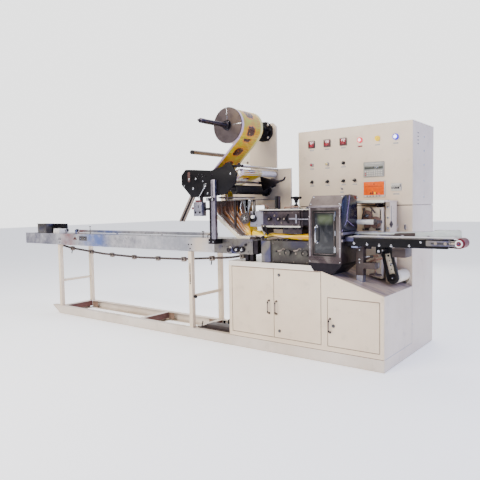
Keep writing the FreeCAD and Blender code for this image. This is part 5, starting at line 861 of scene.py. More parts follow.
def path_through(circles, closed=False, step=14):
    """Points in mm along the film or belt that runs round the circles."""
    count = len(circles)
    legs = count if closed else count - 1
    runs = [tangent(circles[i], circles[(i + 1) % count]) for i in range(legs)]
    points = []
    for i, (start, end, direction) in enumerate(runs):
        pieces = max(2, int((end - start).length / (step * 2.5)))
        points += [start.lerp(end, k / pieces) for k in range(pieces)]
        if closed or i < legs - 1:
            x, z, radius, turn = circles[(i + 1) % count]
            following = runs[(i + 1) % legs][2]
            first = math.atan2(-turn * direction.x, turn * direction.y)
            last = math.atan2(-turn * following.x, turn * following.y)
            sweep = (turn * (last - first)) % math.tau
            parts = max(3, int(sweep * radius / step))
            points += [Vector((x + radius * math.cos(first + turn * sweep * k / parts),
                               z + radius * math.sin(first + turn * sweep * k / parts))) for k in range(parts)]
    if not closed:
        points.append(runs[-1][1])
    return points


WEB_CIRCLES = ((*REEL, ROLL_RADIUS + 1.1, -1), (-1500, 1455, 28.6, 1), (-1215, 1465, 27.6, -1),
               (-1440, 1330, 9.6, 1), (-1440, 1238, 9.6, 1))
WEB_Y = (-34, 258)
FOLD_HALF = 58


def film_web():
    """Printed film from the roll round the rollers; its last run narrows to the folding box."""
    points = path_through(WEB_CIRCLES)
    shape = Shape()
    across = 16
    travelled = 0
    rows, lengths = [], []
    turned_back = False
    for i, p in enumerate(points):
        if i:
            travelled += (p - points[i - 1]).length
        y0, y1 = WEB_Y
        turned_back = turned_back or p.x > -1200
        if turned_back and p.x < -1240:
            share = min(1, (-1240 - p.x) / 200)
            y0 += share * (LINE_Y - FOLD_HALF - y0)
            y1 += share * (LINE_Y + FOLD_HALF - y1)
        free = min((p - Vector(c[:2])).length - c[2] for c in WEB_CIRCLES[:-1])
        row = []
        for k in range(across + 1):
            t = k / across
            sway = min(free * 0.03, 2.2) * math.sin(t * 7 + travelled * 0.012) * math.sin(math.pi * t)
            row.append(shape.bm.verts.new(at(p.x, y0 + (y1 - y0) * t, p.y + sway)))
        rows.append(row)
        lengths.append(travelled)
    for a, b in zip(rows, rows[1:]):
        for k in range(across):
            shape.bm.faces.new((a[k], a[k + 1], b[k + 1], b[k]))
    shape.bm.verts.index_update()
    web = shape.thing("film_web_printed", MATERIALS["film_web"], smooth=60)
    layer = web.data.uv_layers.new(name="film")
    total = WEB_Y[1] - WEB_Y[0]
    for loop in web.data.loops:
        row, column = divmod(loop.vertex_index, across + 1)
        layer.data[loop.index].uv = (lengths[row] * MM + WEB_SHIFT, total * MM * column / across)
    thick = web.modifiers.new("thickness", "SOLIDIFY")
    thick.thickness = 0.8 * MM
    thick.offset = 0
    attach(web, "frame")
    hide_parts("film_web")


def spread(points, count):
    """Evenly spaced places along a line of points."""
    points = [Vector(p) for p in points]
    lengths = [(b - a).length for a, b in zip(points, points[1:])]
    places = []
    for i in range(count):
        target = sum(lengths) * i / (count - 1)
        k = 0
        while k < len(lengths) - 1 and target > lengths[k]:
            target -= lengths[k]
            k += 1
        places.append(points[k].lerp(points[k + 1], min(1, target / lengths[k])))
    return places


def film_tube():
    """Film gathered round the folding box, and the tube with its fin that runs on to the hood."""
    shape = Shape()
    across, count = 30, 60
    rings = []
    left = spread([(-1552, 1237), (-1548, 1120), (-1296, 921), (-1182, 918)], 28)
    right = spread([(-1241, 1237), (-1228, 1150), (-1204, 1050), (-1182, 986)], 28)
    for i, (a, b) in enumerate(zip(left, right)):
        ring = []
        for side in (-1, 1):
            for k in range(across):
                t = (k + 0.5) / across if side < 0 else 1 - (k + 0.5) / across
                p = a.lerp(b, t)
                pleat = 3 + 3 * math.sin(t * 47 + 0.5 * math.sin(i * 0.4)) + 10 * max(0, abs(t - 0.5) - 0.47) / 0.03
                ring.append(at(p.x, LINE_Y + side * (FOLD_HALF - pleat * min(1, 0.3 + i / 9)), p.y))
        rings.append(ring)
    stations = ((-1165, 56, 925, 987), (-1126, 56, 930, 985), (-1085, 55, 925, 968), (-1042, 50, 921, 956),
                (-1005, 42, 932, 960), (-973, 40, 938, 962), (-915, 50, 926, 959), (-852, 56, 919, 958),
                (-790, 57, 914, 957), (-725, 57, 910, 960), (-660, 58, 909, 963), (-574, 58, 908, 963))
    for i, (x, half, low, high) in enumerate(stations):
        ring = []
        for k in range(count):
            angle = math.tau * (k + 0.5) / count + math.pi
            c, s = math.cos(angle), math.sin(angle)
            y = half * math.copysign(abs(c) ** 0.5, c)
            ripple = 1.3 * math.sin(k * 1.3 + i * 0.9) * (1 if s > 0 else 0.4)
            z = (low + high) / 2 + (high - low) / 2 * math.copysign(abs(s) ** 0.75, s) + ripple
            ring.append(at(x, LINE_Y + y, z))
        rings.append(ring)
    made = [[shape.bm.verts.new(p) for p in ring] for ring in rings]
    for group in (made[:28], made[28:]):
        for a, b in zip(group, group[1:]):
            for k in range(count):
                shape.bm.faces.new((a[k], a[(k + 1) % count], b[(k + 1) % count], b[k]))
        shape.bm.faces.new(group[0][::-1])
        shape.bm.faces.new(group[-1])
    shape.bm.verts.index_update()
    folded = shape.piece("film_folded", ["film"], replaces="film_tube", smooth=60)
    layer = folded.data.uv_layers.new(name="film")
    travel = [0.0]
    for a, b in zip(rings, rings[1:]):
        travel.append(travel[-1] + (b[10] - a[10]).length)
    for loop in folded.data.loops:
        ring, k = divmod(loop.vertex_index, count)
        layer.data[loop.index].uv = (travel[min(ring, len(rings) - 1)], min(k, count - k) / count)


# Feed unit behind the black side plate

def feed_unit():
    face = -50
    back = 500
    shape = Shape()
    rubber, steel = 1, 0

    def roller(x, z, radius, sleeve, mat, y0=-38, y1=back):
        shape.turned((x, y0, z), "y", [(0, radius * 0.5), (16, radius * 0.5), (17, radius - sleeve), (20, radius),
                                       (y1 - y0 - 20, radius), (y1 - y0 - 17, radius - sleeve),
                                       (y1 - y0 - 16, radius * 0.5), (y1 - y0, radius * 0.5)], 36, mat)
    roller(-1500, 1455, 28, 2, steel)
    roller(-1215, 1465, 27, 1.5, 4)
    roller(-1282, 1325, 38, 3, rubber)
    roller(-1720, 1380, 30, 2, rubber)
    roller(-1440, 1262, 8, 0.5, steel)
    for x, z in ((-1262, 1388), (-1440, 1330), (-1780, 1440)):
        shape.turned((x, -38, z), "y", [(0, 9), (back + 38, 9)], 20, steel)
        shape.turned((x, 300, z), "y", [(0, 13), (22, 13)], 20, 2)
    shape.turned((-1195, -26, 1512), "y", [(0, 10), (2, 11), (back + 24, 11), (back + 26, 10)], 24, 3)
    shape.box((-1295, -1177), (-38, -26), (1506, 1526), 2, 2)
    shape.turned((-1222, -34, 1521), "y", [(0, 14), (3, 19), (10, 19), (13, 13)], 24, 2)
    shape.turned((-1204, -30, 1484), "y", [(0, 8), (2, 10), (18, 10)], 20, 2)
    shape.socket((-1280, -26, 1516), "y", 5, 1, steel)
    for shift in (0, 42):
        shape.bar([(-1730 + shift, -29, 1325), (-1895 + shift, -29, 1062)], 10.5, 20, 5)
        shape.bar([(-1893 + shift, -29, 1065.5), (-1895.5 + shift, -29, 1061.5)], 8.4, 20, 2)
    shape.bar([(-1711, -27, 1322), (-1874, -27, 1064)], 9, 12, 2)
    shape.box((-1746, -1672), (-38, -21), (1313, 1333), 2, 2)
    arm = rounded([(-1236, 1444), (-1190, 1430), (-1110, 1410), (-1040, 1400), (-1000, 1408), (-984, 1432),
                   (-978, 1424), (-990, 1396), (-1058, 1376), (-1120, 1352), (-1180, 1322), (-1204, 1318),
                   (-1228, 1380)], 7)
    shape.prism(arm, "y", 290, 300, 1.5, 2)
    shape.turned((-1282, 430, 1325), "y", [(0, 52), (2, 54), (22, 54), (24, 52)], 40, 2, squash=gear_tooth(30))
    shape.turned((-1210, 430, 1388), "y", [(0, 40), (2, 42), (22, 42), (24, 40)], 36, 2, squash=gear_tooth(24))
    shape.bar([(-1440, 470, 1330), (-1282, 470, 1388)], 4, 10, steel)
    shape.piece("feed_rollers_turned", ["steel", "black_rubber", "black_steel", "chrome", "white_plastic", "satin"],
                "frame", "feed_rollers")
    plate = Shape()
    corners = [(-1850, 1385), (-1850, 1469), (-1800, 1516), (-1700, 1510), (-1505, 1494), (-1390, 1518),
               (-1322, 1554), (-1288, 1534), (-1232, 1453), (-1246, 1376), (-1345, 1290), (-1546, 1268),
               (-1736, 1273)]
    plate.prism(rounded(corners, 8), "y", face, -38, 1.2, 0)
    for x, z, radius, mat in ((-1817, 1377, 5, 1), (-1714, 1349, 8, 1), (-1682, 1431, 6, 1), (-1599, 1409, 5, 1),
                              (-1297, 1457, 6, 1), (-1549, 1302, 6, 1), (-1440, 1330, 7, 3), (-1262, 1388, 7, 3),
                              (-1500, 1455, 9, 3), (-1780, 1440, 7, 3), (-1282, 1325, 9, 3)):
        plate.bolt((x, face, z), "y", radius, -1, mat)
    for x, z in ((-1640, 1470), (-1600, 1466), (-1640, 1432), (-1610, 1440), (-1570, 1450), (-1655, 1450)):
        plate.socket((x, face, z), "y", 5, -1, 3, 1)
    plate.prism(rounded([(-1772, 1404), (-1744, 1404), (-1744, 1494), (-1772, 1494)], 13), "y", face - 2.5, face,
                0.6, 2)
    plate.turned((-1758, face - 5, 1430), "y", [(0, 6), (1, 8), (5, 8)], 20, 1)
    plate.bar([(-1572, face - 12, 1356), (-1600, face - 16, 1312), (-1640, face - 14, 1262)], 4.5, 12, 1, bend=16)
    plate.turned((-1572, face - 20, 1352), "y", [(0, 9), (2, 12), (12, 12), (14, 9), (20, 9)], 24, 1)
    plate.prism(rounded([(-1590, 1384), (-1556, 1390), (-1560, 1356), (-1588, 1350)], 10), "y", face - 6, face, 1, 1)
    plate.piece("feed_plate_bolted", ["black_paint", "chrome", "primer", "black_steel"], "frame",
                "feed_side_plate")


def gear_tooth(count):
    return lambda angle, along: 1 - 0.07 * (math.sin(angle * count) > 0)


def guide_roller():
    shape = Shape()
    x, z = -1670, 1656
    shape.turned((x, -110, z), "y", [(0, 10), (1, 14), (4, 15), (5, 18), (604, 18), (606, 15), (610, 15)], 30, 0)
    shape.turned((x, -110.5, z), "y", [(0, 9), (0.5, 16), (9, 18.3), (20, 18.3)], 30, 1)
    outline = rounded([(-1716, 1610), (-1490, 1564), (-1490, 1702), (-1716, 1702)], 14)
    shape.prism(outline, "y", 500, 512, 1.2, 2)
    for bx, bz in ((-1520, 1590), (-1520, 1680)):
        shape.bolt((bx, 500, bz), "y", 8, -1, 0)
    shape.turned((x, 488, z), "y", [(0, 20), (2, 24), (12, 24)], 30, 1)
    shape.piece("guide_roller_turned", ["satin", "black_rubber", "cream_arm"], "frame", "guide_roller")


# Mast and print mark sensor

def mast():
    shape = Shape()
    shape.box((-1486, -1443), (-80, -50), (913, 1413), 2, 0)
    shape.box((-1513, -1488), (-74, -50), (913, 1243), 1, 1)
    shape.box((-1525, -1449), (-80, 12), (871, 913), 1.5, 1)
    shape.prism(rounded([(-1473, 1275), (-1465, 1275), (-1465, 1385), (-1473, 1385)], 3.9), "y", -81, -79.4, 0.2, 2)
    for z in (1396, 1160, 960, 935):
        shape.socket((-1469, -80, z), "y", 6, -1, 3, 2)
    shape.box((-1530, -1446), (-92, -80), (1236, 1262), 1.5, 1)
    shape.bolt((-1515, -92, 1249), "y", 7, -1, 3)
    shape.bolt((-1462, -92, 1249), "y", 7, -1, 3)
    for x in (-1512, -1470):
        shape.socket((x, -80, 890), "y", 6, -1, 3, 2)
    shape.piece("mast_bar", ["mast_steel", "black_steel", "panel_dark", "chrome"], "frame", "mast")
    box = Shape()
    box.box((-1662, -1566), (-106, -50), (1108, 1228), 3, 0)
    box.box((-1658, -1570), (-109, -105), (1112, 1224), 2, 1)
    for x in (-1640, -1588):
        box.turned((x, -112, 1140), "y", [(0, 8), (2, 10), (5, 11)], 20, 2)
    box.prism(rounded([(-1650, 1168), (-1578, 1168), (-1578, 1208), (-1650, 1208)], 5), "y", -110, -108, 0.3, 1)
    box.box((-1608, -1600), (-111, -108), (1176, 1202), 0.5, 2)
    box.box((-1630, -1598), (-60, -50), (1228, 1308), 1, 2)
    box.box((-1566, -1515), (-70, -50), (1158, 1178), 1, 2)
    box.turned((-1682, -80, 1200), "x", [(0, 6), (6, 6), (6, 9), (20, 9)], 18, 2)
    box.box((-1680, -1610), (-64, -52), (1228, 1246), 2, 3)
    for x, z in ((-1654, 1220), (-1574, 1220), (-1654, 1116), (-1574, 1116)):
        box.turned((x, -110.4, z), "y", [(0, 2.6), (1.4, 3.2)], 12, 2)
    box.box((-1712, -1662), (-74, -60), (1166, 1186), 2, 3)
    box.piece("print_sensor", ["blue_steel", "blue_steel", "black_steel", "maroon_steel"], "frame", "film_sensor")


def reel_and_film():
    film_roll()
    reel_shaft()
    reel_bearing()
    film_web()
    film_tube()
    feed_unit()
    guide_roller()
    mast()


# Doors, hood and control panel

def handle(name, body, x, z0, z1, front, reach, node=None, radius=5.0, parts=None):
    """Bow handle with a foot at each end; parts adds what else belongs to the node."""
    shape = Shape()
    y = front - reach
    shape.bar([(x, front, z0 + 6), (x, y, z0 + 6), (x, y - 1.5, (z0 + z1) / 2), (x, y, z1 - 6), (x, front, z1 - 6)],
              radius, 14, 0, bend=16)
    for z, sign in ((z0 + 6, 1), (z1 - 6, -1)):
        shape.turned((x, front, z), "y", [(0, radius * 1.7), (-2, radius * 1.7), (-4, radius * 1.2)], 20, 1)
        shape.bar([(x, y, z + sign * 8), (x, y, z + sign * 20)], radius + 0.6, 14, 1)
    if parts:
        parts(shape)
    return shape.piece(name, ["satin", "black_steel", "chrome", "panel_dark"], body, node or ())


def lock(x, z, front=-18):
    """Quarter-turn lock with a slot."""
    def add(shape):
        for level in (z if isinstance(z, tuple) else (z,)):
            shape.turned((x, front, level), "y", [(0, 13), (-2, 13), (-3, 11.5)], 24, 0)
            shape.turned((x, front - 3, level), "y", [(0, 10.4), (-3.4, 10.4), (-4, 9.6)], 24, 3)
            shape.box((x - 1, x + 1), (front - 7.6, front - 6.9), (level - 5, level + 5), 0, 2)
    return add


def doors():
    handle("left_door_bow", "left_leaf", -963, 317, 431, 0, 24, "left_door_handle")
    handle("right_door_bow", "right_leaf", -892, 317, 431, 0, 24, "right_door_handle", parts=lock(-866, (188, 637), 0))
    handle("small_door_bow", "small_leaf", -419, 231, 345, 0, 24, "small_door_handle", parts=lock(-391, 288, 0))


def window_door():
    shape = Shape()
    x0, x1, z0, z1 = -551, -379, 817, 1133
    outer = [(x0, z0), (x1, z0), (x1, z1), (x0, z1)]
    for inset, width, y0, y1, mat in ((0, 5, -1, 12, 0), (5, 4, 1.5, 9, 1)):
        a = [(x + (inset if x == x0 else -inset), z + (inset if z == z0 else -inset)) for x, z in outer]
        b = [(x + (inset + width if x == x0 else -inset - width), z + (inset + width if z == z0 else -inset - width))
             for x, z in outer]
        shape.framed(rounded(a, 5), rounded(b, 3), "y", y0, y1, mat)
    for z in (z0 + 40, z1 - 40):
        shape.turned((x1 + 1, -4, z - 22), "z", [(0, 4), (44, 4)], 14, 2)
    shape.bar([(-525, 2, 908), (-525, -22, 908), (-525, -24, 967), (-525, -22, 1027), (-525, 2, 1027)], 5.5, 16, 2,
              bend=20)
    for z in (908, 1027):
        shape.turned((-525, 2, z), "y", [(0, 11), (-3, 11), (-6, 8)], 20, 2)
    shape.piece("window_frame", ["stainless", "black_rubber", "chrome"], "window_leaf", "window_door")
    pane = Shape()
    pane.prism(rounded([(x0 + 6, z0 + 6), (x1 - 6, z0 + 6), (x1 - 6, z1 - 6), (x0 + 6, z1 - 6)], 4), "y", 3.5, 7,
               0.4, 0)
    pane.piece("window_pane", "dark_glass", "window_leaf")


def hood():
    """Gasket, screws, sill and hinges of the hood, its lid's finish, and the glossy bulged cover on its side."""
    trim = Shape()
    inner = rounded([(-556, 812), (-374, 812), (-374, 1138), (-556, 1138)], 4)
    outer = rounded([(-563, 805), (-367, 805), (-367, 1145), (-563, 1145)], 8)
    trim.framed(outer, inner, "y", -1.4, 0.2, 1)
    for z in (772, 790):
        trim.box((-594, -326), (-3, 0.5), (z - 2.5, z + 2.5), 1, 0)
    trim.box((-596, -324), (-5, 4), (1166, 1181), 2, 3)
    for x in (-583, -335):
        trim.box((x - 6, x + 6), (-3, 0.5), (800, 1168), 1.2, 3)
        for z in (764, 870, 985, 1100, 1160):
            trim.turned((x, -3, z), "y", [(0, 4.4), (-1.5, 3.6), (-2, 1.5)], 14, 2)
    for z in (835, 960, 1100):
        trim.turned((-371, -5, z), "z", [(0, 4.5), (36, 4.5)], 14, 2)
    trim.turned((-335, 4, 1183), "x", [(0, 7), (8, 8), (12, 5)], 16, 2)
    trim.piece("hood_trim", ["stainless", "black_rubber", "chrome", "pale_metal"])
    lid = Shape()
    lid.prism([(0, 1179), (2, 1181.5), (71, 1256), (268, 1256), (268, 1253.5), (72, 1253.5), (4, 1179)], "x", -594, -330,
              0.3, 0)
    for x in (-580, -344):
        for share in (0.15, 0.85):
            lid.turned((x, 70 * share, 1180.5 + 75 * share), Vector((0, -0.73, 0.68)), [(0, 5), (1.6, 4)], 14, 1)
    lid.piece("hood_lid_sheet", ["lid_steel", "chrome"])
    side = Shape()
    rim = rounded([(4, 984), (-6, 1060), (-4, 1150), (16, 1228), (60, 1258), (150, 1262), (226, 1256), (262, 1200),
                   (268, 1100), (266, 984)], 30, 5)
    rings = []
    middle = Vector((126, 1132))
    for share, bulge in ((1, 0), (1, 4), (0.97, 8), (0.9, 12), (0.72, 17), (0.45, 21), (0.2, 23)):
        rings.append([side.bm.verts.new(at(-325 + bulge, *(middle + (p - middle) * share))) for p in rim])
    for a, b in zip(rings, rings[1:]):
        for i in range(len(rim)):
            j = (i + 1) % len(rim)
            side.bm.faces.new((a[i], a[j], b[j], b[i]))
    side.bm.faces.new(rings[0][::-1])
    side.bm.faces.new(rings[-1])
    side.bm.faces.ensure_lookup_table()
    bmesh.ops.recalc_face_normals(side.bm, faces=side.bm.faces)
    swell = ((1, 4), (0.97, 8), (0.9, 12), (0.72, 17), (0.45, 21), (0.2, 23), (0, 23))

    def on_cover(y, z):
        share = min(1, (((y - 126) / 136) ** 4 + ((z - 1132) / 142) ** 4) ** 0.25)
        for (far, low), (near, high) in zip(swell, swell[1:]):
            if share >= near:
                return (-325 + low + (high - low) * (far - share) / (far - near), y, z)
    # Raised ridges in pale lavender on the glossy cover: painted highlight lines.
    side.bar([on_cover(*p) for p in ((112, 1250), (84, 1200), (66, 1150), (56, 1110), (54, 1072))], 3.4, 12, 2)
    side.bar([on_cover(*p) for p in ((54, 1072), (36, 1046), (20, 1018), (4, 992))], 2.6, 12, 2)
    side.bar([on_cover(*p) for p in ((54, 1072), (100, 1052), (160, 1030), (220, 1006), (258, 988))], 2.6, 12, 2)
    side.box((-325, -311), (0, 268), (964, 983), 2, 3)
    for y0, y1 in ((0, 50), (192, 268)):
        side.box((-325, -313), (y0, y1), (914, 932), 2, 3)
    side.bolt((-312, 250, 1236), "x", 5, 1, 1)
    side.piece("hood_side_cover", ["gloss_black", "chrome", "lavender_highlight", "pale_metal"], smooth=60)


SEGMENTS = {"0": "abcdef", "1": "bc", "2": "abged", "3": "abgcd", "4": "fgbc", "5": "afgcd", "6": "afgedc",
            "7": "abc", "8": "abcdefg", "9": "abcdfg"}


def digits(shape, text, x, z, y, height, mat):
    """Seven-segment figures standing on a front face, first one at x."""
    wide = height * 0.5
    bold = height * 0.11
    bars = {"a": (0, wide, height, 0), "d": (0, wide, 0, 0), "g": (0, wide, height / 2, 0),
            "f": (0, 0, height / 2, 1), "b": (wide, 0, height / 2, 1), "e": (0, 0, 0, 1), "c": (wide, 0, 0, 1)}
    for i, figure in enumerate(text):
        left = x + i * height * 0.78
        for bar in SEGMENTS[figure]:
            dx, run, dz, upright = bars[bar]
            if upright:
                shape.box((left + dx - bold / 2, left + dx + bold / 2), (y - 0.4, y),
                          (z + dz + bold * 0.4, z + dz + height / 2 - bold * 0.4), 0, mat)
            else:
                shape.box((left + bold * 0.5, left + run - bold * 0.5), (y - 0.4, y),
                          (z + dz - bold / 2, z + dz + bold / 2), 0, mat)


def panel_displays():
    shape = Shape()
    for x, upper, lower in ((-878, "164", "160"), (-729, "158", "155"), (-580, "172", "170")):
        shape.prism(rounded([(x - 31, 1677), (x + 31, 1677), (x + 31, 1739), (x - 31, 1739)], 5), "y", 558, BACK, 1.5, 0)
        shape.prism(rounded([(x - 27, 1681), (x + 27, 1681), (x + 27, 1735), (x - 27, 1735)], 3), "y", 556.4, 558.4,
                    0.5, 1)
        digits(shape, upper, x - 19, 1711, 556.4, 18, 2)
        digits(shape, lower, x - 15, 1692, 556.4, 12, 3)
        for k in range(4):
            shape.box((x - 22 + 12 * k, x - 14 + 12 * k), (555.4, 556.6), (1683.5, 1687.5), 0.4, 0)
    shape.piece("heat_controllers", ["panel_dark", "dark_red", "pale_lamp", "red_lamp"], replaces="panel_displays")
    drive = Shape()
    x0, x1, z0, z1 = -399, -226, 1404, 1524
    drive.prism(rounded([(x0, z0), (x1, z0), (x1, z1), (x0, z1)], 4), "y", 560, BACK, 1.5, 0)
    drive.box((x0 + 8, x1 - 8), (559.2, 560.4), (z0 + 62, z0 + 86), 0.6, 1)
    digits(drive, "1350", x0 + 86, z0 + 66, 559.2, 15, 4)
    drive.box((x0 + 10, x1 - 10), (559.4, 560.4), (z1 - 16, z1 - 12), 0, 3)
    for row in range(3):
        for k in range(8):
            mat = 2 if k == 0 and row < 2 else 3
            drive.box((x0 + 12 + k * 19, x0 + 24 + k * 19), (558.6, 560.4), (z0 + 9 + row * 16, z0 + 18 + row * 16), 0.8, mat)
    for x in (x0 + 5, x1 - 5):
        for z in (z0 + 5, z1 - 5):
            drive.turned((x, 560, z), "y", [(0, 2.4), (-1, 2)], 10, 4)
    drive.piece("drive_display", ["panel_plastic", "lcd", "red_button", "bezel", "chrome"])
    touch = Shape()
    x0, x1, z0, z1 = -403, -218, 1242, 1372
    touch.prism(rounded([(x0, z0), (x1, z0), (x1, z1), (x0, z1)], 6), "y", 559, BACK, 2, 0)
    touch.prism(rounded([(x0 + 6, z0 + 16), (x1 - 6, z0 + 16), (x1 - 6, z1 - 6), (x0 + 6, z1 - 6)], 3), "y", 558.4, 559.6, 0.3,
                1)
    touch.box((x0 + 20, x1 - 20), (558, 558.6), (z1 - 46, z1 - 44), 0, 2)
    touch.box((x0 + 90, x0 + 98), (558, 558.6), (z1 - 30, z1 - 22), 0, 2)
    for k, (w, h, mat) in enumerate(((10, 16, 2), (8, 26, 2), (12, 18, 3), (8, 12, 2), (14, 9, 4))):
        left = x0 + 62 + k * 17
        touch.box((left, left + w), (557.8, 558.6), (z0 + 22, z0 + 22 + h), 0, mat)
    for k in range(5):
        touch.box((x0 + 30 + k * 26, x0 + 44 + k * 26), (558, 558.6), (z0 + 5, z0 + 11), 0.4, 5)
    touch.piece("touch_screen", ["bezel", "orange_screen", "screen_ink", "yellow_lamp", "red_lamp", "panel_dark"])
    counter = Shape()
    x0, x1, z0, z1 = -171, -87, 1286, 1346
    counter.prism(rounded([(x0, z0), (x1, z0), (x1, z1), (x0, z1)], 4), "y", 560, BACK, 1.5, 0)
    counter.box((x0 + 6, x1 - 14), (559.3, 560.4), (z0 + 16, z0 + 34), 0.5, 1)
    digits(counter, "00417", x0 + 10, z0 + 19, 559.3, 12, 2)
    for k in range(4):
        counter.box((x0 + 10 + k * 15, x0 + 20 + k * 15), (559, 560.4), (z0 + 40, z0 + 46), 0.5, 3)
    counter.box((x1 - 11, x1 - 4), (557.8, 560.4), (z0 + 30, z0 + 52), 0.8, 1)
    counter.piece("batch_counter", ["bezel", "panel_dark", "white_plastic", "panel_plastic"])


def panel_buttons():
    shape = Shape()

    def ring(x, z, radius, mat, lens, reach):
        shape.turned((x, BACK, z), "y", [(0, radius), (-3, radius), (-5, radius - 2), (-reach + 6, radius - 3)], 36, mat)
        shape.turned((x, BACK - reach + 6.4, z), "y", [(0, radius * 0.6), (-2.6, radius * 0.56), (-5, radius * 0.36),
                                                      (-6, radius * 0.1)], 28, lens)
    ring(-431, 1708, 22, 3, 4, 24)
    ring(-282, 1708, 22, 5, 5, 24)
    ring(-133, 1708, 24, 6, 7, 24)
    ring(-878, 1533, 17, 1, 8, 22)
    ring(-729, 1533, 17, 1, 9, 22)
    for x, z, turn in ((-580, 1533, 0.2), (-878, 1385, 0.7), (-729, 1385, 0.9), (-580, 1385, 0.8), (-479, 1385, 1.5)):
        shape.turned((x, BACK, z), "y", [(0, 15), (-2, 15), (-3, 13), (-14, 12.4), (-15, 11)], 30, 0)
        shape.box((x - 4, x + 4), (BACK - 27, BACK - 14), (z - 14, z + 14), 1.6, 0, (turn, "y"))
        shape.box((x - 0.9, x + 0.9), (BACK - 27.6, BACK - 26), (z - 1, z + 13), 0, 2, (turn, "y"))
    shape.turned((-594, BACK, 1317), "y", [(0, 9), (-3, 9), (-4, 7), (-8, 6.6)], 6, 1)
    shape.bar([(-594, BACK - 6, 1317), (-592, BACK - 22, 1327)], 2.6, 12, 1)
    shape.turned((-592, BACK - 22, 1327), "y", [(3, 2), (0, 3.8), (-3, 2)], 14, 1)
    shape.piece("panel_controls", ["panel_dark", "chrome", "white_plastic", "red_lamp", "pale_lamp", "yellow_lamp",
                                   "blue_lamp", "white_glow", "red_button", "amber_button"],
                replaces="panel_buttons")
    strips = Shape()
    plates = [(x, 1658, 40) for x in (-878, -729, -580, -431, -282, -133)]
    plates += [(-878, 1499, 40), (-729, 1499, 44), (-580, 1500, 42), (-878, 1352, 42), (-729, 1352, 38),
               (-580, 1352, 42), (-479, 1352, 40), (-594, 1290, 30), (-129, 1262, 50)]
    for x, z, width in plates:
        mat = 1 if z == 1658 and x in (-431,) else 0
        strips.box((x - width / 2, x + width / 2), (BACK - 0.8, BACK), (z - 5, z + 5), 0.3, mat)
        for end in (-1, 1):
            strips.turned((x + end * (width / 2 - 2.5), BACK - 0.8, z), "y", [(0, 1.3), (-0.5, 1)], 8, 2)
    strips.piece("panel_labels", ["label_grey", "maroon", "chrome"])


def cabinet_fittings():
    """Latches, hinges, vents and back doors of the tall cabinet, and the plates on its front."""
    shape = Shape()
    for x in (-122, -50):
        shape.prism(rounded([(x - 7, 980), (x + 7, 980), (x + 7, 1024), (x - 7, 1024)], 6), "y", 543, 545, 0.4, 0)
        shape.box((x - 3, x + 3), (538, 544), (992, 1018), 1.5, 1)
    for x in (-204, -237):
        shape.box((x - 1.5, x + 1.5), (568, 569.4), (984, 1153), 0, 3)
    shape.box((-1010, -2), (568.2, 569.6), (1170, 1175), 0, 3)
    # Brown strips in the door gaps, along the small door's edge and at the base joint: painted shade of the recesses,
    # widest over the doors.
    for x0, x1, z0, z1 in ((-1336, -914, 134, 681), (-914, -497, 134, 681), (-437, -36, 134, 493)):
        shape.box((x0 - 3, x1 + 3), (-0.7, 0.4), (z1 + 1, z1 + 6.5), 0, 4)
        shape.box((x0 - 3, x1 + 3), (-0.7, 0.4), (z0 - 5, z0 - 1), 0, 4)
    shape.box((-441, -438), (-0.7, 0.4), (134, 493), 0, 4)
    shape.box((-1373, -2), (-0.7, 0.4), (90, 94), 0, 4)
    shape.box((-0.6, 0.7), (2, 568), (90, 93.5), 0, 5)
    shape.box((-0.6, 0.7), (565.5, 568.5), (94, 556), 0, 5)
    shape.piece("cabinet_front_fittings", ["chrome", "panel_dark", "panel_dark", "seam", "seam_brown", "label_grey"])
    side = Shape()
    for k in range(4):
        z = 1650 + k * 28
        side.prism(rounded([(678, z), (708, z), (708, z + 7), (678, z + 7)], 3), "x", -0.4, 0.8, 0.2, 1)
    for z in (1236, 1365, 1494, 1607, 1718):
        side.turned((0, 840, z), "x", [(0, 9), (1.4, 8.6), (2, 6)], 20, 0)
        side.box((1.6, 2.6), (838.6, 841.4), (z - 5, z + 5), 0, 1)
    for z in (240, 640):
        side.turned((0.2, 584, z), "x", [(0, 5), (1.5, 4)], 14, 0)
    side.piece("cabinet_side_fittings", ["chrome", "seam"])
    back = Shape()
    for x0, x1, z0, z1 in ((-996, -514, 1190, 1810), (-498, -16, 1190, 1810), (-996, -514, 110, 1158),
                           (-498, -16, 110, 1158)):
        back.prism(rounded([(x0, z0), (x1, z0), (x1, z1), (x0, z1)], 6), "y", 1084, 1087, 1, 0)
        side_x = x0 + 14 if x0 < -600 else x1 - 14
        other = x1 - 26 if x0 < -600 else x0 + 26
        for share in (0.12, 0.5, 0.88):
            z = z0 + (z1 - z0) * share
            back.turned((side_x, 1089, z - 26), "z", [(0, 5), (52, 5)], 14, 1)
        back.turned((other, 1087, (z0 + z1) / 2), "y", [(0, 14), (3, 14), (4, 11)], 24, 1)
        back.box((other - 3, other + 3), (1090, 1098), ((z0 + z1) / 2 - 14, (z0 + z1) / 2 + 14), 2, 2)
        for k in range(7):
            z = z0 + 60 + k * 16
            for x in ((x0 + x1) / 2 - 70, (x0 + x1) / 2 + 70):
                back.prism(rounded([(x - 55, z), (x + 55, z), (x + 50, z + 7), (x - 50, z + 7)], 3), "y", 1086, 1090, 1, 3)
    back.piece("cabinet_back_doors", ["cream_paint", "chrome", "panel_dark", "panel_dark"])
    arcs = Shape()
    for z, radius in ((612, 62), (612, 46), (520, 50)):
        arcs.turned((-78, 566, z), "y", [(0, radius), (3.5, radius + 3), (0.2, radius - 4)], 48, 0)
    arcs.piece("cabinet_hub_rings", ["cream_arm"])


# Discharge conveyor, its drive and what stands behind it

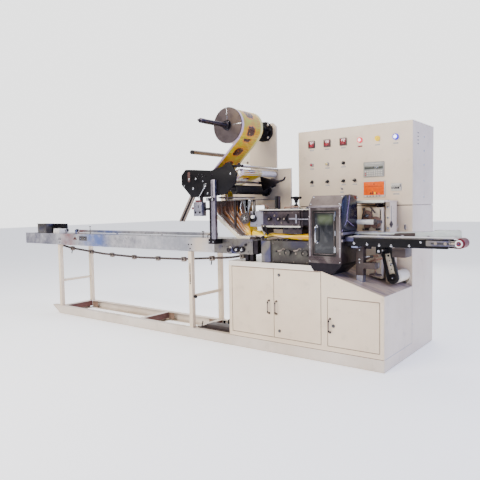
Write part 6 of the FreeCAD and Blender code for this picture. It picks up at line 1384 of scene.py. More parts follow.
def loop_strip(shape, circles, inner, outer, y0, y1, mat=0, teeth=0.0, closed=True):
    """Belt round circles between two offsets from their rims; teeth makes its inner side toothed."""
    rims = [[(x, z, r + extra, turn) for x, z, r, turn in circles] for extra in (inner, outer)]
    points = path_through(rims[1], closed, 10)
    rings = []
    count = len(points)
    for i, p in enumerate(points):
        run = (points[(i + 1) % count] - points[i - 1]).normalized()
        side = right_of(run)
        depth = outer - inner - (teeth if i % 2 else 0)
        low = p - side * depth * circles[0][3]
        rings.append([shape.bm.verts.new(at(q.x, y, q.y)) for q, y in ((p, y0), (p, y1), (low, y1), (low, y0))])
    for a, b in zip(rings, rings[1:] + rings[:1]):
        for k in range(4):
            shape.bm.faces.new((a[k], a[(k + 1) % 4], b[(k + 1) % 4], b[k])).material_index = mat


DISCHARGE_CIRCLES = ((476, 921, 31, 1), (-285, 921, 31, 1))


def discharge():
    beams = Shape()
    for y0, y1, sign in ((53, 59, -1), (181, 187, 1)):
        beams.prism(rounded([(-325, 883), (408, 883), (408, 944), (-325, 944)], 5), "y", y0, y1, 1, 0)
        front = y0 if sign < 0 else y1
        for x, z, radius in ((27, 894, 6), (153, 898, 5), (-250, 905, 6), (-150, 900, 6), (-60, 895, 6), (230, 925, 5)):
            beams.bolt((x, front, z), "y", radius, sign, 1)
    beams.box((-320, 405), (60, 180), (938, 943), 0.8, 2)
    for x in (-200, 60, 330):
        beams.turned((x, 59, 905), "y", [(0, 7), (122, 7)], 16, 1)
    beams.piece("discharge_beams", ["black_paint", "chrome", "steel"], replaces="discharge_frame")
    rails = Shape()
    for y0, y1 in ((50, 58), (182, 190)):
        rails.box((-325, 428), (y0, y1), (944, 949), 1, 0)
    rails.box((-325, -250), (46, 60), (918, 951), 2, 0)
    for y0, y1, sign in ((45, 53, -1), (187, 195, 1)):
        outline = rounded([(266, 901), (488, 901), (500, 912), (500, 930), (488, 937), (266, 937)], 8)
        rails.prism(outline, "y", y0, y1, 1, 0)
        front = y0 if sign < 0 else y1
        slot = rounded([(300, 914), (420, 914), (420, 924), (300, 924)], 5)
        rails.prism(slot, "y", front + 0.4 * sign, front - 0.4 * sign, 0, 1)
        rails.bolt((330, front, 919), "y", 7, sign, 2)
        rails.bolt((392, front, 919), "y", 7, sign, 2)
        rails.turned((476, front, 921), Vector((0, sign, 0)), [(0, 22), (2, 25), (5, 25), (6, 21)], 32, 3)
        rails.turned((476, front + 6 * sign, 921), Vector((0, sign, 0)), [(0, 15), (3, 14), (4, 8)], 24, 4)
        rails.turned((476, front + 9 * sign, 921), Vector((0, sign, 0)), [(0, 7), (5, 7), (6, 5)], 20, 0)
        rails.turned((424, front + 4 * sign, 921), "x", [(0, 5), (30, 5)], 14, 2)
        rails.bolt((424, front + 4 * sign, 921), "x", 7, -1, 2)
    rails.piece("discharge_tension_brackets", ["machined", "panel_dark", "satin", "white_plastic", "maroon"])
    belt = Shape()
    loop_strip(belt, DISCHARGE_CIRCLES, 0, 2.6, 61, 179)
    belt.piece("discharge_belt_loop", ["discharge_belt_mat"], replaces="discharge_belt", smooth=40)
    rollers = Shape()
    for x in (476, -285):
        rollers.turned((x, 59, 921), "y", [(0, 12), (2, 30), (5, 31), (117, 31), (120, 30), (122, 12)], 36, 0)
    rollers.piece("discharge_rollers", ["maroon"])
    guard = Shape()
    guard.prism([(-320, 946), (-320, 972), (260, 990), (290, 1001), (440, 1003), (456, 998), (460, 946)], "y", 186.5, 190,
                0.4, 0)
    guard.piece("discharge_guard", ["clear_guard"])
    strip = Shape()
    strip.prism([(-320, 970), (-320, 974), (260, 992), (290, 1003), (440, 1005), (458, 999), (456, 997), (440, 1002),
                 (291, 1000), (260, 989)], "y", 185.6, 191, 0.3, 0)
    for x in (-280, -120, 60, 240, 420):
        strip.box((x - 8, x + 8), (184, 187), (944, 962), 1, 0)
        strip.bolt((x, 184, 953), "y", 4, -1, 0, False)
    # Thin dark sheet on the guard's inner face: stands in for a dark reflection in the guard.
    strip.prism(rounded([(-12, 954), (150, 956), (150, 980), (6, 976)], 6), "y", 185.2, 186.2, 0.2, 1)
    strip.prism([(-320, 948), (8, 950), (8, 966), (-320, 964)], "y", 185.4, 186.2, 0.2, 2)
    strip.piece("discharge_guard_edge", ["steel", "seal_dark", "machined"])


def belt_arm():
    top, low = (-115, 842), (-62, 630)
    run = Vector((low[0] - top[0], low[1] - top[1])).normalized()
    side = Vector((run.y, -run.x))
    shape = Shape()
    plate = []
    for centre, sign in ((Vector(top), -1), (Vector(low), 1)):
        for k in range(13):
            angle = math.pi * k / 12
            plate.append(centre + (side * -math.cos(angle) * sign * -1 + run * sign * math.sin(angle)) * 21)
    shape.prism(plate, "y", 338, 346, 1, 0)
    for share, radius in ((0.22, 8), (0.4, 5), (0.56, 6), (0.7, 4)):
        p = Vector(top).lerp(Vector(low), share)
        shape.turned((p.x, 338, p.y), "y", [(0.4, radius), (-0.6, radius)], 20, 1)
    p = Vector(top).lerp(Vector(low), 0.52)
    shape.bolt((p.x + 7, 338, p.y), "y", 6, -1, 2)
    for (x, z), radius in ((top, 31), (low, 31)):
        shape.turned((x, 318, z), "y", [(0, radius - 8), (1, radius + 1), (3, radius + 1), (3.4, radius - 1),
                                        (18.6, radius - 1), (19, radius + 1), (21, radius + 1), (22, 10)], 36, 1)
        shape.turned((x, 312, z), "y", [(0, 9), (2, 11), (8, 11)], 20, 1)
        shape.socket((x, 312, z), "y", 5, -1, 2, 1)
    shape.turned((-62, 346, 630), "y", [(0, 40), (2, 46), (6, 46), (6.5, 42), (30, 42), (31, 46), (223, 46)], 44, 0)
    for k in range(6):
        angle = math.tau * k / 6
        shape.socket((-62 + 35 * math.cos(angle), 346, 630 + 35 * math.sin(angle)), "y", 4.5, -1, 2, 1)
    shape.box((-137, -93), (181, 187), (822, 884), 1.5, 1)
    shape.turned((-115, 175, 842), "y", [(0, 8), (2, 10), (142, 10)], 24, 2)
    shape.turned((-115, 187, 842), "y", [(0, 19), (4, 19), (5, 16)], 26, 1)
    shape.piece("belt_arm_plate", ["cream_arm", "black_paint", "chrome", "black_steel"], replaces="belt_arm")
    belt = Shape()
    loop_strip(belt, ((*low, 31, 1), (*top, 31, 1)), -7, 13, 318, 340, 0, 2.2)
    belt.piece("arm_belt_toothed", ["black_rubber"], replaces="arm_belt", smooth=25)


def height_wheel():
    """Spoked handwheel under the conveyor with its threaded stem."""
    shape = Shape()
    x, y = -150, 205
    rim = [(x + 41 * math.cos(math.tau * k / 40), y + 41 * math.sin(math.tau * k / 40), 662) for k in range(40)]
    shape.bar(rim, 5.6, 12, 0, closed=True)
    for k in range(5):
        angle = math.tau * k / 5
        c, s = math.cos(angle), math.sin(angle)
        shape.bar([(x + 8 * c, y + 8 * s, 664), (x + 40 * c, y + 40 * s, 662)], 4.6, 10, 0)
    shape.turned((x, y, 656), "z", [(0, 12), (2, 15), (14, 15), (22, 11), (24, 8)], 26, 0)
    shape.turned((x, y, 656), "z", [(-3, 4), (0, 6)], 12, 1)
    thread = [(0, 7.4)]
    for k in range(56):
        thread += [(k * 2 + 0.9, 8), (k * 2 + 1.9, 7.2)]
    shape.turned((x, y, 679), "z", thread, 18, 1)
    shape.piece("height_wheel_spoked", ["seal_dark", "brass_dark"], "height_wheel", "height_handwheel", smooth=30)


def pressure_wheel():
    """Five-lobed black knob on the pressure screw."""
    x, y = -742, 70
    shape = Shape()
    lobes = lambda angle, along: 0.82 + 0.18 * math.cos(5 * angle)
    shape.turned((x, y, 1236), "z", [(0, 30), (2, 40), (5, 45), (11, 46), (15, 44), (18, 36), (19, 16)], 60, 0,
                 squash=lobes)
    shape.turned((x, y, 1206), "z", [(0, 11), (3, 13), (18, 15), (28, 22), (31, 24)], 28, 0)
    shape.turned((x, y, 1254), "z", [(0, 12), (3, 12), (4, 9)], 20, 1)
    thread = [(0, 7.6)]
    for k in range(24):
        thread += [(k * 2 + 0.9, 8.4), (k * 2 + 1.9, 7.6)]
    shape.turned((x, y, 1158), "z", thread, 20, 1)
    shape.turned((x, y, 1158), "z", [(0, 22), (2, 24), (9, 24), (11, 20)], 6, 1)
    shape.turned((x, y, 1180), "z", [(0, 15), (1, 16), (14, 16), (15, 14)], 28, 0)
    shape.piece("pressure_knob", ["black_paint", "chrome"], "pressure_wheel", "pressure_handwheel", smooth=30)


def jaws():
    for node, body, z, name in (("lower_jaw", "lower_jaw_body", 885, "lower_jaw_ribbed"),
                                ("upper_jaw", "upper_jaw_body", 993, "upper_jaw_ribbed")):
        shape = Shape()
        shape.turned((-460, 36, z), "y", [(0, 11), (1.5, 12), (226, 12), (228, 11)], 28, 0)
        for end, y0 in ((-1, 49), (1, 165)):
            shape.turned((-460, y0, z), "y", [(0, 20), (2, 22), (23, 22), (25, 20)], 30, 1)
        shape.box((-470, -450), (56, 184), (z - 42, z + 42), 1.5, 0)
        for sign in (-1, 1):
            for k in range(9):
                offset = -8 + 2 * k
                shape.box((-460 + offset - 0.6, -460 + offset + 0.6), (58, 182), (z + sign * 45 - 3, z + sign * 45 + 3), 0, 1)
            shape.box((-470.5, -449.5), (56, 184), (z + sign * 34 - 5, z + sign * 34 + 5), 1, 2)
            for y in (75, 120, 165):
                shape.socket((-449.5, y, z + sign * 34), "x", 4, 1, 1, 2)
        shape.piece(name, ["steel", "chrome", "black_steel"], body, node)


def gearbox():
    """Tan casing of the sealing drive on its cream base, with gears, clamps, rods and the pale roller."""
    shape = Shape()
    shape.box((-320, -160), (354, 500), (975, 1160), 4, 0)
    for x0, x1, z0, z1 in ((-312, -304, 1060, 1150), (-176, -166, 1060, 1150), (-300, -262, 984, 1004),
                           (-244, -236, 1084, 1150), (-208, -168, 984, 1000)):
        shape.box((x0, x1), (350, 354), (z0, z1), 1.5, 4)
    base_top = 976
    shape.prism([(-314, 640), (-166, 612), (-166, base_top), (-314, base_top)], "y", 360, 494, 2, 0)
    for x, z, radius, teeth in ((-272, 1098, 40, 26), (-205, 1046, 46, 30)):
        shape.turned((x, 330, z), "y", [(0, radius - 6), (1, radius), (19, radius), (20, radius - 6)], teeth * 4, 1,
                     squash=gear_tooth(teeth))
        shape.turned((x, 350, z), "y", [(0, 20), (4, 20)], 24, 1)
        shape.turned((x, 322, z), "y", [(0, 12), (2, 16), (9, 16)], 24, 4)
        shape.bolt((x, 322, z), "y", 7, -1, 2)
        for k in range(4):
            angle = math.tau * k / 4 + 0.4
            shape.turned((x + 0.6 * radius * math.cos(angle), 329.4, z + 0.6 * radius * math.sin(angle)), "y",
                         [(0, 5), (0.8, 5)], 14, 3)
    shape.turned((-325, 250, 1052), "x", [(0, 17), (1, 18), (152, 18), (153, 16)], 30, 5)
    shape.turned((-178, 250, 1052), "x", [(0, 20), (2, 23), (12, 23), (14, 18), (28, 16), (30, 12)], 30, 3)
    shape.box((-172, -156), (240, 354), (1040, 1062), 2, 3)
    for x in (-310, -170):
        for z in (990, 1145):
            shape.socket((x, 354, z), "y", 6, -1, 2, 3)
    shape.box((-300, -250), (344, 356), (1004, 1030), 2, 1)
    shape.bar([(-240, 348, 1150), (-240, 320, 1165), (-200, 318, 1120)], 6, 12, 3, bend=14)
    shape.bar([(-296, 340, 1156), (-296, 332, 1120), (-312, 328, 1060)], 5, 12, 4, bend=14)
    shape.box((-330, -190), (200, 350), (962, 976), 2, 5)
    shape.piece("sealing_drive", ["tan_paint", "brass_dark", "chrome", "seal_dark", "seal_dark", "white_plastic"],
                replaces="seal_gearbox")


def rear_shelf():
    shape = Shape()
    for x, y in ((-420, 310), (-140, 310), (-300, 540), (-140, 430)):
        shape.bolt((x, y, 1212), "z", 5, 1, 1)
    shape.box((-440, -120), (290, 294), (1196, 1214), 1, 0)
    shape.box((-440, -120), (292, 296), (1190, 1196), 1, 4)
    shape.prism([(420, 1200), (540, 1200), (540, 1150)], "x", -148, -142, 0.8, 0)
    shape.prism([(300, 1200), (430, 1200), (430, 1112)], "x", -202, -190, 0.8, 2)
    shape.box((-210, -182), (420, 440), (1090, 1200), 1, 2)
    for z in (1000, 1080, 1160):
        shape.bolt((-131, 400, z), "y", 6, -1, 1)
    shape.prism(rounded([(384, 1030), (425, 1062), (466, 1028), (425, 998)], 6), "x", -114.2, -113, 0.3, 2)
    shape.bar([(-113.6, 426, 1062), (-113.6, 426, 1170)], 2.2, 8, 4)
    for z in (1090, 1120, 1150):
        shape.turned((-114, 470, z), "x", [(0, 3), (1, 2.6)], 12, 1)
    shape.piece("rear_shelf_edge", ["pale_green", "chrome", "dark_steel", "maroon_steel", "seam"])
    stand = Shape()
    for z in (756, 780, 850):
        stand.bolt((-245, 140, z), "y", 6, -1, 0)
    stand.turned((-245, 165, 752), "z", [(0, 34), (3, 34), (5, 30)], 6, 1)
    stand.box((-274, -216), (136, 194), (660, 884), 3, 4)
    stand.box((-330, -176), (176, 200), (856, 884), 3, 1)
    stand.bar([(-291, 200, 769), (-220, 206, 774), (-184, 214, 800), (-129, 216, 806)], 8, 14, 3, bend=30)
    stand.bar([(-284, 200, 722), (-230, 208, 736), (-184, 212, 764), (-102, 216, 786)], 8, 14, 3, bend=30)
    # Dark block under the conveyor's far side: a guessed motor bracket, put where dark shade shows.
    stand.box((-20, 78), (192, 330), (800, 866), 3, 4)
    stand.box((-222, -124), (136, 194), (712, 756), 3, 4)
    stand.bar([(-245, 150, 800), (-190, 130, 800), (-160, 128, 806)], 5, 12, 0, bend=12)
    stand.turned((-160, 128, 806), "x", [(0, 8), (2, 10), (20, 10), (24, 7)], 20, 2)
    stand.piece("discharge_stand_fittings", ["chrome", "black_steel", "black_rubber", "brass_dark", "seal_dark"])


# Infeed conveyor, its chain and the base

def infeed_fittings():
    face = 20
    shape = Shape()
    for x, z in ((-1848, 849), (-1812, 850), (-1829, 813), (-3848, 849), (-3818, 849), (-3833, 815)):
        shape.turned((x, face, z), "y", [(0, 7), (-1.5, 6), (-4, 5.5)], 16, 1)
    shape.prism(rounded([(-3471, 842), (-3335, 842), (-3335, 890), (-3471, 890)], 6), "y", face - 3, face, 0.8, 2)
    for x in (-3440, -3366):
        shape.turned((x, face - 3.4, 866), "y", [(0, 15), (0.8, 15)], 22, 1)
        shape.turned((x, face - 3.6, 866), "y", [(-2, 6), (0, 8)], 16, 0)
    shape.prism(rounded([(-3590, 850), (-3506, 850), (-3546, 884)], 8), "y", face - 0.6, face, 0.1, 3)
    shape.turned((-3546, face - 1, 862), "y", [(-3, 5), (0, 8)], 16, 1)
    for x in (-2760, -2716, -2738):
        shape.turned((x, face, 860 if x != -2738 else 880), "y", [(0, 4), (-1.5, 3)], 12, 0)
    for x in range(-4480, -1600, 240):
        for z in (800, 900):
            shape.turned((x, face, z), "y", [(0, 4), (-1.2, 3.4), (-1.6, 1)], 12, 0)
            shape.turned((x, 220, z), "y", [(0, 4), (1.2, 3.4), (1.6, 1)], 12, 0)
    shape.box((-3760, -1640), (190, 193), (924, 948), 0.5, 0)
    for x, top in ((-1688, 973), (-3299, 1002)):
        shape.turned((x, 40, 909), "z", [(0, 9), (3, 9), (3.5, 4), (top - 921, 4), (top - 920, 6), (top - 909, 6)], 16,
                     1 if top < 1000 else 2)
        shape.box((x - 17, x + 17), (37, 43), (top - 8, top - 3), 1.6, 1 if top < 1000 else 2)
        shape.box((x - 14, x + 14), (30, 62), (909, 915), 1, 0)
    shape.bar([(-1650, 60, 912), (-1650, 60, 936), (-1610, 60, 946)], 4, 12, 1, bend=10)
    for x in (-1205, -1155):
        shape.box((x - 3, x + 29), (17, 64), (729, 788), 1.5, 1)
    shape.box((-1127, -1079), (17, 64), (794, 906), 2, 1)
    shape.box((-1125, -1085), (64, 176), (800, 870), 2, 1)
    shape.piece("infeed_fittings", ["steel", "black_steel", "machined", "primer"])


def end_stops():
    shape = Shape()
    shape.box((-4290, -4116), (32, 144), (909, 1022), 2, 0)
    shape.box((-4292, -4114), (30, 34), (1015, 1024), 1, 0)
    for x in (-4275, -4145):
        shape.turned((x, 31, 925), "y", [(0, 5), (-2, 4)], 12, 3)
    shape.box((-4116, -3900), (140, 180), (961, 1020), 1.5, 1)
    shape.box((-4116, -4060), (140, 180), (909, 965), 1.5, 1)
    for x in (-4090, -3925):
        shape.bolt((x, 140, 990), "y", 6, -1, 1)
    shape.prism(rounded([(-4008, 909), (-3890, 909), (-3890, 960), (-4001, 967)], 5), "y", 56, 138, 1.5, 2)
    shape.piece("end_stop_blocks", ["machined", "black_paint", "white_plastic", "chrome"],
                replaces="infeed_end_stops")
    wheels = Shape()
    for x in (-3755, -3570):
        wheels.turned((x, 56, 951), "y", [(0, 5), (1, 13), (3, 15), (23, 15), (25, 13), (26, 5)], 28, 0)
        wheels.turned((x, 54, 951), "y", [(0, 5), (2, 7)], 6, 1)
        wheels.box((x - 14, x + 14), (46, 56), (909, 958), 2, 2)
        wheels.box((x - 22, x + 22), (40, 70), (909, 914), 1, 2)
        wheels.bar([(x + 12, 50, 930), (x + 48, 50, 934), (x + 62, 52, 950)], 4, 10, 1, bend=12)
    wheels.piece("end_stop_wheels", ["black_rubber", "chrome", "steel"])


CHAIN_ENDS = (-1145, -4060)
SAG = ((0.15, 50), (0.32, 13), (0.5, 0), (0.68, 11), (0.85, 46))
CHAIN_CIRCLES = tuple((x, 838, 48, 1) for x in CHAIN_ENDS)
CHAIN_CIRCLES += tuple((-4060 + 2915 * share, 687 + rise + 1200, 1200, 1) for share, rise in SAG)


def chain_lines(pitch):
    """Evenly spaced places and directions along the chain's loop."""
    points = path_through(CHAIN_CIRCLES, True, 8)
    lengths = [(points[i - 1] - p).length for i, p in enumerate(points)]
    total = sum(lengths)
    count = round(total / pitch)
    spots, travelled, target = [], 0, 0
    for i in range(1, len(points) + 1):
        a, b = points[i - 1], points[i % len(points)]
        length = (b - a).length
        while target < travelled + length and len(spots) < count:
            spots.append((a.lerp(b, (target - travelled) / length), (b - a).normalized()))
            target += total / count
        travelled += length
    return spots


def pusher(shape, spot, run, upper, finger):
    """Pusher block on the chain, with its pin, its plate and now and then a longer finger."""
    out = right_of(run)
    middle = spot + out * (6 if upper else 2)
    half = 12 if upper else 22
    shape.box((middle.x - half, middle.x + half), (LINE_Y - 16, LINE_Y + 16), (middle.y - half, middle.y + half), 3, 0,
              (math.atan2(-run.y, run.x), "y"))
    shape.turned((middle.x, LINE_Y - 20, middle.y), "y", [(0, 8), (1, 9), (39, 9), (40, 8)], 16, 1)
    tip = spot + out * (60 if finger else 27) + run * (-16 if finger else 0)
    shape.bar([(spot.x, LINE_Y, spot.y), (tip.x, LINE_Y, tip.y)], 5.5, 12, 1 if finger else 0)


def chain_links():
    """Roller chain with side plates, pusher blocks at an even pitch and two long fingers."""
    shape = Shape()
    spots = chain_lines(25)
    for i, (p, run) in enumerate(spots):
        q = spots[(i + 1) % len(spots)][0]
        reach = 9 if i % 2 else 6.6
        for sign in (-1, 1):
            y = LINE_Y + sign * (reach - 0.9)
            side = Vector((-run.y, run.x))
            ends = []
            for centre, first in ((p, 1), (q, -1)):
                for k in range(5):
                    angle = math.pi * (k / 4 - 0.5)
                    ends.append(centre + (run * -math.cos(angle) + side * math.sin(angle) * -1) * 9.5 * first)
            shape.prism(ends, "y", y - 0.9, y + 0.9, 0, 0)
        shape.turned((p.x, LINE_Y - 10, p.y), "y", [(0, 3), (5, 3), (5.1, 5.4), (14.9, 5.4), (15, 3), (20, 3)], 10, 0)
    shape.piece("chain_linked", ["seal_dark"], replaces="pusher_chain", smooth=25)
    lugs = Shape()
    travelled = 0
    target = 268
    placed = 0
    for (p, run), (q, unused) in zip(spots, spots[1:] + spots[:1]):
        length = (q - p).length
        if travelled <= target < travelled + length:
            spot = p.lerp(q, (target - travelled) / length)
            target += 347
            upper = spot.y > 860
            turning = not upper and (spot.x < -4050 or spot.x > -1200)
            if not turning and (not upper or spot.x < -1260):
                pusher(lugs, spot, run, upper, placed in (9, 15))
            placed += 1
        travelled += length
    lugs.piece("chain_pushers", ["satin", "black_steel"])
    wheels = Shape()
    for x in CHAIN_ENDS:
        wheels.turned((x, LINE_Y - 4, 838), "y", [(0, 30), (0.6, 43), (7.4, 43), (8, 30)], 96, 0,
                      squash=lambda angle, along: 1 + 0.07 * math.cos(12 * angle))
        wheels.turned((x, LINE_Y - 16, 838), "y", [(0, 20), (2, 22), (30, 22), (32, 20)], 28, 0)
        wheels.turned((x, 26, 838), "y", [(0, 14), (188, 14)], 24, 1)
        wheels.turned((x, 22, 838), "y", [(0, 24), (4, 24)], 24, 1)
    wheels.piece("chain_sprocket_wheels", ["dark_steel", "steel"], replaces="chain_sprockets", smooth=30)


def infeed_drive():
    """Hub, timing pulleys, bearings and bolts on the plate at the chain's driven end."""
    shape = Shape()
    shape.prism(rounded([(-1540, 787), (-1125, 787), (-1125, 913), (-1540, 913)], 4), "y", 12, 20, 1.2, 0)
    for x, z, radius in ((-1450, 879, 6), (-1445, 844, 6), (-1374, 886, 5), (-1163, 887, 6), (-1138, 888, 5),
                         (-1170, 808, 6), (-1520, 800, 5), (-1520, 896, 5)):
        shape.turned((x, 12, z), "y", [(0, radius), (-0.8, radius * 0.9), (-1.2, radius * 0.3)], 16, 2)
    x, z = -1357, 820
    shape.turned((x, 12, z), "y", [(0, 36), (-2, 36), (-3, 34), (-16, 34), (-20, 28), (-22, 17)], 40, 0)
    shape.turned((x, -8, z), "y", [(0, 17), (-13, 17), (-14, 15)], 30, 1)
    shape.turned((x, -22, z), "y", [(0, 7), (-1, 6)], 6, 2)
    for k in range(4):
        angle = math.tau * k / 4 + 0.78
        shape.socket((x + 28 * math.cos(angle), -4, z + 28 * math.sin(angle)), "y", 4, -1, 3, 2)
    for x in (-1287, -1231):
        shape.turned((x, 12, 826), "y", [(0, 20), (-2, 26), (-4, 26), (-5, 23), (-13, 23), (-14, 26), (-16, 26), (-17, 16)],
                     48, 1, squash=lambda angle, along: 1 - (0.05 if -14 < along < -4 and math.sin(20 * angle) > 0 else 0))
        shape.turned((x, -5, 826), "y", [(0, 11), (-3, 11), (-4, 8)], 20, 3)
    shape.turned((-1195, 12, 866), "y", [(0, 12), (-8, 12), (-10, 9)], 24, 1)
    shape.piece("infeed_drive_plate", ["machined", "black_steel", "panel_dark", "chrome"], replaces="infeed_drive")


def base_fittings():
    """Primer inside the base channels, the drip tray with a small tensioner, foot, leg knob and plates."""
    inner = Shape()
    for x0, x1 in ((-3802, -3700), (-2512, -2440), (-1960, -1844)):
        inner.box((x0, x1), (413, 414), (20, 80), 0, 1)
    for x in (-3802.4, -2563.6, -2512.4, -1843.6, -1792.4):
        inner.box((x - 0.5, x + 0.5), (52, 412), (26, 86), 0, 0)
    inner.piece("base_primer_faces", ["primer", "seam_brown"])
    tray = Shape()
    tray.box((-1790, -1374), (54, 410), (62, 68), 1, 0)
    tray.box((-1790, -1374), (54, 60), (62, 100), 1, 0)
    tray.box((-1700, -1376), (70, 180), (68, 128), 6, 0)
    tray.turned((-1600, 330, 68), "z", [(0, 44), (60, 44), (70, 30), (74, 10)], 30, 1)
    tray.box((-1720, -1500), (200, 330), (68, 92), 3, 0)
    tray.box((-1560, -1400), (90, 200), (68, 80), 3, 0)
    tray.bar([(-1740, 80, 72), (-1690, 96, 120), (-1650, 110, 96)], 6, 12, 1, bend=18)
    tray.bar([(-1760, 70, 70), (-1742, 74, 150)], 5, 12, 1)
    tray.turned((-1640, 260, 92), "z", [(0, 20), (3, 20), (5, 9), (38, 9), (40, 6)], 24, 1)
    tray.turned((-1700, 120, 90), "y", [(0, 20), (2, 24), (8, 24), (10, 20)], 40, 1, squash=gear_tooth(14))
    tray.piece("base_tray", ["seal_dark", "black_steel"])
    legs = Shape()
    for x in (-3853, -1843):
        for y0, y1 in ((0, 50), (414, 464)):
            legs.box((x - 8, x + 48), (y0 + 1, y1 - 1), (89.5, 94), 1, 0)
            for shift in (-3, 43):
                legs.bolt((x + shift, (y0 + y1) / 2, 94), "z", 3.5, 1, 1, False)
    legs.piece("leg_base_plates", ["base_steel", "chrome"])
    knob = Shape()
    knob.turned((-1800, 25, 377), "x", [(0, 7), (6, 7), (8, 13), (22, 15), (30, 13), (32, 8)], 24, 0)
    knob.prism(rounded([(-1829, 490), (-1817, 490), (-1817, 680), (-1829, 680)], 5.5), "y", 4.2, 5.6, 0, 1)
    for z in (505, 590, 668):
        knob.bolt((-1823, 5, z), "y", 5, -1, 2, False)
    knob.piece("leg_knob", ["black_rubber", "seam", "chrome"])
    foot = Shape()
    foot.turned((-3881, 34, 0), "z", [(0, 20), (3, 22), (10, 22), (14, 16), (16, 8), (60, 8)], 28, 0)
    foot.turned((-3881, 34, 56), "z", [(0, 12), (9, 12)], 6, 1)
    foot.bar([(-3970, 40, 80), (-3905, 36, 78), (-3885, 34, 50)], 5, 12, 1, bend=12)
    foot.piece("levelling_foot", ["black_steel", "chrome"])


# Folding box, draw wheel and fin sealing units

def former_fittings():
    shape = Shape()
    x, z = -1195, 1086
    shape.turned((x, 2, z), "y", [(0, 38), (1, 45), (2, 47), (12, 47), (13, 45), (14, 30)], 120, 0,
                 squash=lambda angle, along: 1 - (0.03 if math.sin(60 * angle) > 0 else 0))
    shape.turned((x, 0.5, z), "y", [(0, 33), (1.5, 34)], 44, 1)
    for k in range(6):
        angle = math.tau * k / 6 + 0.2
        shape.turned((x + 24 * math.cos(angle), 0.2, z + 24 * math.sin(angle)), "y", [(0, 6), (0.6, 6)], 16, 3)
    shape.turned((x, -7, z), "y", [(0, 6), (1, 9), (8, 10)], 20, 2)
    shape.turned((x, 16, z), "y", [(0, 29), (32, 29), (34, 26)], 36, 3)
    shape.turned((-1123, 4, 1098), "y", [(0, 9), (2, 14), (24, 14), (26, 10)], 26, 4)
    shape.turned((-1136, 28, 1084), "y", [(0, 26), (2, 30), (16, 30)], 30, 3)
    shape.box((-1142, -1118), (44, 56), (1080, 1239), 2, 1)
    shape.box((-1190, -1118), (44, 56), (1222, 1239), 2, 1)
    hanger = rounded([(-1236, 1239), (-1150, 1239), (-1158, 1200), (-1178, 1150), (-1183, 1096), (-1207, 1096),
                      (-1213, 1150), (-1226, 1200)], 8)
    shape.prism(hanger, "y", 32, 45, 1.5, 2)
    for bx, bz in ((-1195, 1180), (-1217, 1226), (-1168, 1226), (-1195, 1140)):
        shape.socket((bx, 32, bz), "y", 5, -1, 2, 3)
    shape.bar([(-1250, 40, 1232), (-1262, 30, 1180), (-1240, 26, 1130)], 5, 12, 2, bend=18)
    for bx in (-1338, -1300, -1216):
        shape.bar([(bx, 58, 1236), (bx, 58, 1000 if bx < -1310 else 1130)], 6, 14, 3 if bx < -1230 else 2)
    shape.box((-1349, -1186), (-40, -34), (1236, 1246), 1, 1)
    for bx in (-1330, -1270, -1210):
        shape.socket((bx, -40, 1241), "y", 3.6, -1, 2, 3)
    shape.piece("draw_wheel_and_rods", ["steel", "machined", "chrome", "black_steel", "white_plastic"])
    edge = Shape()
    for y0 in (55, 183):
        line = [(-1530, 1116), (-1506, 1116), (-1286, 938), (-1125, 938), (-1125, 934), (-1290, 934), (-1508, 1112),
                (-1530, 1112)]
        edge.prism(line, "y", y0 - 1.6, y0 + 3.6, 0.4, 0)
    edge.prism([(-1560, 1124), (-1538, 1124), (-1288, 936), (-1182, 932), (-1182, 914), (-1310, 914), (-1558, 1098)], "y",
               51, 54.5, 0.6, 1)
    edge.piece("folding_box_rim", ["chrome", "cream_arm"])


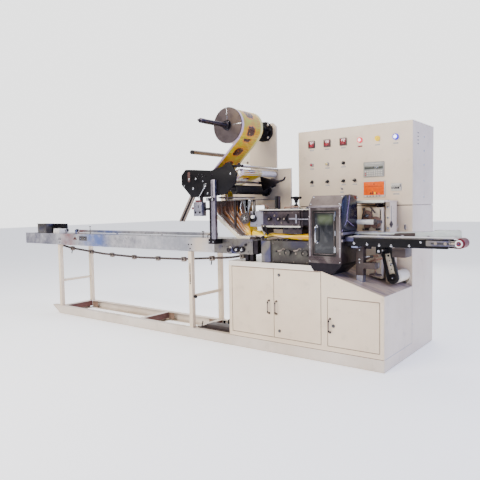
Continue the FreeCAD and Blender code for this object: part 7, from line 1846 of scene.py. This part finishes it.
def upper_unit():
    """Bolts, sealing rollers, arched bracket, levers and rods on the upper fin sealing unit."""
    face = 48
    shape = Shape()
    shape.prism(rounded([(-1170, 1018), (-1038, 1018), (-1038, 1144), (-1170, 1144)], 5), "y", face - 4, face, 1, 1)
    shape.prism(rounded([(-1038, 1026), (-690, 1026), (-690, 1138), (-1038, 1138)], 4), "y", face - 8, face, 1.2, 0)
    for x in (-976, -889, -833):
        shape.turned((x, face - 8, 1080), "y", [(0, 17), (-2, 18), (-8, 18), (-9, 15)], 30, 2)
        shape.turned((x, face - 16, 1080), "y", [(0, 9), (-3, 9), (-4, 6)], 6, 3)
    shape.turned((-925, face - 8, 1106), "y", [(0, 10), (-5, 9)], 20, 3)
    shape.turned((-860, face - 8, 1050), "y", [(0, 8), (-5, 7)], 20, 3)
    arch = []
    for k in range(13):
        angle = math.pi * (0.5 + k / 12)
        arch.append((-790 + 38 * math.cos(angle) * 0.7, 1084 + 38 * math.sin(angle)))
    inner = [( -790 + (x + 790) * 0.62, 1084 + (z - 1084) * 0.66) for x, z in reversed(arch)]
    shape.prism(arch + inner, "y", face - 14, face - 8, 0.8, 2)
    shape.box((-790, -716), (face - 13, face - 9), (1076, 1088), 1.5, 1)
    shape.prism(rounded([(-728, 1044), (-716, 1050), (-716, 1112), (-728, 1120)], 5), "y", face - 16, face - 8, 1, 1)
    shape.bar([(-716, face - 12, 1080), (-600, face - 12, 1078)], 4.5, 16, 1)
    for x in (-1104, -1052, -1020, -940, -760, -702):
        for z in (1034, 1130):
            shape.socket((x, face - (4 if x < -1040 else 8), z), "y", 4, -1, 3, 4)
    shape.box((-690, -600), (face + 2, 190), (1030, 1140), 2, 4)
    shape.box((-1040, -690), (face - 9, face + 4), (1014, 1026), 1, 5)
    for x in (-1010, -930, -850, -770, -715):
        shape.box((x, x + 36), (60, 180), (996, 1018), 2, 4)
    lever = rounded([(-1062, 1026), (-1044, 1030), (-1014, 960), (-1026, 952)], 6)
    shape.prism(lever, "y", 34, 44, 1, 3)
    shape.prism([(p[0] + 34, p[1] - 4) for p in lever], "y", 30, 40, 1, 4)
    shape.bar([(-1040, 36, 1020), (-1030, 30, 985), (-990, 30, 972)], 5, 12, 4, bend=12)
    shape.piece("upper_seal_fittings", ["dark_steel", "blue_steel", "black_steel", "satin", "black_steel", "bezel"])
    top = Shape()
    for x in (-1050, -980, -800, -690, -620):
        top.bolt((x, 60, 1156), "z", 5, 1, 1)
        top.bolt((x, 190, 1156), "z", 5, 1, 1)
    top.box((-1072, -595), (24, 28), (1150, 1158), 1, 2)
    top.bar([(-830, 40, 1158), (-830, 40, 1172), (-700, 40, 1176)], 5, 10, 3, bend=8)
    top.turned((-640, 60, 1158), "z", [(0, 14), (4, 14), (5, 9), (14, 8)], 20, 0)
    top.bar([(-1010, 60, 1158), (-990, 50, 1180), (-1040, 40, 1196)], 3.5, 10, 3, bend=8)
    top.turned((-926, 70, 1162), "z", [(0, 17), (6, 17), (7, 12), (98, 12), (100, 11)], 26, 4)
    top.box((-780, -700), (40, 100), (1155, 1166), 1.5, 0)
    top.piece("upper_seal_top_fittings", ["steel", "chrome", "bezel", "brass_dark", "black_rubber"])


def lower_unit():
    """Knobs, levers, rollers and stained plate on the lower fin sealing unit."""
    face = 22
    shape = Shape()
    shape.prism(rounded([(-950, 729), (-595, 729), (-595, 906), (-950, 906)], 3), "y", face - 2.4, face, 0.8, 5)
    for x in (-796, -642):
        shape.turned((x, face - 2, 818), "y", [(0, 10), (-3, 10), (-4, 19), (-6, 22), (-20, 22), (-23, 19), (-24, 9)], 48, 1,
                     squash=lambda angle, along: 1 - (0.05 if -20 < along < -5 and math.sin(18 * angle) > 0 else 0))
        shape.turned((x, face - 26, 818), "y", [(0, 7), (-1, 6)], 6, 2)
    for x, z in ((-867, 819), (-720, 825)):
        shape.prism(rounded([(x - 34, z - 2), (x + 24, z + 10), (x + 26, z + 22), (x - 30, z + 10)], 5), "y", face - 10,
                    face - 4, 1, 2)
        shape.turned((x - 26, face - 10, z + 4), "y", [(0, 8), (-5, 8), (-6, 6)], 18, 3)
        shape.bar([(x + 16, face - 12, z + 14), (x + 40, face - 18, z + 30), (x + 60, face - 18, z + 24)], 4, 10, 2, bend=10)
        shape.bolt((x, face - 3, z - 14), "y", 5, -1, 2)
    for x in (-930, -850, -740, -620):
        shape.socket((x, face - 2.4, 745), "y", 4.5, -1, 2, 1)
    for x in (-930, -612):
        shape.socket((x, face - 2.4, 888), "y", 4.5, -1, 2, 1)
    for x in (-900, -850, -810):
        shape.turned((x, 34, 912), "y", [(0, 9), (3, 14), (13, 14), (16, 9)], 26, 3)
        shape.bolt((x, 34, 912), "y", 4, -1, 2, False)
    shape.box((-935, -780), (24, 40), (894, 905), 1.5, 4)
    shape.box((-960, -595), (6, 24), (729, 738), 1.5, 1)
    shape.prism(rounded([(-1040, 735), (-950, 729), (-950, 906), (-1040, 906)], 3), "y", 11, 13.4, 0.6, 0)
    shape.bar([(-1036, 30, 912), (-1020, 28, 950), (-1010, 40, 980)], 5, 12, 2, bend=12)
    shape.turned((-1030, 16, 930), "y", [(0, 14), (12, 14)], 24, 3)
    shape.piece("lower_seal_fittings", ["machined", "black_rubber", "satin", "black_steel", "satin", "oiled_plate"])


def sheets_soft():
    """Small rounding on the edges of the large sheet and plate nodes."""
    for name in ("cabinet_top", "bed_strip", "control_cabinet", "tower", "left_door", "right_door", "small_door",
                 "cabinet_sides", "front_rails", "front_posts", "infeed_frame", "hood_front", "hood_cover",
                 "hood_base", "fin_seal_upper", "fin_seal_lower", "seal_gearbox", "rear_shelf", "side_channels",
                 "cross_channels", "left_leg_frame", "right_leg_frame", "end_bracket", "hood_walls"):
        soft = frame["nodes"][name].modifiers.new("soft", "BEVEL")
        soft.width = 1.4 * MM
        soft.segments = 2
        soft.limit_method = "ANGLE"
        soft.angle_limit = math.radians(40)
        soft.harden_normals = False


camera()
studio()
dress_nodes()
sheets_soft()
reel_and_film()
doors()
window_door()
hood()
panel_displays()
panel_buttons()
cabinet_fittings()
discharge()
belt_arm()
height_wheel()
pressure_wheel()
jaws()
gearbox()
rear_shelf()
infeed_fittings()
end_stops()
chain_links()
infeed_drive()
base_fittings()
former_fittings()
upper_unit()
lower_unit()
